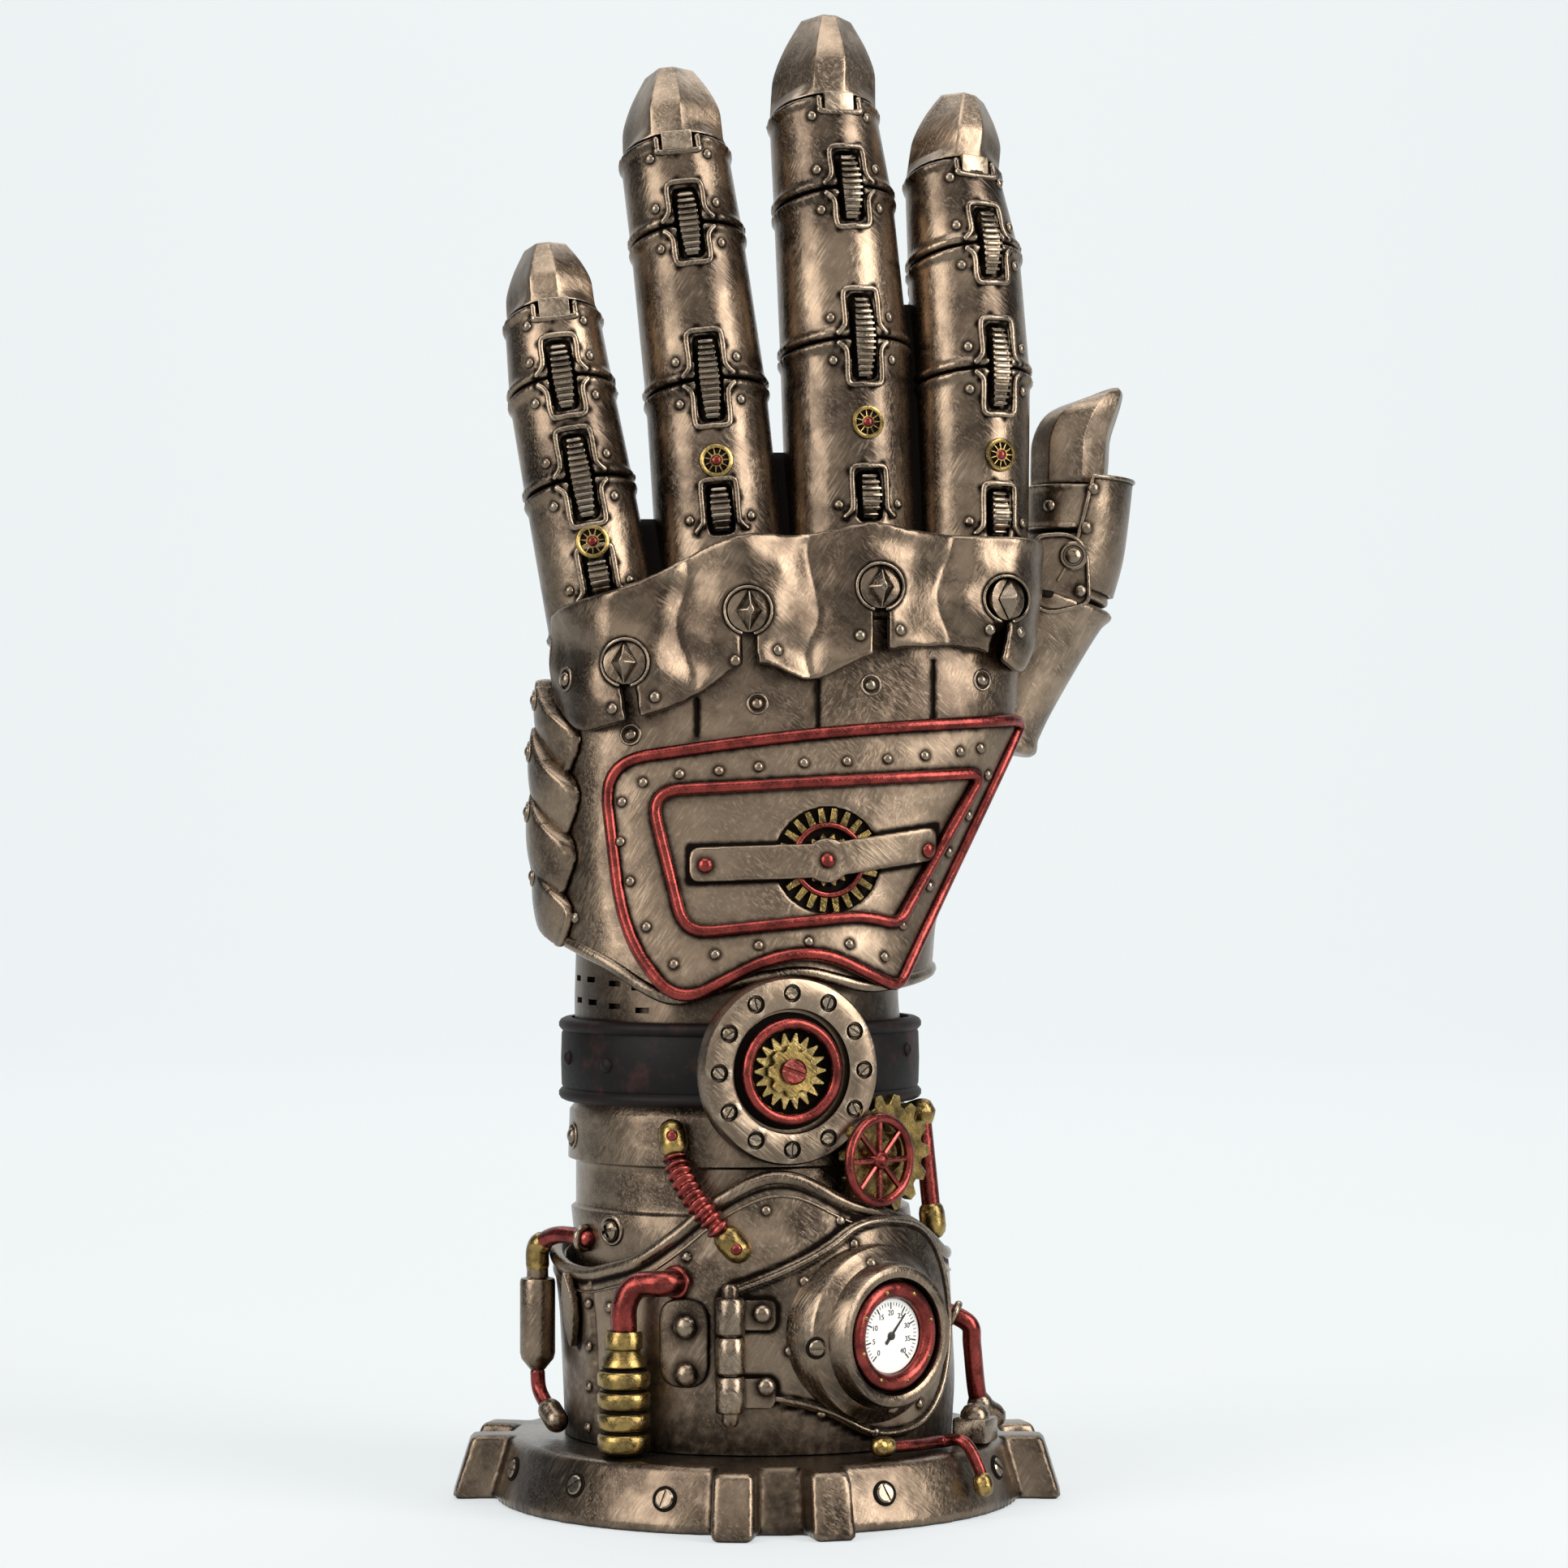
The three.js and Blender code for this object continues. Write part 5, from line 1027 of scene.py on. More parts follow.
class GAUNTLET_OT_forearm(bpy.types.Operator):
    """Make the cuff with its rolled rim, the bracer, the wrist sleeve and the strap"""

    bl_idname = "gauntlet.forearm"
    bl_label = "Forearm"

    def execute(self, context):
        around = np.linspace(-180, 180, 300, endpoint=False)
        top = edge_height(CUFF_EDGE, around)
        seam = np.exp(-((around - CUFF_SEAM) / 0.9) ** 2) * 0.8
        rows = np.linspace(0, 1, 52)
        outer = [cuff_skin.point(around, CUFF_FOOT + (top - CUFF_FOOT) * t, -seam) for t in rows]
        inner = [cuff_skin.point(around, CUFF_FOOT + (top - CUFF_FOOT) * t, -CUFF_WALL) for t in rows[::-3]]
        cuff = finish(loft("forearm_cuff", outer + inner, True), "forearm_cuff_wall", "bronze",
                      "forearm_cuff", material="cuff", sharp=50)
        # A dark line along the seam; painted shade under the rolled rim; painted shade that darkens the cuff
        # towards its foot
        darken_round(cuff, cuff_skin.point(CUFF_SEAM, np.linspace(14, 45, 30)), 1.5)
        darken_round(cuff, cuff_skin.point(around, top - 0.8), 1.3, 0.9)
        darken_round(cuff, cuff_skin.point(around[::4], CUFF_FOOT), 24, 0.6)
        rim = cuff_skin.point(around[::2], top[::2] + 0.9, -0.7)
        rod("cuff_rim", rim, 1.5, 12, "bronze", "cuff_rolled_rim", loop=True)
        line = cuff_skin.point(around[::2], top[::2] - 2.6, 0.05)
        rod("cuff_rim_line", line, 0.32, 8, "bronze", loop=True)

        heights = np.concatenate([np.linspace(*band) for band in BRACER_BANDS])
        bracer = loft("bracer", [bracer_skin.point(around[::2], z, 0) for z in heights])
        finish(bracer, "bracer_bands", "bronze", "bracer", sharp=50)

        sleeve = loft("wrist_sleeve",
                      [sleeve_skin.point(around[::2], z, 0) for z in np.linspace(89.1, 117, 24)])
        ground = Ground(sleeve)
        cutters = [box("slot", (3.1, 1.15, 3), ground.seen(*spot)) for spot in SEEN_AT["sleeve_slots"]]
        finish(cut(sleeve, united("slots", cutters)), "wrist_sleeve_slotted", "dark_bronze", "wrist_sleeve",
               sharp=40)

        strap = loft("strap", [strap_skin.point(around[::2], z, lift) for z, lift in STRAP_PROFILE], True)
        finish(strap, "strap_band", "leather", "leather_strap", sharp=60)
        rivets("strap_studs", Ground(strap), 1.5, 0.9, slot="leather")
        rivets("bracer_rivet", Ground(bracer), 1.7, 1.2, 2.5)

        leaf = rounded(CUFF_LEAF)
        # Painted shadow round the leaf
        darken_round(cuff, cuff_skin.seen(*spaced(leaf, 50).T, 0.2, LEAF_FACING), 1.6)
        leaf = softened(plate("leaf", spaced(leaf, 60), 1.8), 0.3, 3)
        finish(cuff_skin.wrapped(leaf, lambda a, out, up: GAP + out, LEAF_FACING), "cuff_side_leaf", "bronze")

        rivets("cuff_rivets", Ground(cuff), sizes().rivet, 0.75)
        at = Ground(cuff, bracer).seen(*SEEN_AT["cross_screw"][0], 20)
        # Painted shade and grime round the cross-headed screw
        darken_round(bracer, [at.translation / MM], 4.2)
        head = turned("head", [(2.1, -0.8), (2.1, 0.5), (1.9, 1.1), (1.2, 1.6), (0.2, 1.8)], 28)
        cut(head, *(box("cross", size, shift(0, 0, 1.8)) for size in ((2.7, 0.7, 1.8), (0.7, 2.7, 1.8))))
        finish(placed(head, at), "cross_screw", "bronze", material="fastener", sharp=35)
        washer = placed(ring_piece("washer", 2.7, 0.5, 28, 8), at)
        finish(washer, "cross_screw_washer", "bronze")
        return {"FINISHED"}


class GAUNTLET_OT_hand(bpy.types.Operator):
    """Make the hand's shell, its rolled lip, the side scales and the ringed rivets"""

    bl_idname = "gauntlet.hand"
    bl_label = "Hand"

    def execute(self, context):
        around = np.linspace(-180, 180, 320, endpoint=False)
        lip = edge_height(HAND_LIP, around)
        inside = [hand_skin.point(around, lip + rise, -2.4) for rise in (11, 6, 2, 0.4)]
        outside = [hand_skin.point(around, lip + (HAND_TOP - lip) * t, 0) for t in np.linspace(0, 1, 84)]
        shell = loft("hand_shell", inside + outside)
        seams, lines = [], []
        ground = Ground(shell)
        for across, top, bottom in HAND_SEAMS:
            places = [ground.seen(across, y).translation / MM for y in np.linspace(top, bottom, 12)]
            seams.append(sweep("seam", places, 0.3, 6))
            lines += places
        cut(shell, united("seams", seams))
        finish(shell, "hand_shell_cast", "bronze", "hand_shell", sharp=45)
        darken_round(shell, lines, 1.5)
        roll = hand_skin.point(around, lip + 0.4, -0.5)
        rod("hand_lip_roll", roll, 1.4, 10, "bronze", loop=True)
        rivets("knuckle_row_rivets", Ground(shell), 1.35, 1.0, 2.0)
        rivets("wrist_side_rivets", Ground(shell), 1.2, 0.9)
        plates = []
        for number, (z, half, stands) in enumerate(SCALES, 1):
            corners = [(-9, z + half * 0.4, 6), (-3, z + half, 3), (4, z + half * 0.4, 5),
                       (12.5, z - half * 0.3, 5), (8, z - half * 1.2, 1), (-8, z - half * 0.5, 6)]
            leaf = softened(plate("leaf", spaced(rounded(corners), 90), 2.0), 0.5, 1)

            def lift(across, out, up):
                along, round_it = (up - z) / half, across / 14
                swell = stands * (1 - 0.3 * along ** 2 - round_it ** 2) + 0.8 * along
                return 0.3 + out / 2 * np.maximum(1.3, swell)

            hand_skin.wrapped(leaf, lift, SCALE_FACING)
            applied(leaf, "SMOOTH", factor=0.5, iterations=3)
            plates.append(finish(leaf, f"side_scale_{number}_leaf", "bronze", f"side_scale_{number}"))
        ground = Ground(shell, *plates)
        places = []
        for z, half, _ in SCALES:
            middle = hand_skin.point(SCALE_FACING, z + half * 0.42, 0)
            out = Vector((middle[0], middle[1] - 6, 0)).normalized()
            at, normal = ground.hit(Vector(middle) + out * 30, -out)
            places.append(stand(at, normal))
        riveted("scale_rivets", ground, places, 1.3, 0.9, 1.9)
        return {"FINISHED"}


class GAUNTLET_OT_panel(bpy.types.Operator):
    """Make the back panel with its red trims, gear window, bar and rivets"""

    bl_idname = "gauntlet.panel"
    bl_label = "Back panel"

    def execute(self, context):
        x, z = PANEL_GEAR
        outline = spaced(rounded(PANEL_OUTLINE), 260)
        inner = spaced(rounded(PANEL_INSET), 200)
        field = plate("back_panel", inset(outline, 0.6), PANEL_THICKNESS)
        cut(field, plate("well", inner, 4, 1.1), plate("window", disc(x, z, PANEL_WINDOW), 8, -4))
        softened(field, 0.48, 3)
        hand_skin.wrapped(field, lambda across, out, up: GAP + out)
        finish(field, "back_panel_field", "bronze", "back_panel", material="panel")

        def trim(name, loop, lift, radius, node):
            path = hand_skin.seen(loop[:, 0], loop[:, 1], lift)
            for piece in (field, bpy.data.objects["hand_shell_cast"]):
                # Grime and painted shade along both sides of each trim
                darken_round(piece, path, radius + 1.9, 1.15)
                darken_round(piece, path, radius + 6.0, 0.5)
            rod(name, path, radius, 20, "red_enamel", node, loop=True)

        trim("panel_edge_rod", outline, PANEL_THICKNESS, sizes().panel_trim, "panel_edge_trim")
        trim("panel_inset_rod", inset(inner, -0.2), 2.3, sizes().panel_trim * 0.95, "panel_inset_trim")

        # A dark disc of painted shadow on the hand under the gear, inside the window
        floor = plate("window_shadow_disc", disc(x, z, PANEL_WINDOW + 1), 0.2)
        softened(floor, 0.6, 0)
        finish(hand_skin.wrapped(floor, lambda a, out, up: 0.12 + out), "window_shadow_disc", "bronze",
               material="painted_shade")
        seat = hand_skin.place(x, z, 0.6)
        crown = gear("panel_gear", 22, 10.4, 7.6, 0.9, 0.36, 0.66, 6.8)
        hub = gear("hub", 14, 5.4, 4.2, 0.8, 0.2, 0.8, 3.0)
        finish(placed(united("panel_gear", [crown, hub]), seat), "panel_gear_wheel", "brass", "panel_gear",
               sharp=30)
        band = united("band", [ring_piece("band", 7.0, 0.7, 48, 10), ring_piece("band", 3.6, 0.5, 32, 8)])
        placed(band, seat @ shift(0, 0, 0.7))
        finish(band, "panel_gear_bands", "red_enamel")

        bends = ((BAR_ENDS[0], BAR_RISE[0]), (x, 0), (BAR_ENDS[1], BAR_RISE[1]))
        lower = [(a, z + bend * (a - x)) for a, bend in bends]
        corners = [(a, c - BAR_HALF, 2.2) for a, c in lower]
        corners += [(a, c + BAR_HALF, 2.2) for a, c in lower[::-1]]
        bar = plate("bar", spaced(rounded(corners), 140), BAR_THICKNESS)
        boss = plate("boss", disc(x, z, BAR_BOSS), BAR_THICKNESS)
        softened(united("bar", [bar, boss]), 0.34, 4)
        hand_skin.wrapped(bar, lambda a, out, up: 1.9 + out)
        finish(bar, "panel_bar_strip", "bronze", "panel_bar", material="panel")
        # Painted shadow round the bar
        darken_round(field, hand_skin.seen(*spaced(np.array([c[:2] for c in corners]), 240).T, 1.4), 1.8)
        rivets("panel_bar_studs", Ground(bar), 1.6, 1.0, slot="red_enamel")
        rivets("panel_rivets", Ground(field), sizes().rivet, 0.85)
        return {"FINISHED"}


class GAUNTLET_OT_guard(bpy.types.Operator):
    """Make the ridged knuckle guard with its keyholes, diamond studs and rivets"""

    bl_idname = "gauntlet.guard"
    bl_label = "Knuckle guard"

    def lift(self, across, out, up):
        """How far a point of the flat guard stands off the hand."""
        g = GUARD
        swayed = across + g["sway"] * np.sin(up * 0.3 + across * 0.08)
        near = np.min([np.abs(swayed - x - (z - up) * math.tan(math.radians(lean)) * 0.5)
                       for x, z, lean in KNUCKLES], 0)
        ridge = g["ridge"] * (1 - np.minimum(1, near / g["ridge_half"]) ** 1.6)
        ripple = g["ripple"] * np.sin(across * 0.42 + up * 0.21) * np.sin(up * 0.33 - across * 0.12)
        return g["off"] + out / g["drawn"] * (g["body"] + ridge + ripple)

    def execute(self, context):
        drawn = GUARD["drawn"]
        hole, rim, half, long = (KEYHOLE[k] for k in ("hole", "rim", "slot_half", "slot_long"))
        guard = plate("guard", spaced(rounded(GUARD_OUTLINE), 200), drawn)
        rims = []
        for x, z, lean in KNUCKLES:
            cut(guard, plate("hole", disc(x, z, hole), 8, -3))
            foot = x + long * math.tan(math.radians(lean))
            slot = [(x - half, z), (foot - half, z - long), (foot + half, z - long), (x + half, z)]
            cut(guard, plate("slot", slot, 8, -3))
            a = np.radians(np.linspace(-73, 253, 40))
            rims.append((x + rim * np.cos(a), z + rim * np.sin(a)))
        softened(guard, 0.5, 4)
        hand_skin.wrapped(guard, self.lift)
        applied(guard, "SMOOTH", factor=0.5, iterations=9)
        finish(guard, "knuckle_guard_plate", "bronze", "knuckle_guard", material="guard")

        lines = []
        for across, up in rims:
            face = self.lift(across, drawn, up)
            lines.append(sweep("rim", hand_skin.seen(across, up, face - 0.1), 0.34, 8))
            # Painted shade round each keyhole's rim
            darken_round(guard, hand_skin.seen(across, up, face), 1.4)
        finish(united("rims", lines), "keyhole_rims", "bronze")

        places = [hand_skin.place(x, z, float(self.lift(x, drawn, z)) - 1.5) for x, z, _ in KNUCKLES]
        seat = turned("seat", [(4.25, -2), (4.25, 0.5), (4, 0.6), (0.2, 0.6)], 32)
        finish(copies("seats", seat, places), "keyhole_seats", "bronze", sharp=40)
        stud = added("stud", bpy.ops.mesh.primitive_cone_add, vertices=4, radius1=4.5 * MM, radius2=1.1 * MM,
                     depth=2.5 * MM)
        placed(stud, shift(0, 0, 2.1) @ Matrix.Diagonal((0.62, 1, 1, 1)))
        bevelled(stud, 0.15, 1)
        finish(copies("studs", stud, places), "keyhole_diamonds", "bronze", material="fastener", sharp=25)

        ground = Ground(guard)
        rivets("guard_rivets", ground, sizes().rivet + 0.1, 0.8)
        rivets("guard_corner_rivet", ground, 1.5, 1.0, 2.3)
        return {"FINISHED"}


class FingerForm:
    """Places on and along one finger."""

    joints = ("root", "pip", "dip", "cap", "tip")

    def __init__(self, finger):
        self.finger = finger

    def row(self, joint):
        return np.array(getattr(self.finger, joint), float)

    def line(self, joint):
        i = self.joints.index(joint)
        run = self.row(self.joints[min(4, i + 1)])[:3] - self.row(self.joints[max(0, i - 1)])[:3]
        return run / np.linalg.norm(run)

    def axes(self, line):
        turn = math.radians(self.finger.turn)
        along = line / np.linalg.norm(line)
        back = np.array((math.sin(turn), -math.cos(turn), 0.0))
        back -= along * np.dot(back, along)
        back /= np.linalg.norm(back)
        return along, back, np.cross(along, back)

    def span(self, low, high):
        return np.linalg.norm(self.row(high)[:3] - self.row(low)[:3])

    def ring(self, low, high, distance, degrees, swell=0.0, arch=JOINT_ARCH):
        """Points round the finger at a distance past a joint."""
        share = distance / self.span(low, high)
        row = self.row(low) + (self.row(high) - self.row(low)) * share
        along, back, across = self.axes(self.line(low) + (self.line(high) - self.line(low)) * share)
        a = np.radians(np.asarray(degrees, float))[:, None]
        width = row[3] + swell
        round_it = across * np.sin(a) * width + back * np.cos(a) * width * FINGER_DEPTH
        return row[:3] + round_it - along * arch * (1 - np.cos(a))

    def section(self, name, low, high):
        """One finger section with raised beads at both of its edges."""
        span = self.span(low, high)
        bead = sizes().joint_bead
        edge = [(0.12, -0.5), (0.3, 0.3), (0.75, 0.95), (1.3, 1.0), (1.8, 0.55), (2.15, 0.0)]
        stations = [(d, b * bead) for d, b in edge]
        stations += [(d, 0.0) for d in np.linspace(2.7, span - 2.7, max(3, int(span / 3)))]
        stations += [(span - d, b * bead) for d, b in edge[::-1]]
        around = np.linspace(-180, 180, 48, endpoint=False)
        return loft(name, [self.ring(low, high, d, around, swell) for d, swell in stations])

    def cap(self, name):
        """The faceted fingertip with its tongue, narrowing to a flat end."""
        span = self.span("cap", "tip")
        root, end = self.row("cap")[3], self.row("tip")[3]
        angles, flats = [], []
        for a, b in zip(CAP_FACETS, CAP_FACETS[1:] + [CAP_FACETS[0] + 360]):
            for at in np.linspace(a, b, 8)[:-1]:
                angles.append(at)
                flats.append(math.cos(math.radians(b - a) / 2) / math.cos(math.radians(at - (a + b) / 2)))
        rings = []
        for share, wide in spline(CAP_PROFILE, 18):
            sides = 1 + (np.array(flats) - 1) * min(1, share / CAP_ROUND)
            swell = root * wide * sides - (root + (end - root) * share)
            distance, arch = 0.15 + share * (span - 0.15), JOINT_ARCH * (1 - share)
            rings.append(self.ring("cap", "tip", distance, angles, swell[:, None], arch))
        cap = bevelled(loft(name, rings), 0.3, 2, 22)
        foot = self.back_place(*DISTAL, self.span(*DISTAL))
        tongue = bevelled(box("tongue", (TAB_WIDTH, 4, 3), foot @ shift(0, -1.6, -1.3)), 0.2)
        return united(name, [cap, tongue])

    def back_place(self, low, high, distance, lift=0.0):
        """A place on the back of the finger: X across, Y along, Z out."""
        share = distance / self.span(low, high)
        row = self.row(low) + (self.row(high) - self.row(low)) * share
        along, back, across = self.axes(self.line(low) + (self.line(high) - self.line(low)) * share)
        place = Matrix((across, along, back)).transposed().to_4x4()
        place.translation = Vector(row[:3] + back * (row[3] * FINGER_DEPTH + lift)) * MM
        return place

    def surface(self, low, high, across, distance, swell=0.0):
        """A point on the finger at a way across its back and past a joint."""
        share = distance / self.span(low, high)
        width = (self.row(low) + (self.row(high) - self.row(low)) * share)[3]
        return self.ring(low, high, distance, [math.degrees(across / width)], swell)[0]

    def rod(self, low, high, path, radius):
        """A raised rod that follows a path of ways across and along."""
        points = [self.surface(low, high, u, d, 0.1) for u, d in path]
        return sweep("rod", spline(points, 6 * len(points)), radius, 8)

    def stud(self, low, high, across, distance):
        at = self.surface(low, high, across, distance)
        out = self.surface(low, high, across, distance, 1.0) - at
        return stand(at, out)


def knuckle_rack(length):
    """A bowed, lens-shaped strip of narrow teeth, with X across and Y along."""
    half = length / 2

    def height(y):
        return 1.7 * (1 - (y / half) ** 2) - 0.45

    def wide(y):
        return 1.3 + 0.75 * (1 - (y / half) ** 2)

    steps = np.linspace(-half, half, 15)
    body = loft("rack",
                [[(-wide(y) + 0.2, y, -3.2), (wide(y) - 0.2, y, -3.2), (wide(y) - 0.2, y, height(y) - 0.6),
                          (-wide(y) + 0.2, y, height(y) - 0.6)] for y in steps])
    tooth = bevelled(box("tooth", (1, 0.72, 1.6)), 0.16, 1)
    count = int(length / sizes().knuckle_teeth)
    places = []
    for y in (np.arange(count) - (count - 1) / 2) * sizes().knuckle_teeth:
        slope = math.atan2(-3.4 * y / half ** 2, 1)
        tilt = Matrix.Rotation(slope, 4, "X")
        places.append(shift(0, y, height(y) - 0.5) @ tilt @ Matrix.Diagonal((2 * wide(y), 1, 1, 1)))
    return united("rack", [body, copies("teeth", tooth, places)])


def flower_gear():
    """The small brass wheel with pointed petals, dished in a ring."""
    ring = ring_piece("ring", 2.95, 0.52, 36, 8)
    petals = gear("petals", 11, 2.7, 1.3, 0.45, 0.12, 0.4)
    return united("flower", [ring, petals])


class GAUNTLET_OT_fingers(bpy.types.Operator):
    """Make the plated fingers with their knuckle teeth, slot frames, rivets and flower gears"""

    bl_idname = "gauntlet.fingers"
    bl_label = "Fingers"

    def slot(self, form, low, high, distance, length):
        return box("slot", (SLOT_WIDTH, length, 8), form.back_place(low, high, distance) @ shift(0, 0, 1.4))

    def frame_path(self, half, start):
        """Half of a slot's raised frame, from the joint round the slot's end and back."""
        u = SLOT_WIDTH / 2 + 1.05
        left = [(-u - 1.5, start), (-u - 0.5, start + 0.9), (-u, start + 2.2), (-u, half - 0.6),
                (-u + 0.7, half + 0.9)]
        return left + [(0, half + 1.0)] + [(-a, d) for a, d in left[::-1]]

    def execute(self, context):
        flowers, flower_hearts = [], []
        for name, finger in FINGERS.items():
            form = FingerForm(finger)
            root_pip, pip_dip, dip_cap = (form.span(*part) for part in (PROXIMAL, MIDDLE, DISTAL))
            along_z = root_pip / (finger.pip.z - finger.root.z)
            hinge, flower = ((z - finger.root.z) * along_z for z in (finger.hinge, finger.rosette))

            proximal = cut(form.section("proximal", *PROXIMAL),
                           self.slot(form, *PROXIMAL, root_pip, PIP_SLOT),
                           self.slot(form, *PROXIMAL, hinge, HINGE_SLOT))
            middle = cut(form.section("middle", *MIDDLE), self.slot(form, *MIDDLE, 0, PIP_SLOT),
                         self.slot(form, *MIDDLE, pip_dip, DIP_SLOT))
            tab = box("tab", (TAB_WIDTH + 0.8, 5, 4.4), form.back_place(*DISTAL, dip_cap))
            distal = cut(form.section("distal", *DISTAL), self.slot(form, *DISTAL, 0, DIP_SLOT), tab)
            for piece, part in ((proximal, "proximal"), (middle, "middle"), (distal, "distal")):
                softened(piece, sizes().fine, 2)
                finish(piece, f"{name}_{part}_plate", "bronze", f"{name}_{part}")
            finish(form.cap("tip"), f"{name}_tip_cap", "bronze", f"{name}_tip", material="tip", sharp=24)

            places = ((PIP_SLOT - 1.4, form.back_place(*PROXIMAL, root_pip)),
                      (DIP_SLOT - 1.4, form.back_place(*MIDDLE, pip_dip)),
                      (HINGE_SLOT - 1.2, form.back_place(*PROXIMAL, hinge)))
            racks = [placed(knuckle_rack(length), place) for length, place in places]
            finish(united("racks", racks), f"{name}_knuckle_teeth", "bronze", material="fastener", sharp=35)

            frames = []
            notch = TAB_WIDTH / 2 + 1.2
            tongue = [(-notch, 0.9), (-notch, 2.6), (-notch + 0.6, 3.6), (notch - 0.6, 3.6), (notch, 2.6),
                      (notch, 0.9)]
            pip_end, dip_end = self.frame_path(PIP_SLOT / 2, 1.1), self.frame_path(DIP_SLOT / 2, 1.1)
            for piece, low, high, path in (
                    (middle, *MIDDLE, pip_end), (distal, *DISTAL, dip_end),
                    (proximal, *PROXIMAL, [(u, root_pip - d) for u, d in pip_end]),
                    (middle, *MIDDLE, [(u, pip_dip - d) for u, d in dip_end]),
                    (proximal, *PROXIMAL, [(u, hinge + d) for u, d in self.frame_path(HINGE_SLOT / 2, -4)]),
                    (distal, *DISTAL, [(u, dip_cap - d) for u, d in tongue])):
                frames.append(form.rod(low, high, path, sizes().frame_rod))
                # Painted shade beside each frame
                darken_round(piece, read(frames[-1])[::9], 1.5, 0.9)
            finish(united("frames", frames), f"{name}_slot_frames", "bronze")

            studs = [form.stud(*DISTAL, u, dip_cap - 4.2) for u in TIP_STUD_SIDES]
            for low, high, distance in ((*MIDDLE, 4.2), (*DISTAL, 4.0), (*PROXIMAL, root_pip - 4.4),
                                        (*MIDDLE, pip_dip - 4.2), (*PROXIMAL, hinge - 1.5)):
                studs += [form.stud(low, high, u, distance) for u in STUD_SIDES]
            riveted(f"{name}_rivets", Ground(proximal, middle, distal), studs, sizes().rivet, 0.8)
            flowers.append(form.back_place(*PROXIMAL, flower, 0.25))
            flower_hearts.append(form.back_place(*PROXIMAL, flower, 0.5))
        finish(copies("flowers", flower_gear(), flowers), "flower_gears", "brass", sharp=35)
        # A dark disc of painted shade under each flower gear
        seat = turned("seat", [(2.9, -0.8), (2.9, 0.05), (0.2, 0.05)], 24)
        finish(copies("seats", seat, flowers), "flower_shadow_discs", "bronze", material="painted_shade")
        finish(copies("hearts", rivet(1.15, 0.8), flower_hearts), "flower_hearts", "red_enamel")

        # Dark webs of painted shade filling the gaps between the fingers' roots
        webs = []
        for left, right, top in WEBS:
            heights = np.linspace(WEB_FOOT, top, 14)
            ends = []
            for name in (left, right):
                rows = np.array([getattr(FINGERS[name], joint) for joint in FingerForm.joints])
                ends.append(np.stack([np.interp(heights, rows[:, 2], rows[:, k]) for k in (0, 1)], -1))
            middle, half = (ends[0] + ends[1]) / 2, np.abs(ends[1] - ends[0])[:, 0] / 2
            a = np.radians(np.linspace(0, 360, 24, endpoint=False))
            rings = []
            for (x, y), wide, z, t in zip(middle, half * 0.75, heights, np.linspace(0, 1, 14)):
                deep = 1.5 + 6 * math.sqrt(1 - t)
                rings.append(np.stack([x + wide * np.cos(a), y + 3 + deep * np.sin(a), np.full(24, z)], -1))
            webs.append(loft("web", rings))
        finish(united("webs", webs), "finger_gap_shadows", "dark_bronze", material="painted_shade")

        form = FingerForm(FINGERS["index"])
        hose = [form.ring(*PROXIMAL, d, [-160], 1.7, 0)[0] for d in (20, 30, 40, 50)]
        hose += [form.ring(*MIDDLE, d, [-160], 1.7, 0)[0] for d in (2, 13, 24)]
        rod("index_hose_ribbed", spline(hose, 60), ribbed(1.7, 0.25, 26), 12, "red_enamel", "index_hose")
        return {"FINISHED"}


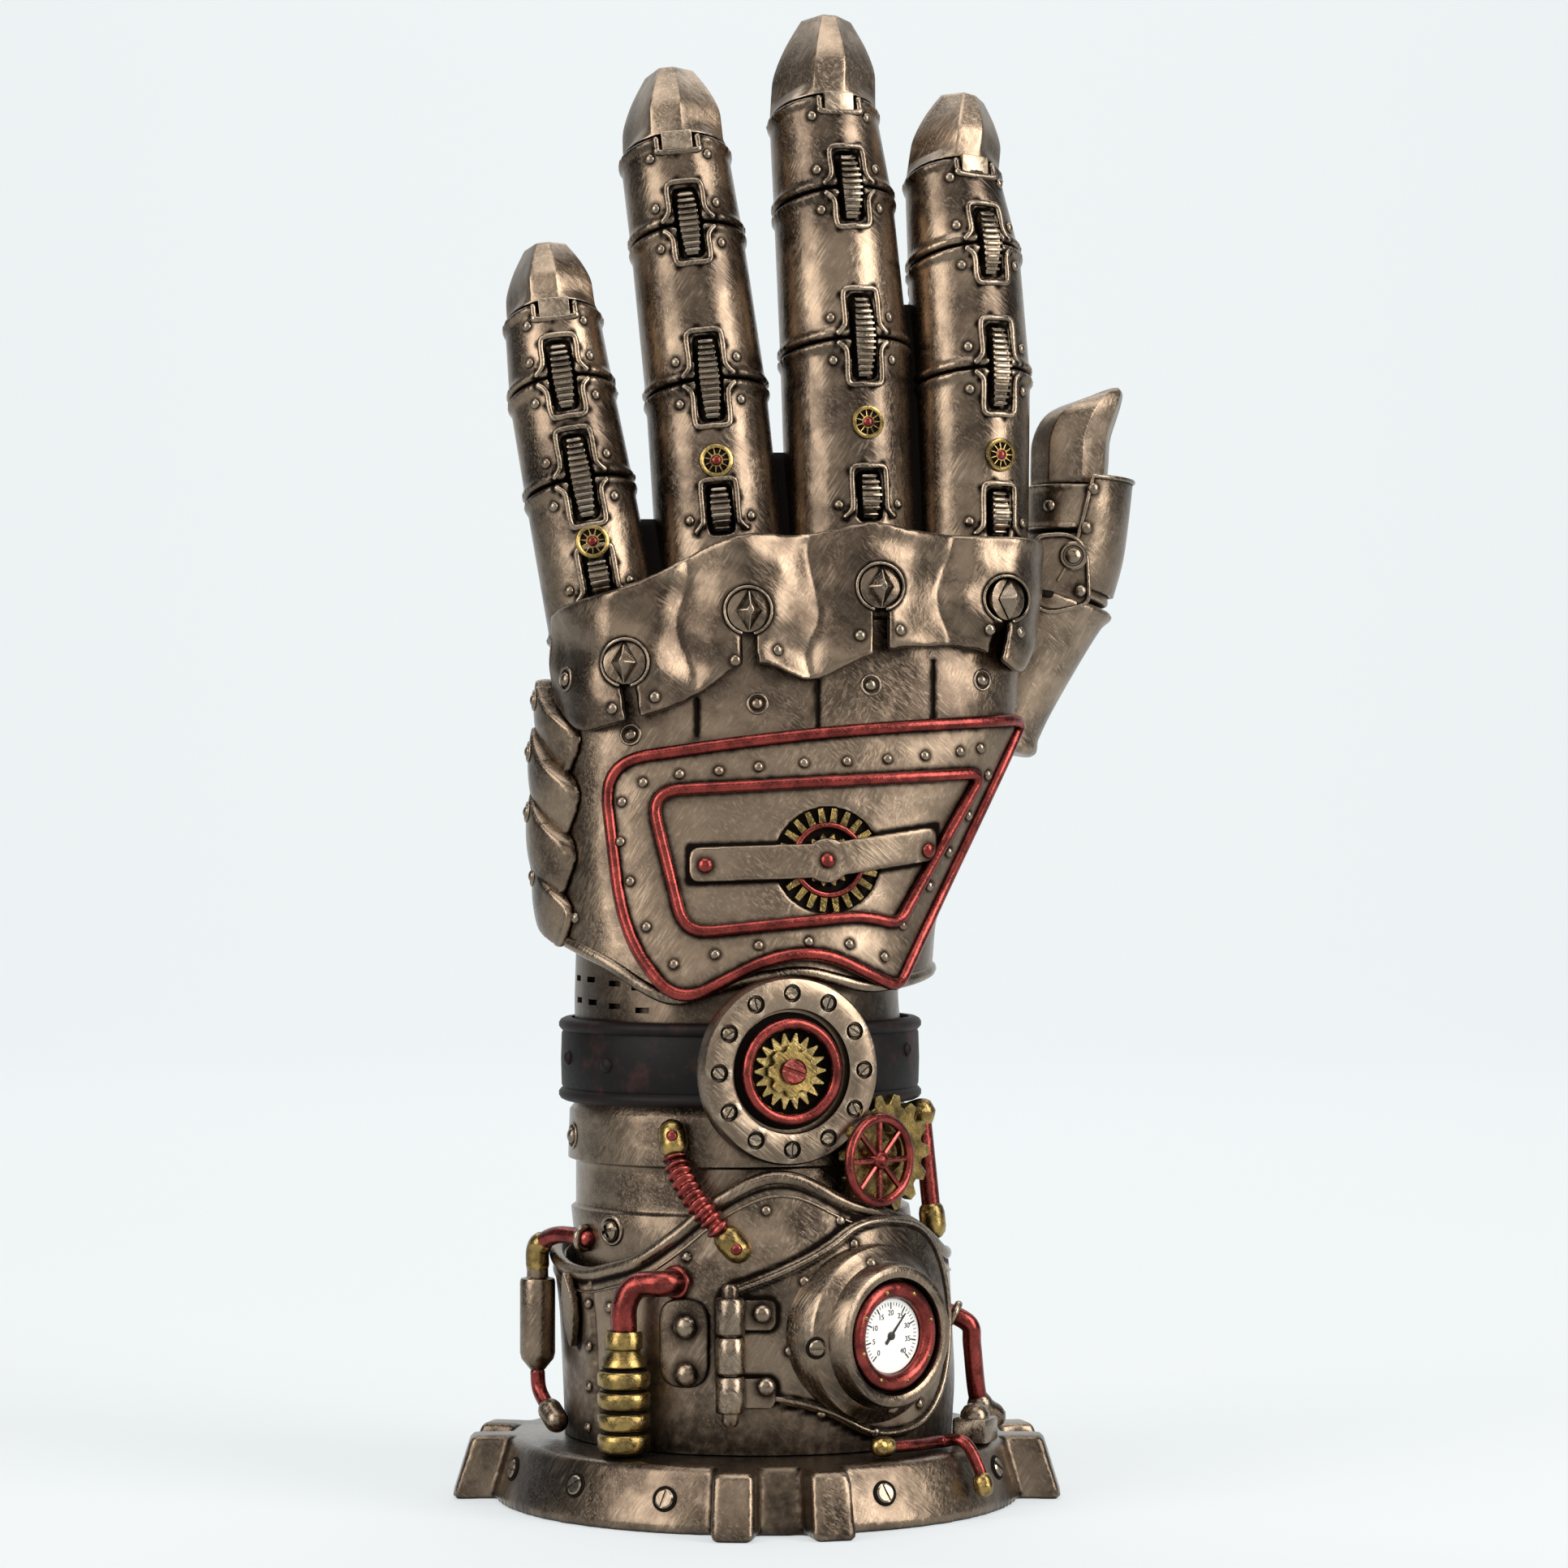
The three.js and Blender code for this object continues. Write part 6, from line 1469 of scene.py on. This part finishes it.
class GAUNTLET_OT_thumb(bpy.types.Operator):
    """Make the thumb's flared sleeve, pivot link, collar and faceted tip"""

    bl_idname = "gauntlet.thumb"
    bl_label = "Thumb"

    def ring(self, row, around, swell=0.0):
        x, y, z, width, lean = row
        along = Vector((math.sin(math.radians(lean)), 0, math.cos(math.radians(lean))))
        back = Vector((math.sin(math.radians(THUMB_TURN)), -math.cos(math.radians(THUMB_TURN)), 0))
        back = (back - along * back.dot(along)).normalized()
        across = along.cross(back)
        a = np.radians(around)[:, None]
        across, back, along = (np.array(v) for v in (across, back, along))
        round_it = across * np.sin(a) * (width + swell) + back * np.cos(a) * (width + swell) * FINGER_DEPTH
        return np.array((x, y, z)) + round_it - along * THUMB_ARCH * (1 - np.cos(a))

    def execute(self, context):
        around = np.linspace(-180, 180, 48, endpoint=False)
        edge = [-0.5, 0.45, 0.75, 0.5, 0.0]
        made = {}
        for part, rows in THUMB.items():
            path = spline(rows, 26)
            swell = np.concatenate([edge, np.zeros(16), edge[::-1]])
            piece = loft(part, [self.ring(row, around, s) for row, s in zip(path, swell)])
            softened(piece, sizes().fine, 2)
            made[part] = finish(piece, f"thumb_{part}_plate", "bronze", f"thumb_{part}", material="tip")
        rows = spline(THUMB_TIP, 20)
        tip = bevelled(loft("tip", [self.ring(row, THUMB_FACETS) for row in rows]), 0.3, 2, 22)
        finish(tip, "thumb_tip_cap", "bronze", "thumb_tip", material="tip", sharp=24)

        rings, edge = [], []
        for row, start in zip(spline(THUMB_BAND, 18), np.linspace(*THUMB_BAND_EDGE, 18)):
            arc = np.linspace(start, 150, 40)
            rings.append(np.vstack([self.ring(row, arc), self.ring(row, arc[::-1], -1.4)]))
            edge.append(rings[-1][0])
        band = finish(softened(loft("band", rings), 0.45, 2), "thumb_band", "bronze")
        edge += [rings[-1][i] for i in range(1, 30)]
        rod("thumb_band_edge", edge, 0.5, 8, "bronze")
        outline = spaced(rounded(THUMB_LUG), 100)
        lug = finish(softened(plate("lug", outline, 2.2, THUMB_LUG_DEPTH), 0.4, 2), "thumb_lug", "bronze")
        path = [(x, THUMB_LUG_DEPTH, z) for x, z in inset(outline, 0.5)]
        rod("thumb_lug_edge", path, 0.5, 8, "bronze", loop=True)
        # Painted shade beside the band's and the lug's raised edges
        darken_round(band, edge, 1.5)
        darken_round(lug, path, 1.5)

        ground = Ground(band, lug, *made.values())
        profile = [(3, -2), (3, 0.6), (2.6, 1), (2.2, 1), (2, 0.6), (1.7, 0.6), (1.5, 1.4), (0.8, 1.8),
                   (0.2, 1.9)]
        pivot = turned("pivot", profile, 32)
        at = ground.seen(*SEEN_AT["thumb_pivot"][0])
        # Painted shade round the pivot
        darken_round(lug, [at.translation / MM], 4.4)
        finish(placed(pivot, at), "thumb_pivot", "bronze", material="fastener", sharp=40)
        # A dark disc of painted shade in the thumb's hole
        hole = turned("hole", [(1.7, -0.5), (1.7, 0.1), (0.2, 0.1)], 24)
        finish(placed(hole, ground.seen(*SEEN_AT["thumb_hole_shadow"][0])), "thumb_hole_shadow", "bronze", material="painted_shade")
        rivets("thumb_rivets", ground, 1.4, 1.0)
        return {"FINISHED"}


class GAUNTLET_OT_medallion(bpy.types.Operator):
    """Make the wrist medallion with its screws, red ring and stacked gears"""

    bl_idname = "gauntlet.medallion"
    bl_label = "Wrist medallion"

    def execute(self, context):
        m = MEDALLION
        at = strap_skin.point(m["angle"], m["z"], 2.9)
        place = facing(m["facing"], at)
        radius, thick, well, floor = (m[k] for k in ("radius", "thickness", "well", "floor"))
        profile = [
            (0.3, -6), (radius - 6, -6), (radius - 0.6, -0.6), (radius, 0.2), (radius, thick - 1.4),
            (radius - 0.4, thick - 0.6), (radius - 1.2, thick - 0.3), (radius - 2.2, thick - 0.2),
            (well + 0.7, thick), (well + 0.2, thick - 0.3), (well, thick - 0.8), (well, floor), (0.3, floor)]
        body = turned("disc", profile, 96)
        turns = all_round(sizes().medallion_screws)
        spot = shift(0, m["screws"], thick - 0.1)
        pit = turned("pit", [(m["pit"], -1), (m["pit"], 2)], 20)
        cut(body, copies("pits", pit, [turn @ spot for turn in turns]))
        finish(placed(body, place), "medallion_plate", "bronze", "medallion_disc", material="panel", sharp=35)
        sunk = spot @ shift(0, 0, -0.8)
        spins = [turn @ sunk @ Matrix.Rotation(1.3 * i, 4, "Z") for i, turn in enumerate(turns)]
        heads = copies("heads", screw(1.3, 0.7), spins)
        finish(placed(heads, place), "medallion_screws", "bronze", material="fastener", sharp=35)

        base = place @ shift(0, 0, floor)
        ring = ring_piece("ring", m["red_ring"], 1.15, 72, 16)
        finish(placed(ring, base @ shift(0, 0, 2)), "medallion_red_ring", "red_enamel", "medallion_ring")
        lower = gear("lower", 18, 7.7, 5.7, 1.2, 0.2, 0.86)
        boss = placed(turned("boss", [(4.1, 0), (4.1, 2)], 24), shift(0, 0, 0.4))
        upper = placed(gear("upper", 8, 5.2, 4.2, 1.0, 0.46, 0.8), shift(0, 0, 1.7))
        finish(placed(united("gears", [lower, boss, upper]), base), "medallion_gears", "brass",
               "medallion_gear", sharp=30)
        head = placed(screw(2.6, 1.1), shift(0, 0, 2.8) @ Matrix.Rotation(-0.35, 4, "Z"))
        finish(placed(head, base), "medallion_centre_screw", "red_enamel", sharp=35)
        # A dark disc of painted shade on the well's floor under the gears
        well_shadow = turned("well", [(11.6, 0), (11.6, 0.15), (0.2, 0.15)], 48)
        finish(placed(well_shadow, base), "medallion_well_shadow", "bronze", material="painted_shade")
        return {"FINISHED"}


class GAUNTLET_OT_gauge(bpy.types.Operator):
    """Make the gauge with its dial, the hinged door and the oval plate"""

    bl_idname = "gauntlet.gauge"
    bl_label = "Gauge and door"

    def dial(self, base):
        """A white face with ticks, round numbers and a needle."""
        d = DIAL
        radius = d["radius"]
        face = turned("dial", [(radius, 0), (radius, 1.0), (radius - 0.2, 1.2), (0.2, 1.2)], 56)
        finish(placed(face, base), "gauge_dial_face", "dial", "gauge_dial", sharp=35)
        top = base @ shift(0, 0, 1.25)
        marks = []
        for i in range(d["ticks"] + 1):
            turn = spun(d["scale"] * (0.5 - i / d["ticks"]))
            wide, long = (0.26, 1.3) if i % 5 == 0 else (0.12, 0.7)
            marks.append(box("tick", (wide, long, 0.06), top @ turn @ shift(0, d["tick_end"] - long / 2, 0)))
        for i in range(d["numbers"] + 1):
            a = math.radians(d["scale"] * (0.5 - i / d["numbers"]))
            label = added("number", bpy.ops.object.text_add)
            label.data.body = str(5 * i)
            label.data.size = 1.5 * MM
            label.data.extrude = 0.03 * MM
            label.data.align_x = "CENTER"
            label.data.align_y = "CENTER"
            bpy.ops.object.convert(target="MESH")
            label = bpy.context.active_object
            at = shift(-d["number_at"] * math.sin(a), d["number_at"] * math.cos(a), 0)
            marks.append(placed(label, top @ at))
        outline = ((-0.32, -2), (0.32, -2), (0.06, 5.6), (-0.06, 5.6))
        needle = loft("needle", [[(x, y, z) for x, y in outline] for z in (0, 0.25)])
        hub = turned("hub", [(0.8, 0), (0.8, 0.4), (0.5, 0.6), (0.1, 0.6)], 20)
        marks += [placed(needle, top @ spun(d["needle"])), placed(hub, top)]
        finish(united("marks", marks), "gauge_dial_marks", "dial", material="ink", sharp=30)

    def execute(self, context):
        g = GAUGE
        raised = GAP + g["door_thickness"]
        outline = spaced(rounded(DOOR_OUTLINE), 260)
        outline[:, 1] += g["z"]
        outline[:, 1] = np.maximum(outline[:, 1], CUFF_FOOT + 0.4)
        door = softened(plate("door", outline, g["door_thickness"]), 0.5, 3)
        cuff_skin.wrapped(door, lambda a, out, up: GAP + out, g["door"])
        finish(door, "gauge_door_plate", "bronze", "gauge_door")
        line = inset(outline, 1.0)
        path = cuff_skin.seen(line[:, 0], line[:, 1], raised, g["door"])
        rod("gauge_door_edge", path, 0.6, 8, "bronze", loop=True)
        # Painted shade inside the door's edge rod, and painted shadow on the cuff round the door
        darken_round(door, cuff_skin.seen(*inset(outline, 2.0).T, raised, g["door"]), 0.9, 0.9)
        darken_round(bpy.data.objects["forearm_cuff_wall"], cuff_skin.seen(*outline.T, 0.2, g["door"]), 1.5)

        at = cuff_skin.point(g["angle"], g["z"], raised)
        place = facing(g["facing"], at)
        flange, rim, high, bore, floor = (g[k] for k in ("flange", "rim", "height", "bore", "floor"))
        profile = [
            (0.3, -9), (flange, -9), (flange, 0.7), (flange - 0.4, 1.4), (flange - 1.3, 1.8),
            (rim + 2.6, 2.4), (rim + 1.6, 3), (rim + 1.1, high - 1), (rim + 0.7, high - 0.3), (rim, high),
            (bore + 0.7, high), (bore + 0.2, high - 0.3), (bore, high - 0.9), (bore, floor), (0.3, floor)]
        housing = turned("housing", profile, 96)
        finish(placed(housing, place), "gauge_housing_cast", "bronze", "gauge_housing", sharp=35)
        base = place @ shift(0, 0, floor)
        ring = ring_piece("ring", g["red_ring"], 1.75, 72, 16)
        finish(placed(ring, base @ shift(0, 0, 1.6)), "gauge_red_ring", "red_enamel", "gauge_ring")
        studs = [base @ turn @ spun(math.degrees(0.3)) @ shift(0, g["red_ring"], 3.2)
                 for turn in all_round(8)]
        finish(copies("studs", rivet(0.45, 0.4), studs), "gauge_ring_studs", "brass")
        self.dial(base)

        h = HINGE
        at = cuff_skin.point(h["angle"], 30, raised + GAP + h["radius"] + 0.4)
        profile = [(0.3, -2.4), (1.2, -2.3), (1.7, -1.6), (1.7, -0.3)]
        third = (h["high"] - h["low"]) / 3
        for i in range(3):
            a, b = i * third, (i + 1) * third
            profile += [(1.7, a + 0.15), (2.6, a + 0.3), (2.9, a + 0.7), (2.9, b - 0.7), (2.6, b - 0.3),
                        (1.7, b - 0.15)]
        top = 3 * third
        profile += [(1.7, top + 1.6), (1.2, top + 2.3), (0.3, top + 2.4)]
        barrel = placed(turned("barrel", profile, 28), shift(at[0], at[1], h["low"]))
        leaves = []
        for z in (h["low"] + third / 2, h["high"] - third / 2):
            corners = [(-1, z - 3, 0.4), (8.5, z - 3, 2), (8.5, z + 3, 2), (-1, z + 3, 0.4)]
            leaf = softened(plate("leaf", spaced(rounded(corners), 80), 1.5), 0.3, 3)
            # Painted shadow of the hinge leaf on the door
            darken_round(door, cuff_skin.seen(*spaced(rounded(corners), 50).T, raised, h["angle"]), 1.7)
            cuff_skin.wrapped(leaf, lambda a, out, up: raised + GAP + 0.2 + out, h["angle"])
            leaves.append(leaf)
        ground = Ground(*leaves)
        hinge = finish(united("hinge", [barrel] + leaves), "door_hinge_cast", "bronze", "door_hinge",
                       sharp=40)
        ground.pieces = (hinge,)
        rivets("hinge_rivets", ground, 1.9, 1.3)

        corners = [(sx * 5.2, 35.2 + sz * 8.8, 4.8) for sx, sz in ((-1, -1), (1, -1), (1, 1), (-1, 1))]
        oval = softened(plate("oval", spaced(rounded(corners), 90), 1.2), 0.34, 3)
        cuff_skin.wrapped(oval, lambda a, out, up: GAP + out, OVAL_FACING)
        finish(oval, "oval_plate_cast", "bronze", "oval_plate")
        # Painted shade along the oval plate's edge
        darken_round(oval, cuff_skin.seen(*spaced(rounded(corners), 60).T, GAP + 0.6, OVAL_FACING), 1.3)
        rivets("oval_plate_rivets", Ground(oval), 2.5, 1.8)

        rivets("door_rivets", Ground(door), sizes().rivet, 0.8)
        ground = Ground(housing)
        screws("flange_screw", ground, 1.6, 0.8)
        rivets("flange_rivets", ground, 1.3, 0.9)
        return {"FINISHED"}


class GAUNTLET_OT_left_fittings(bpy.types.Operator):
    """Make the brass bulb with its elbow, the ribbed hose and the canister with its pipes"""

    bl_idname = "gauntlet.left_fittings"
    bl_label = "Fittings on the left"

    def execute(self, context):
        foot = cuff_skin.point(*FITTED_AT["bulb"])
        profile = [(0.3, 0), (3.6, 0), (4.6, 0.6)]
        for i in range(4):
            a = 0.8 + i * 4.1
            profile += [(4.9, a + 0.3), (5.2, a + 0.8), (5.25, a + 2.9), (4.9, a + 3.4), (4.3, a + 3.6),
                        (4.2, a + 3.9)]
        profile += [(4.6, 17.6), (4.3, 18.8), (3.3, 20), (3.3, 20.6), (3.7, 21), (3.7, 23.6), (3.4, 24.3),
                    (0.3, 24.3)]
        bulb = placed(turned("bulb", profile, 36), shift(foot[0], foot[1], CUFF_FOOT))
        finish(bulb, "brass_bulb_ribbed", "brass", "brass_bulb", sharp=40)
        # Grime and painted shade in the grooves between the bulb's ribs
        circle = disc(foot[0], foot[1], 4.2, 60)
        darken_round(bulb, [(x, y, CUFF_FOOT + h) for h in (0.4, 4.6, 8.7, 12.8, 16.9, 20.4) for x, y in circle],
              1.1, 1.2)

        top = CUFF_FOOT + 24.6
        port = cuff_skin.point(-20.5, top + 9.2, -0.6)
        mouth = cuff_skin.point(-22, top + 9.2, 4.2)
        path = [(foot[0], foot[1], top), (foot[0] + 0.2, foot[1], top + 5),
                (foot[0] + 2.6, foot[1] + 0.2, top + 8.5), mouth, port]
        rod("bulb_elbow_pipe", spline(path, 40), 2.6, 16, "red_enamel", "bulb_elbow")
        way = Vector(mouth) - Vector(port)
        collar = placed(ring_piece("collar", 2.7, 0.7, 32, 10), stand(Vector(port) + way * 0.3, way))
        finish(collar, "bulb_elbow_collar", "red_enamel")

        path = spline(HOSE_PATH, 120)
        rod("corrugated_hose_ribbed", path[8:-8], ribbed(2.2, 0.5, 13), 16, "red_enamel", "corrugated_hose")
        ends = [sweep("end", path[:14], 2.9, 16), sweep("end", path[-14:], 2.9, 16)]
        finish(united("ends", ends), "hose_ends", "brass")
        places = [stand(Vector(path[2]) + Vector((0, -2.7, 0)), (-0.1, -1, 0.15)),
                  stand(Vector(path[-3]) + Vector((0, -2.7, 0)), (0, -1, -0.1))]
        finish(copies("dots", rivet(1.2, 0.8), places), "hose_end_dots", "red_enamel")

        can = cuff_skin.point(*FITTED_AT["canister"])
        body = turned("can", [
            (0.3, -3), (1.5, -3), (2, -2.4), (3.3, -0.8), (3.6, 0.4), (3.6, 14.8), (3.4, 15.5), (2.6, 15.6),
            (2.2, 15.9), (2.2, 17.4), (0.3, 17.5)], 32)
        finish(placed(body, shift(can[0], can[1], CANISTER_BASE)), "canister_body", "bronze", "canister",
               sharp=40)
        above = CANISTER_BASE + 18.2
        inlet = bracer_skin.point(-62, above + 6.4, 0.6)
        start = Vector((can[0], can[1], above))
        upper = [start, start + Vector((0.4, -0.6, 4)), start + Vector((4.4, -5, 6.6)), inlet]
        pipe = spline(upper, 40)
        rod("canister_inlet_pipe", pipe, 1.8, 12, "red_enamel", "canister_inlet")
        rod("canister_inlet_elbow", pipe[:16], 2.4, 14, "brass")
        way = Vector(pipe[-3]) - Vector(pipe[-1])
        flange = placed(ring_piece("flange", 2.1, 0.8, 28, 10), stand(Vector(pipe[-1]) + way, way))
        finish(flange, "canister_inlet_flange", "bronze")
        below = CANISTER_BASE - 3.6
        outlet = cuff_skin.point(-75, below - 9, 2.6)
        lower = [(can[0], can[1], below), (can[0] + 0.6, can[1] - 0.6, below - 4), outlet]
        pipe = spline(lower, 30)
        rod("canister_outlet_pipe", pipe, 1.5, 12, "red_enamel", "canister_outlet")
        rod("canister_outlet_knob", pipe[-7:], 2.5, 14, "bronze")
        return {"FINISHED"}


class GAUNTLET_OT_right_fittings(bpy.types.Operator):
    """Make the hand wheel over its gear, the side pipe and the fittings on the stand"""

    bl_idname = "gauntlet.right_fittings"
    bl_label = "Fittings on the right"

    def execute(self, context):
        w = WHEEL
        seat = bracer_skin.point(w["angle"], w["z"])
        wheel_place = facing(w["facing"], seat, w["lift"])
        rim = ring_piece("rim", w["rim"], 1.05, 56, 12)
        spoke = sweep("spoke", [(0, 0, 0), (w["rim"] * 0.5, 0, 0), (w["rim"], 0, 0)], 0.62, 8)
        spokes = copies("spokes", spoke, all_round(8))
        hub = turned("hub", [(1.9, -2), (1.9, 0.6), (1.5, 1.1), (1.2, 1.1), (0.9, 1.7), (0.2, 1.9)], 24)
        wheel = placed(united("wheel", [rim, spokes, hub]), wheel_place)
        finish(wheel, "hand_wheel_cast", "red_enamel", "hand_wheel", sharp=40)
        gear_place = facing(w["facing"], seat, w["gear_lift"]) @ shift(w["gear_side"], w["gear_rise"], 0)
        big = gear("gear", 14, 11.8, 9.8, 2.2, 0.34, 0.74, 4.0)
        axle = turned("axle", [(2.6, -5), (2.6, 2.0), (0.2, 2.2)], 20)
        web = turned("web", [(9.6, -0.4), (9.6, 0.6), (0.2, 0.6)], 40)
        finish(placed(united("gear", [big, axle, web]), gear_place), "wheel_gear_cast", "brass", "wheel_gear",
               sharp=30)

        high, low, elbow = (Vector(bracer_skin.point(*FITTED_AT[f"side_pipe_{end}"]))
                            for end in ("high", "low", "elbow"))
        path = spline([elbow, high + Vector((0, 0, 2)), high, (high + low) / 2, low], 60)
        rod("side_pipe_rod", path, 1.9, 14, "red_enamel", "side_pipe")
        ends = [sweep("elbow", path[:28], 2.5, 14), sweep("ball", path[-6:], 2.7, 14)]
        finish(united("ends", ends), "side_pipe_ends", "brass")

        block = cuff_skin.point(*FITTED_AT["stand_block"])
        turn = shift(block[0], block[1], CUFF_FOOT + 2.4) @ spun(FITTED_AT["stand_block"][0])
        body = bevelled(box("block", (7.4, 7.4, 5.0), turn), 0.7, 2)
        dome = turned("dome", [(3, 0), (2.9, 1), (2.2, 2.1), (1.2, 2.7), (0.2, 2.9)], 28)
        placed(dome, shift(block[0], block[1], CUFF_FOOT + 4.8))
        finish(united("fitting", [body, dome]), "base_fitting_cast", "bronze", "base_fitting", sharp=40)

        path = spline([cuff_skin.point(*place) for place in DRAIN_PATH], 50)
        rod("cuff_drain_pipe", path, 1.9, 14, "red_enamel", "cuff_drain")
        rod("cuff_drain_coupler", path[-12:], 2.6, 14, "bronze")
        flange = placed(ring_piece("flange", 2.3, 0.8, 28, 10),
                        stand(Vector(path[3]), Vector(path[3]) - Vector(path[0])))
        finish(flange, "cuff_drain_flange", "bronze")

        feed = []
        for radius, rise, angle in FEED_PATH:
            a = math.radians(angle)
            feed.append((radius * math.sin(a), -radius * math.cos(a), CUFF_FOOT + rise))
        path = spline(feed, 70)
        rod("rim_feed_pipe", path, 1.25, 12, "red_enamel", "rim_feed")
        knobs = [sweep("knob", path[:5], 2.0, 14), sweep("knob", path[-6:], 2.0, 14)]
        finish(united("knobs", knobs), "rim_feed_knobs", "brass")
        return {"FINISHED"}


class GAUNTLET_OT_stage(bpy.types.Operator):
    """Set the pale floor, the soft lights and the camera"""

    bl_idname = "gauntlet.stage"
    bl_label = "Stage"

    def lamp(self, name, at, target, size, energy, colour):
        light = added(name, bpy.ops.object.light_add, type="AREA", location=at)
        light.rotation_euler = (Vector(target) - Vector(at)).to_track_quat("-Z", "Y").to_euler()
        light.data.shape = "RECTANGLE"
        light.data.size, light.data.size_y = size
        light.data.energy = energy
        light.data.color = colour
        return light

    def execute(self, context):
        bend = FLOOR_BEND
        profile = [(FLOOR_FRONT, 0), (FLOOR_BACK, 0)]
        profile += [(FLOOR_BACK + bend * math.sin(a), bend - bend * math.cos(a))
                    for a in np.linspace(0.1, math.pi / 2, 12)]
        profile += [(FLOOR_BACK + bend, WALL_TOP)]
        points = [(x, y, z) for y, z in profile for x in (-FLOOR_SIDE, FLOOR_SIDE)]
        faces = [[2 * i, 2 * i + 1, 2 * i + 3, 2 * i + 2] for i in range(len(profile) - 1)]
        mesh = bpy.data.meshes.new("floor")
        mesh.from_pydata((np.array(points) * MM).tolist(), [], faces)
        floor = link("floor", mesh)
        pale = FinishNodes("pale_floor", roughness=0.9, emission_strength=FLOOR_GLOW_STRENGTH)
        floor.data.materials.append(pale.feed(base_color=FLOOR_COLOUR, emission_color=FLOOR_GLOW))
        only(floor)
        bpy.ops.object.shade_smooth()
        lamps = [self.lamp(name, *row) for name, row in LAMPS.items()]
        world = context.scene.world or bpy.data.worlds.new("studio")
        context.scene.world = world
        world.use_nodes = True
        sky = world.node_tree.nodes["Background"]
        sky.inputs["Color"].default_value = (*SKY_COLOUR, 1)
        sky.inputs["Strength"].default_value = SKY_STRENGTH

        camera = added("Camera", bpy.ops.object.camera_add, location=EYE * MM, rotation=(math.pi / 2, 0, 0))
        camera.data.sensor_fit = "HORIZONTAL"
        camera.data.sensor_width = SENSOR
        camera.data.lens = FOCAL / PICTURE * SENSOR
        camera.data.clip_start = 0.01
        camera.data.clip_end = 20
        context.scene.camera = camera
        context.scene.view_settings.view_transform = "Standard"
        return {"FINISHED"}


STEPS = (
    GAUNTLET_OT_finishes, GAUNTLET_OT_base, GAUNTLET_OT_forearm, GAUNTLET_OT_hand, GAUNTLET_OT_panel,
    GAUNTLET_OT_guard, GAUNTLET_OT_fingers, GAUNTLET_OT_thumb, GAUNTLET_OT_medallion, GAUNTLET_OT_gauge,
    GAUNTLET_OT_left_fittings, GAUNTLET_OT_right_fittings, GAUNTLET_OT_stage,
)


class GAUNTLET_PT_panel(bpy.types.Panel):
    """Lists the steps that dress the gauntlet"""

    bl_idname = "GAUNTLET_PT_panel"
    bl_label = "Gauntlet"
    bl_space_type = "VIEW_3D"
    bl_region_type = "UI"
    bl_category = "Gauntlet"

    def draw(self, context):
        for step in STEPS:
            self.layout.operator(step.bl_idname)
        for group in (context.scene.gauntlet_sizes, context.scene.gauntlet_finishes):
            for key in group.bl_rna.properties.keys():
                if key not in ("rna_type", "name"):
                    self.layout.prop(group, key)


CLASSES = (GauntletFinishes, GauntletSizes) + STEPS + (GAUNTLET_PT_panel,)


def register():
    for cls in CLASSES:
        bpy.utils.register_class(cls)
    bpy.types.Scene.gauntlet_finishes = PointerProperty(type=GauntletFinishes)
    bpy.types.Scene.gauntlet_sizes = PointerProperty(type=GauntletSizes)


def unregister():
    del bpy.types.Scene.gauntlet_sizes
    del bpy.types.Scene.gauntlet_finishes
    for cls in reversed(CLASSES):
        bpy.utils.unregister_class(cls)


def main():
    register()
    for step in STEPS:
        group, name = step.bl_idname.split(".")
        getattr(getattr(bpy.ops, group), name)()


if __name__ == "__main__":
    main()
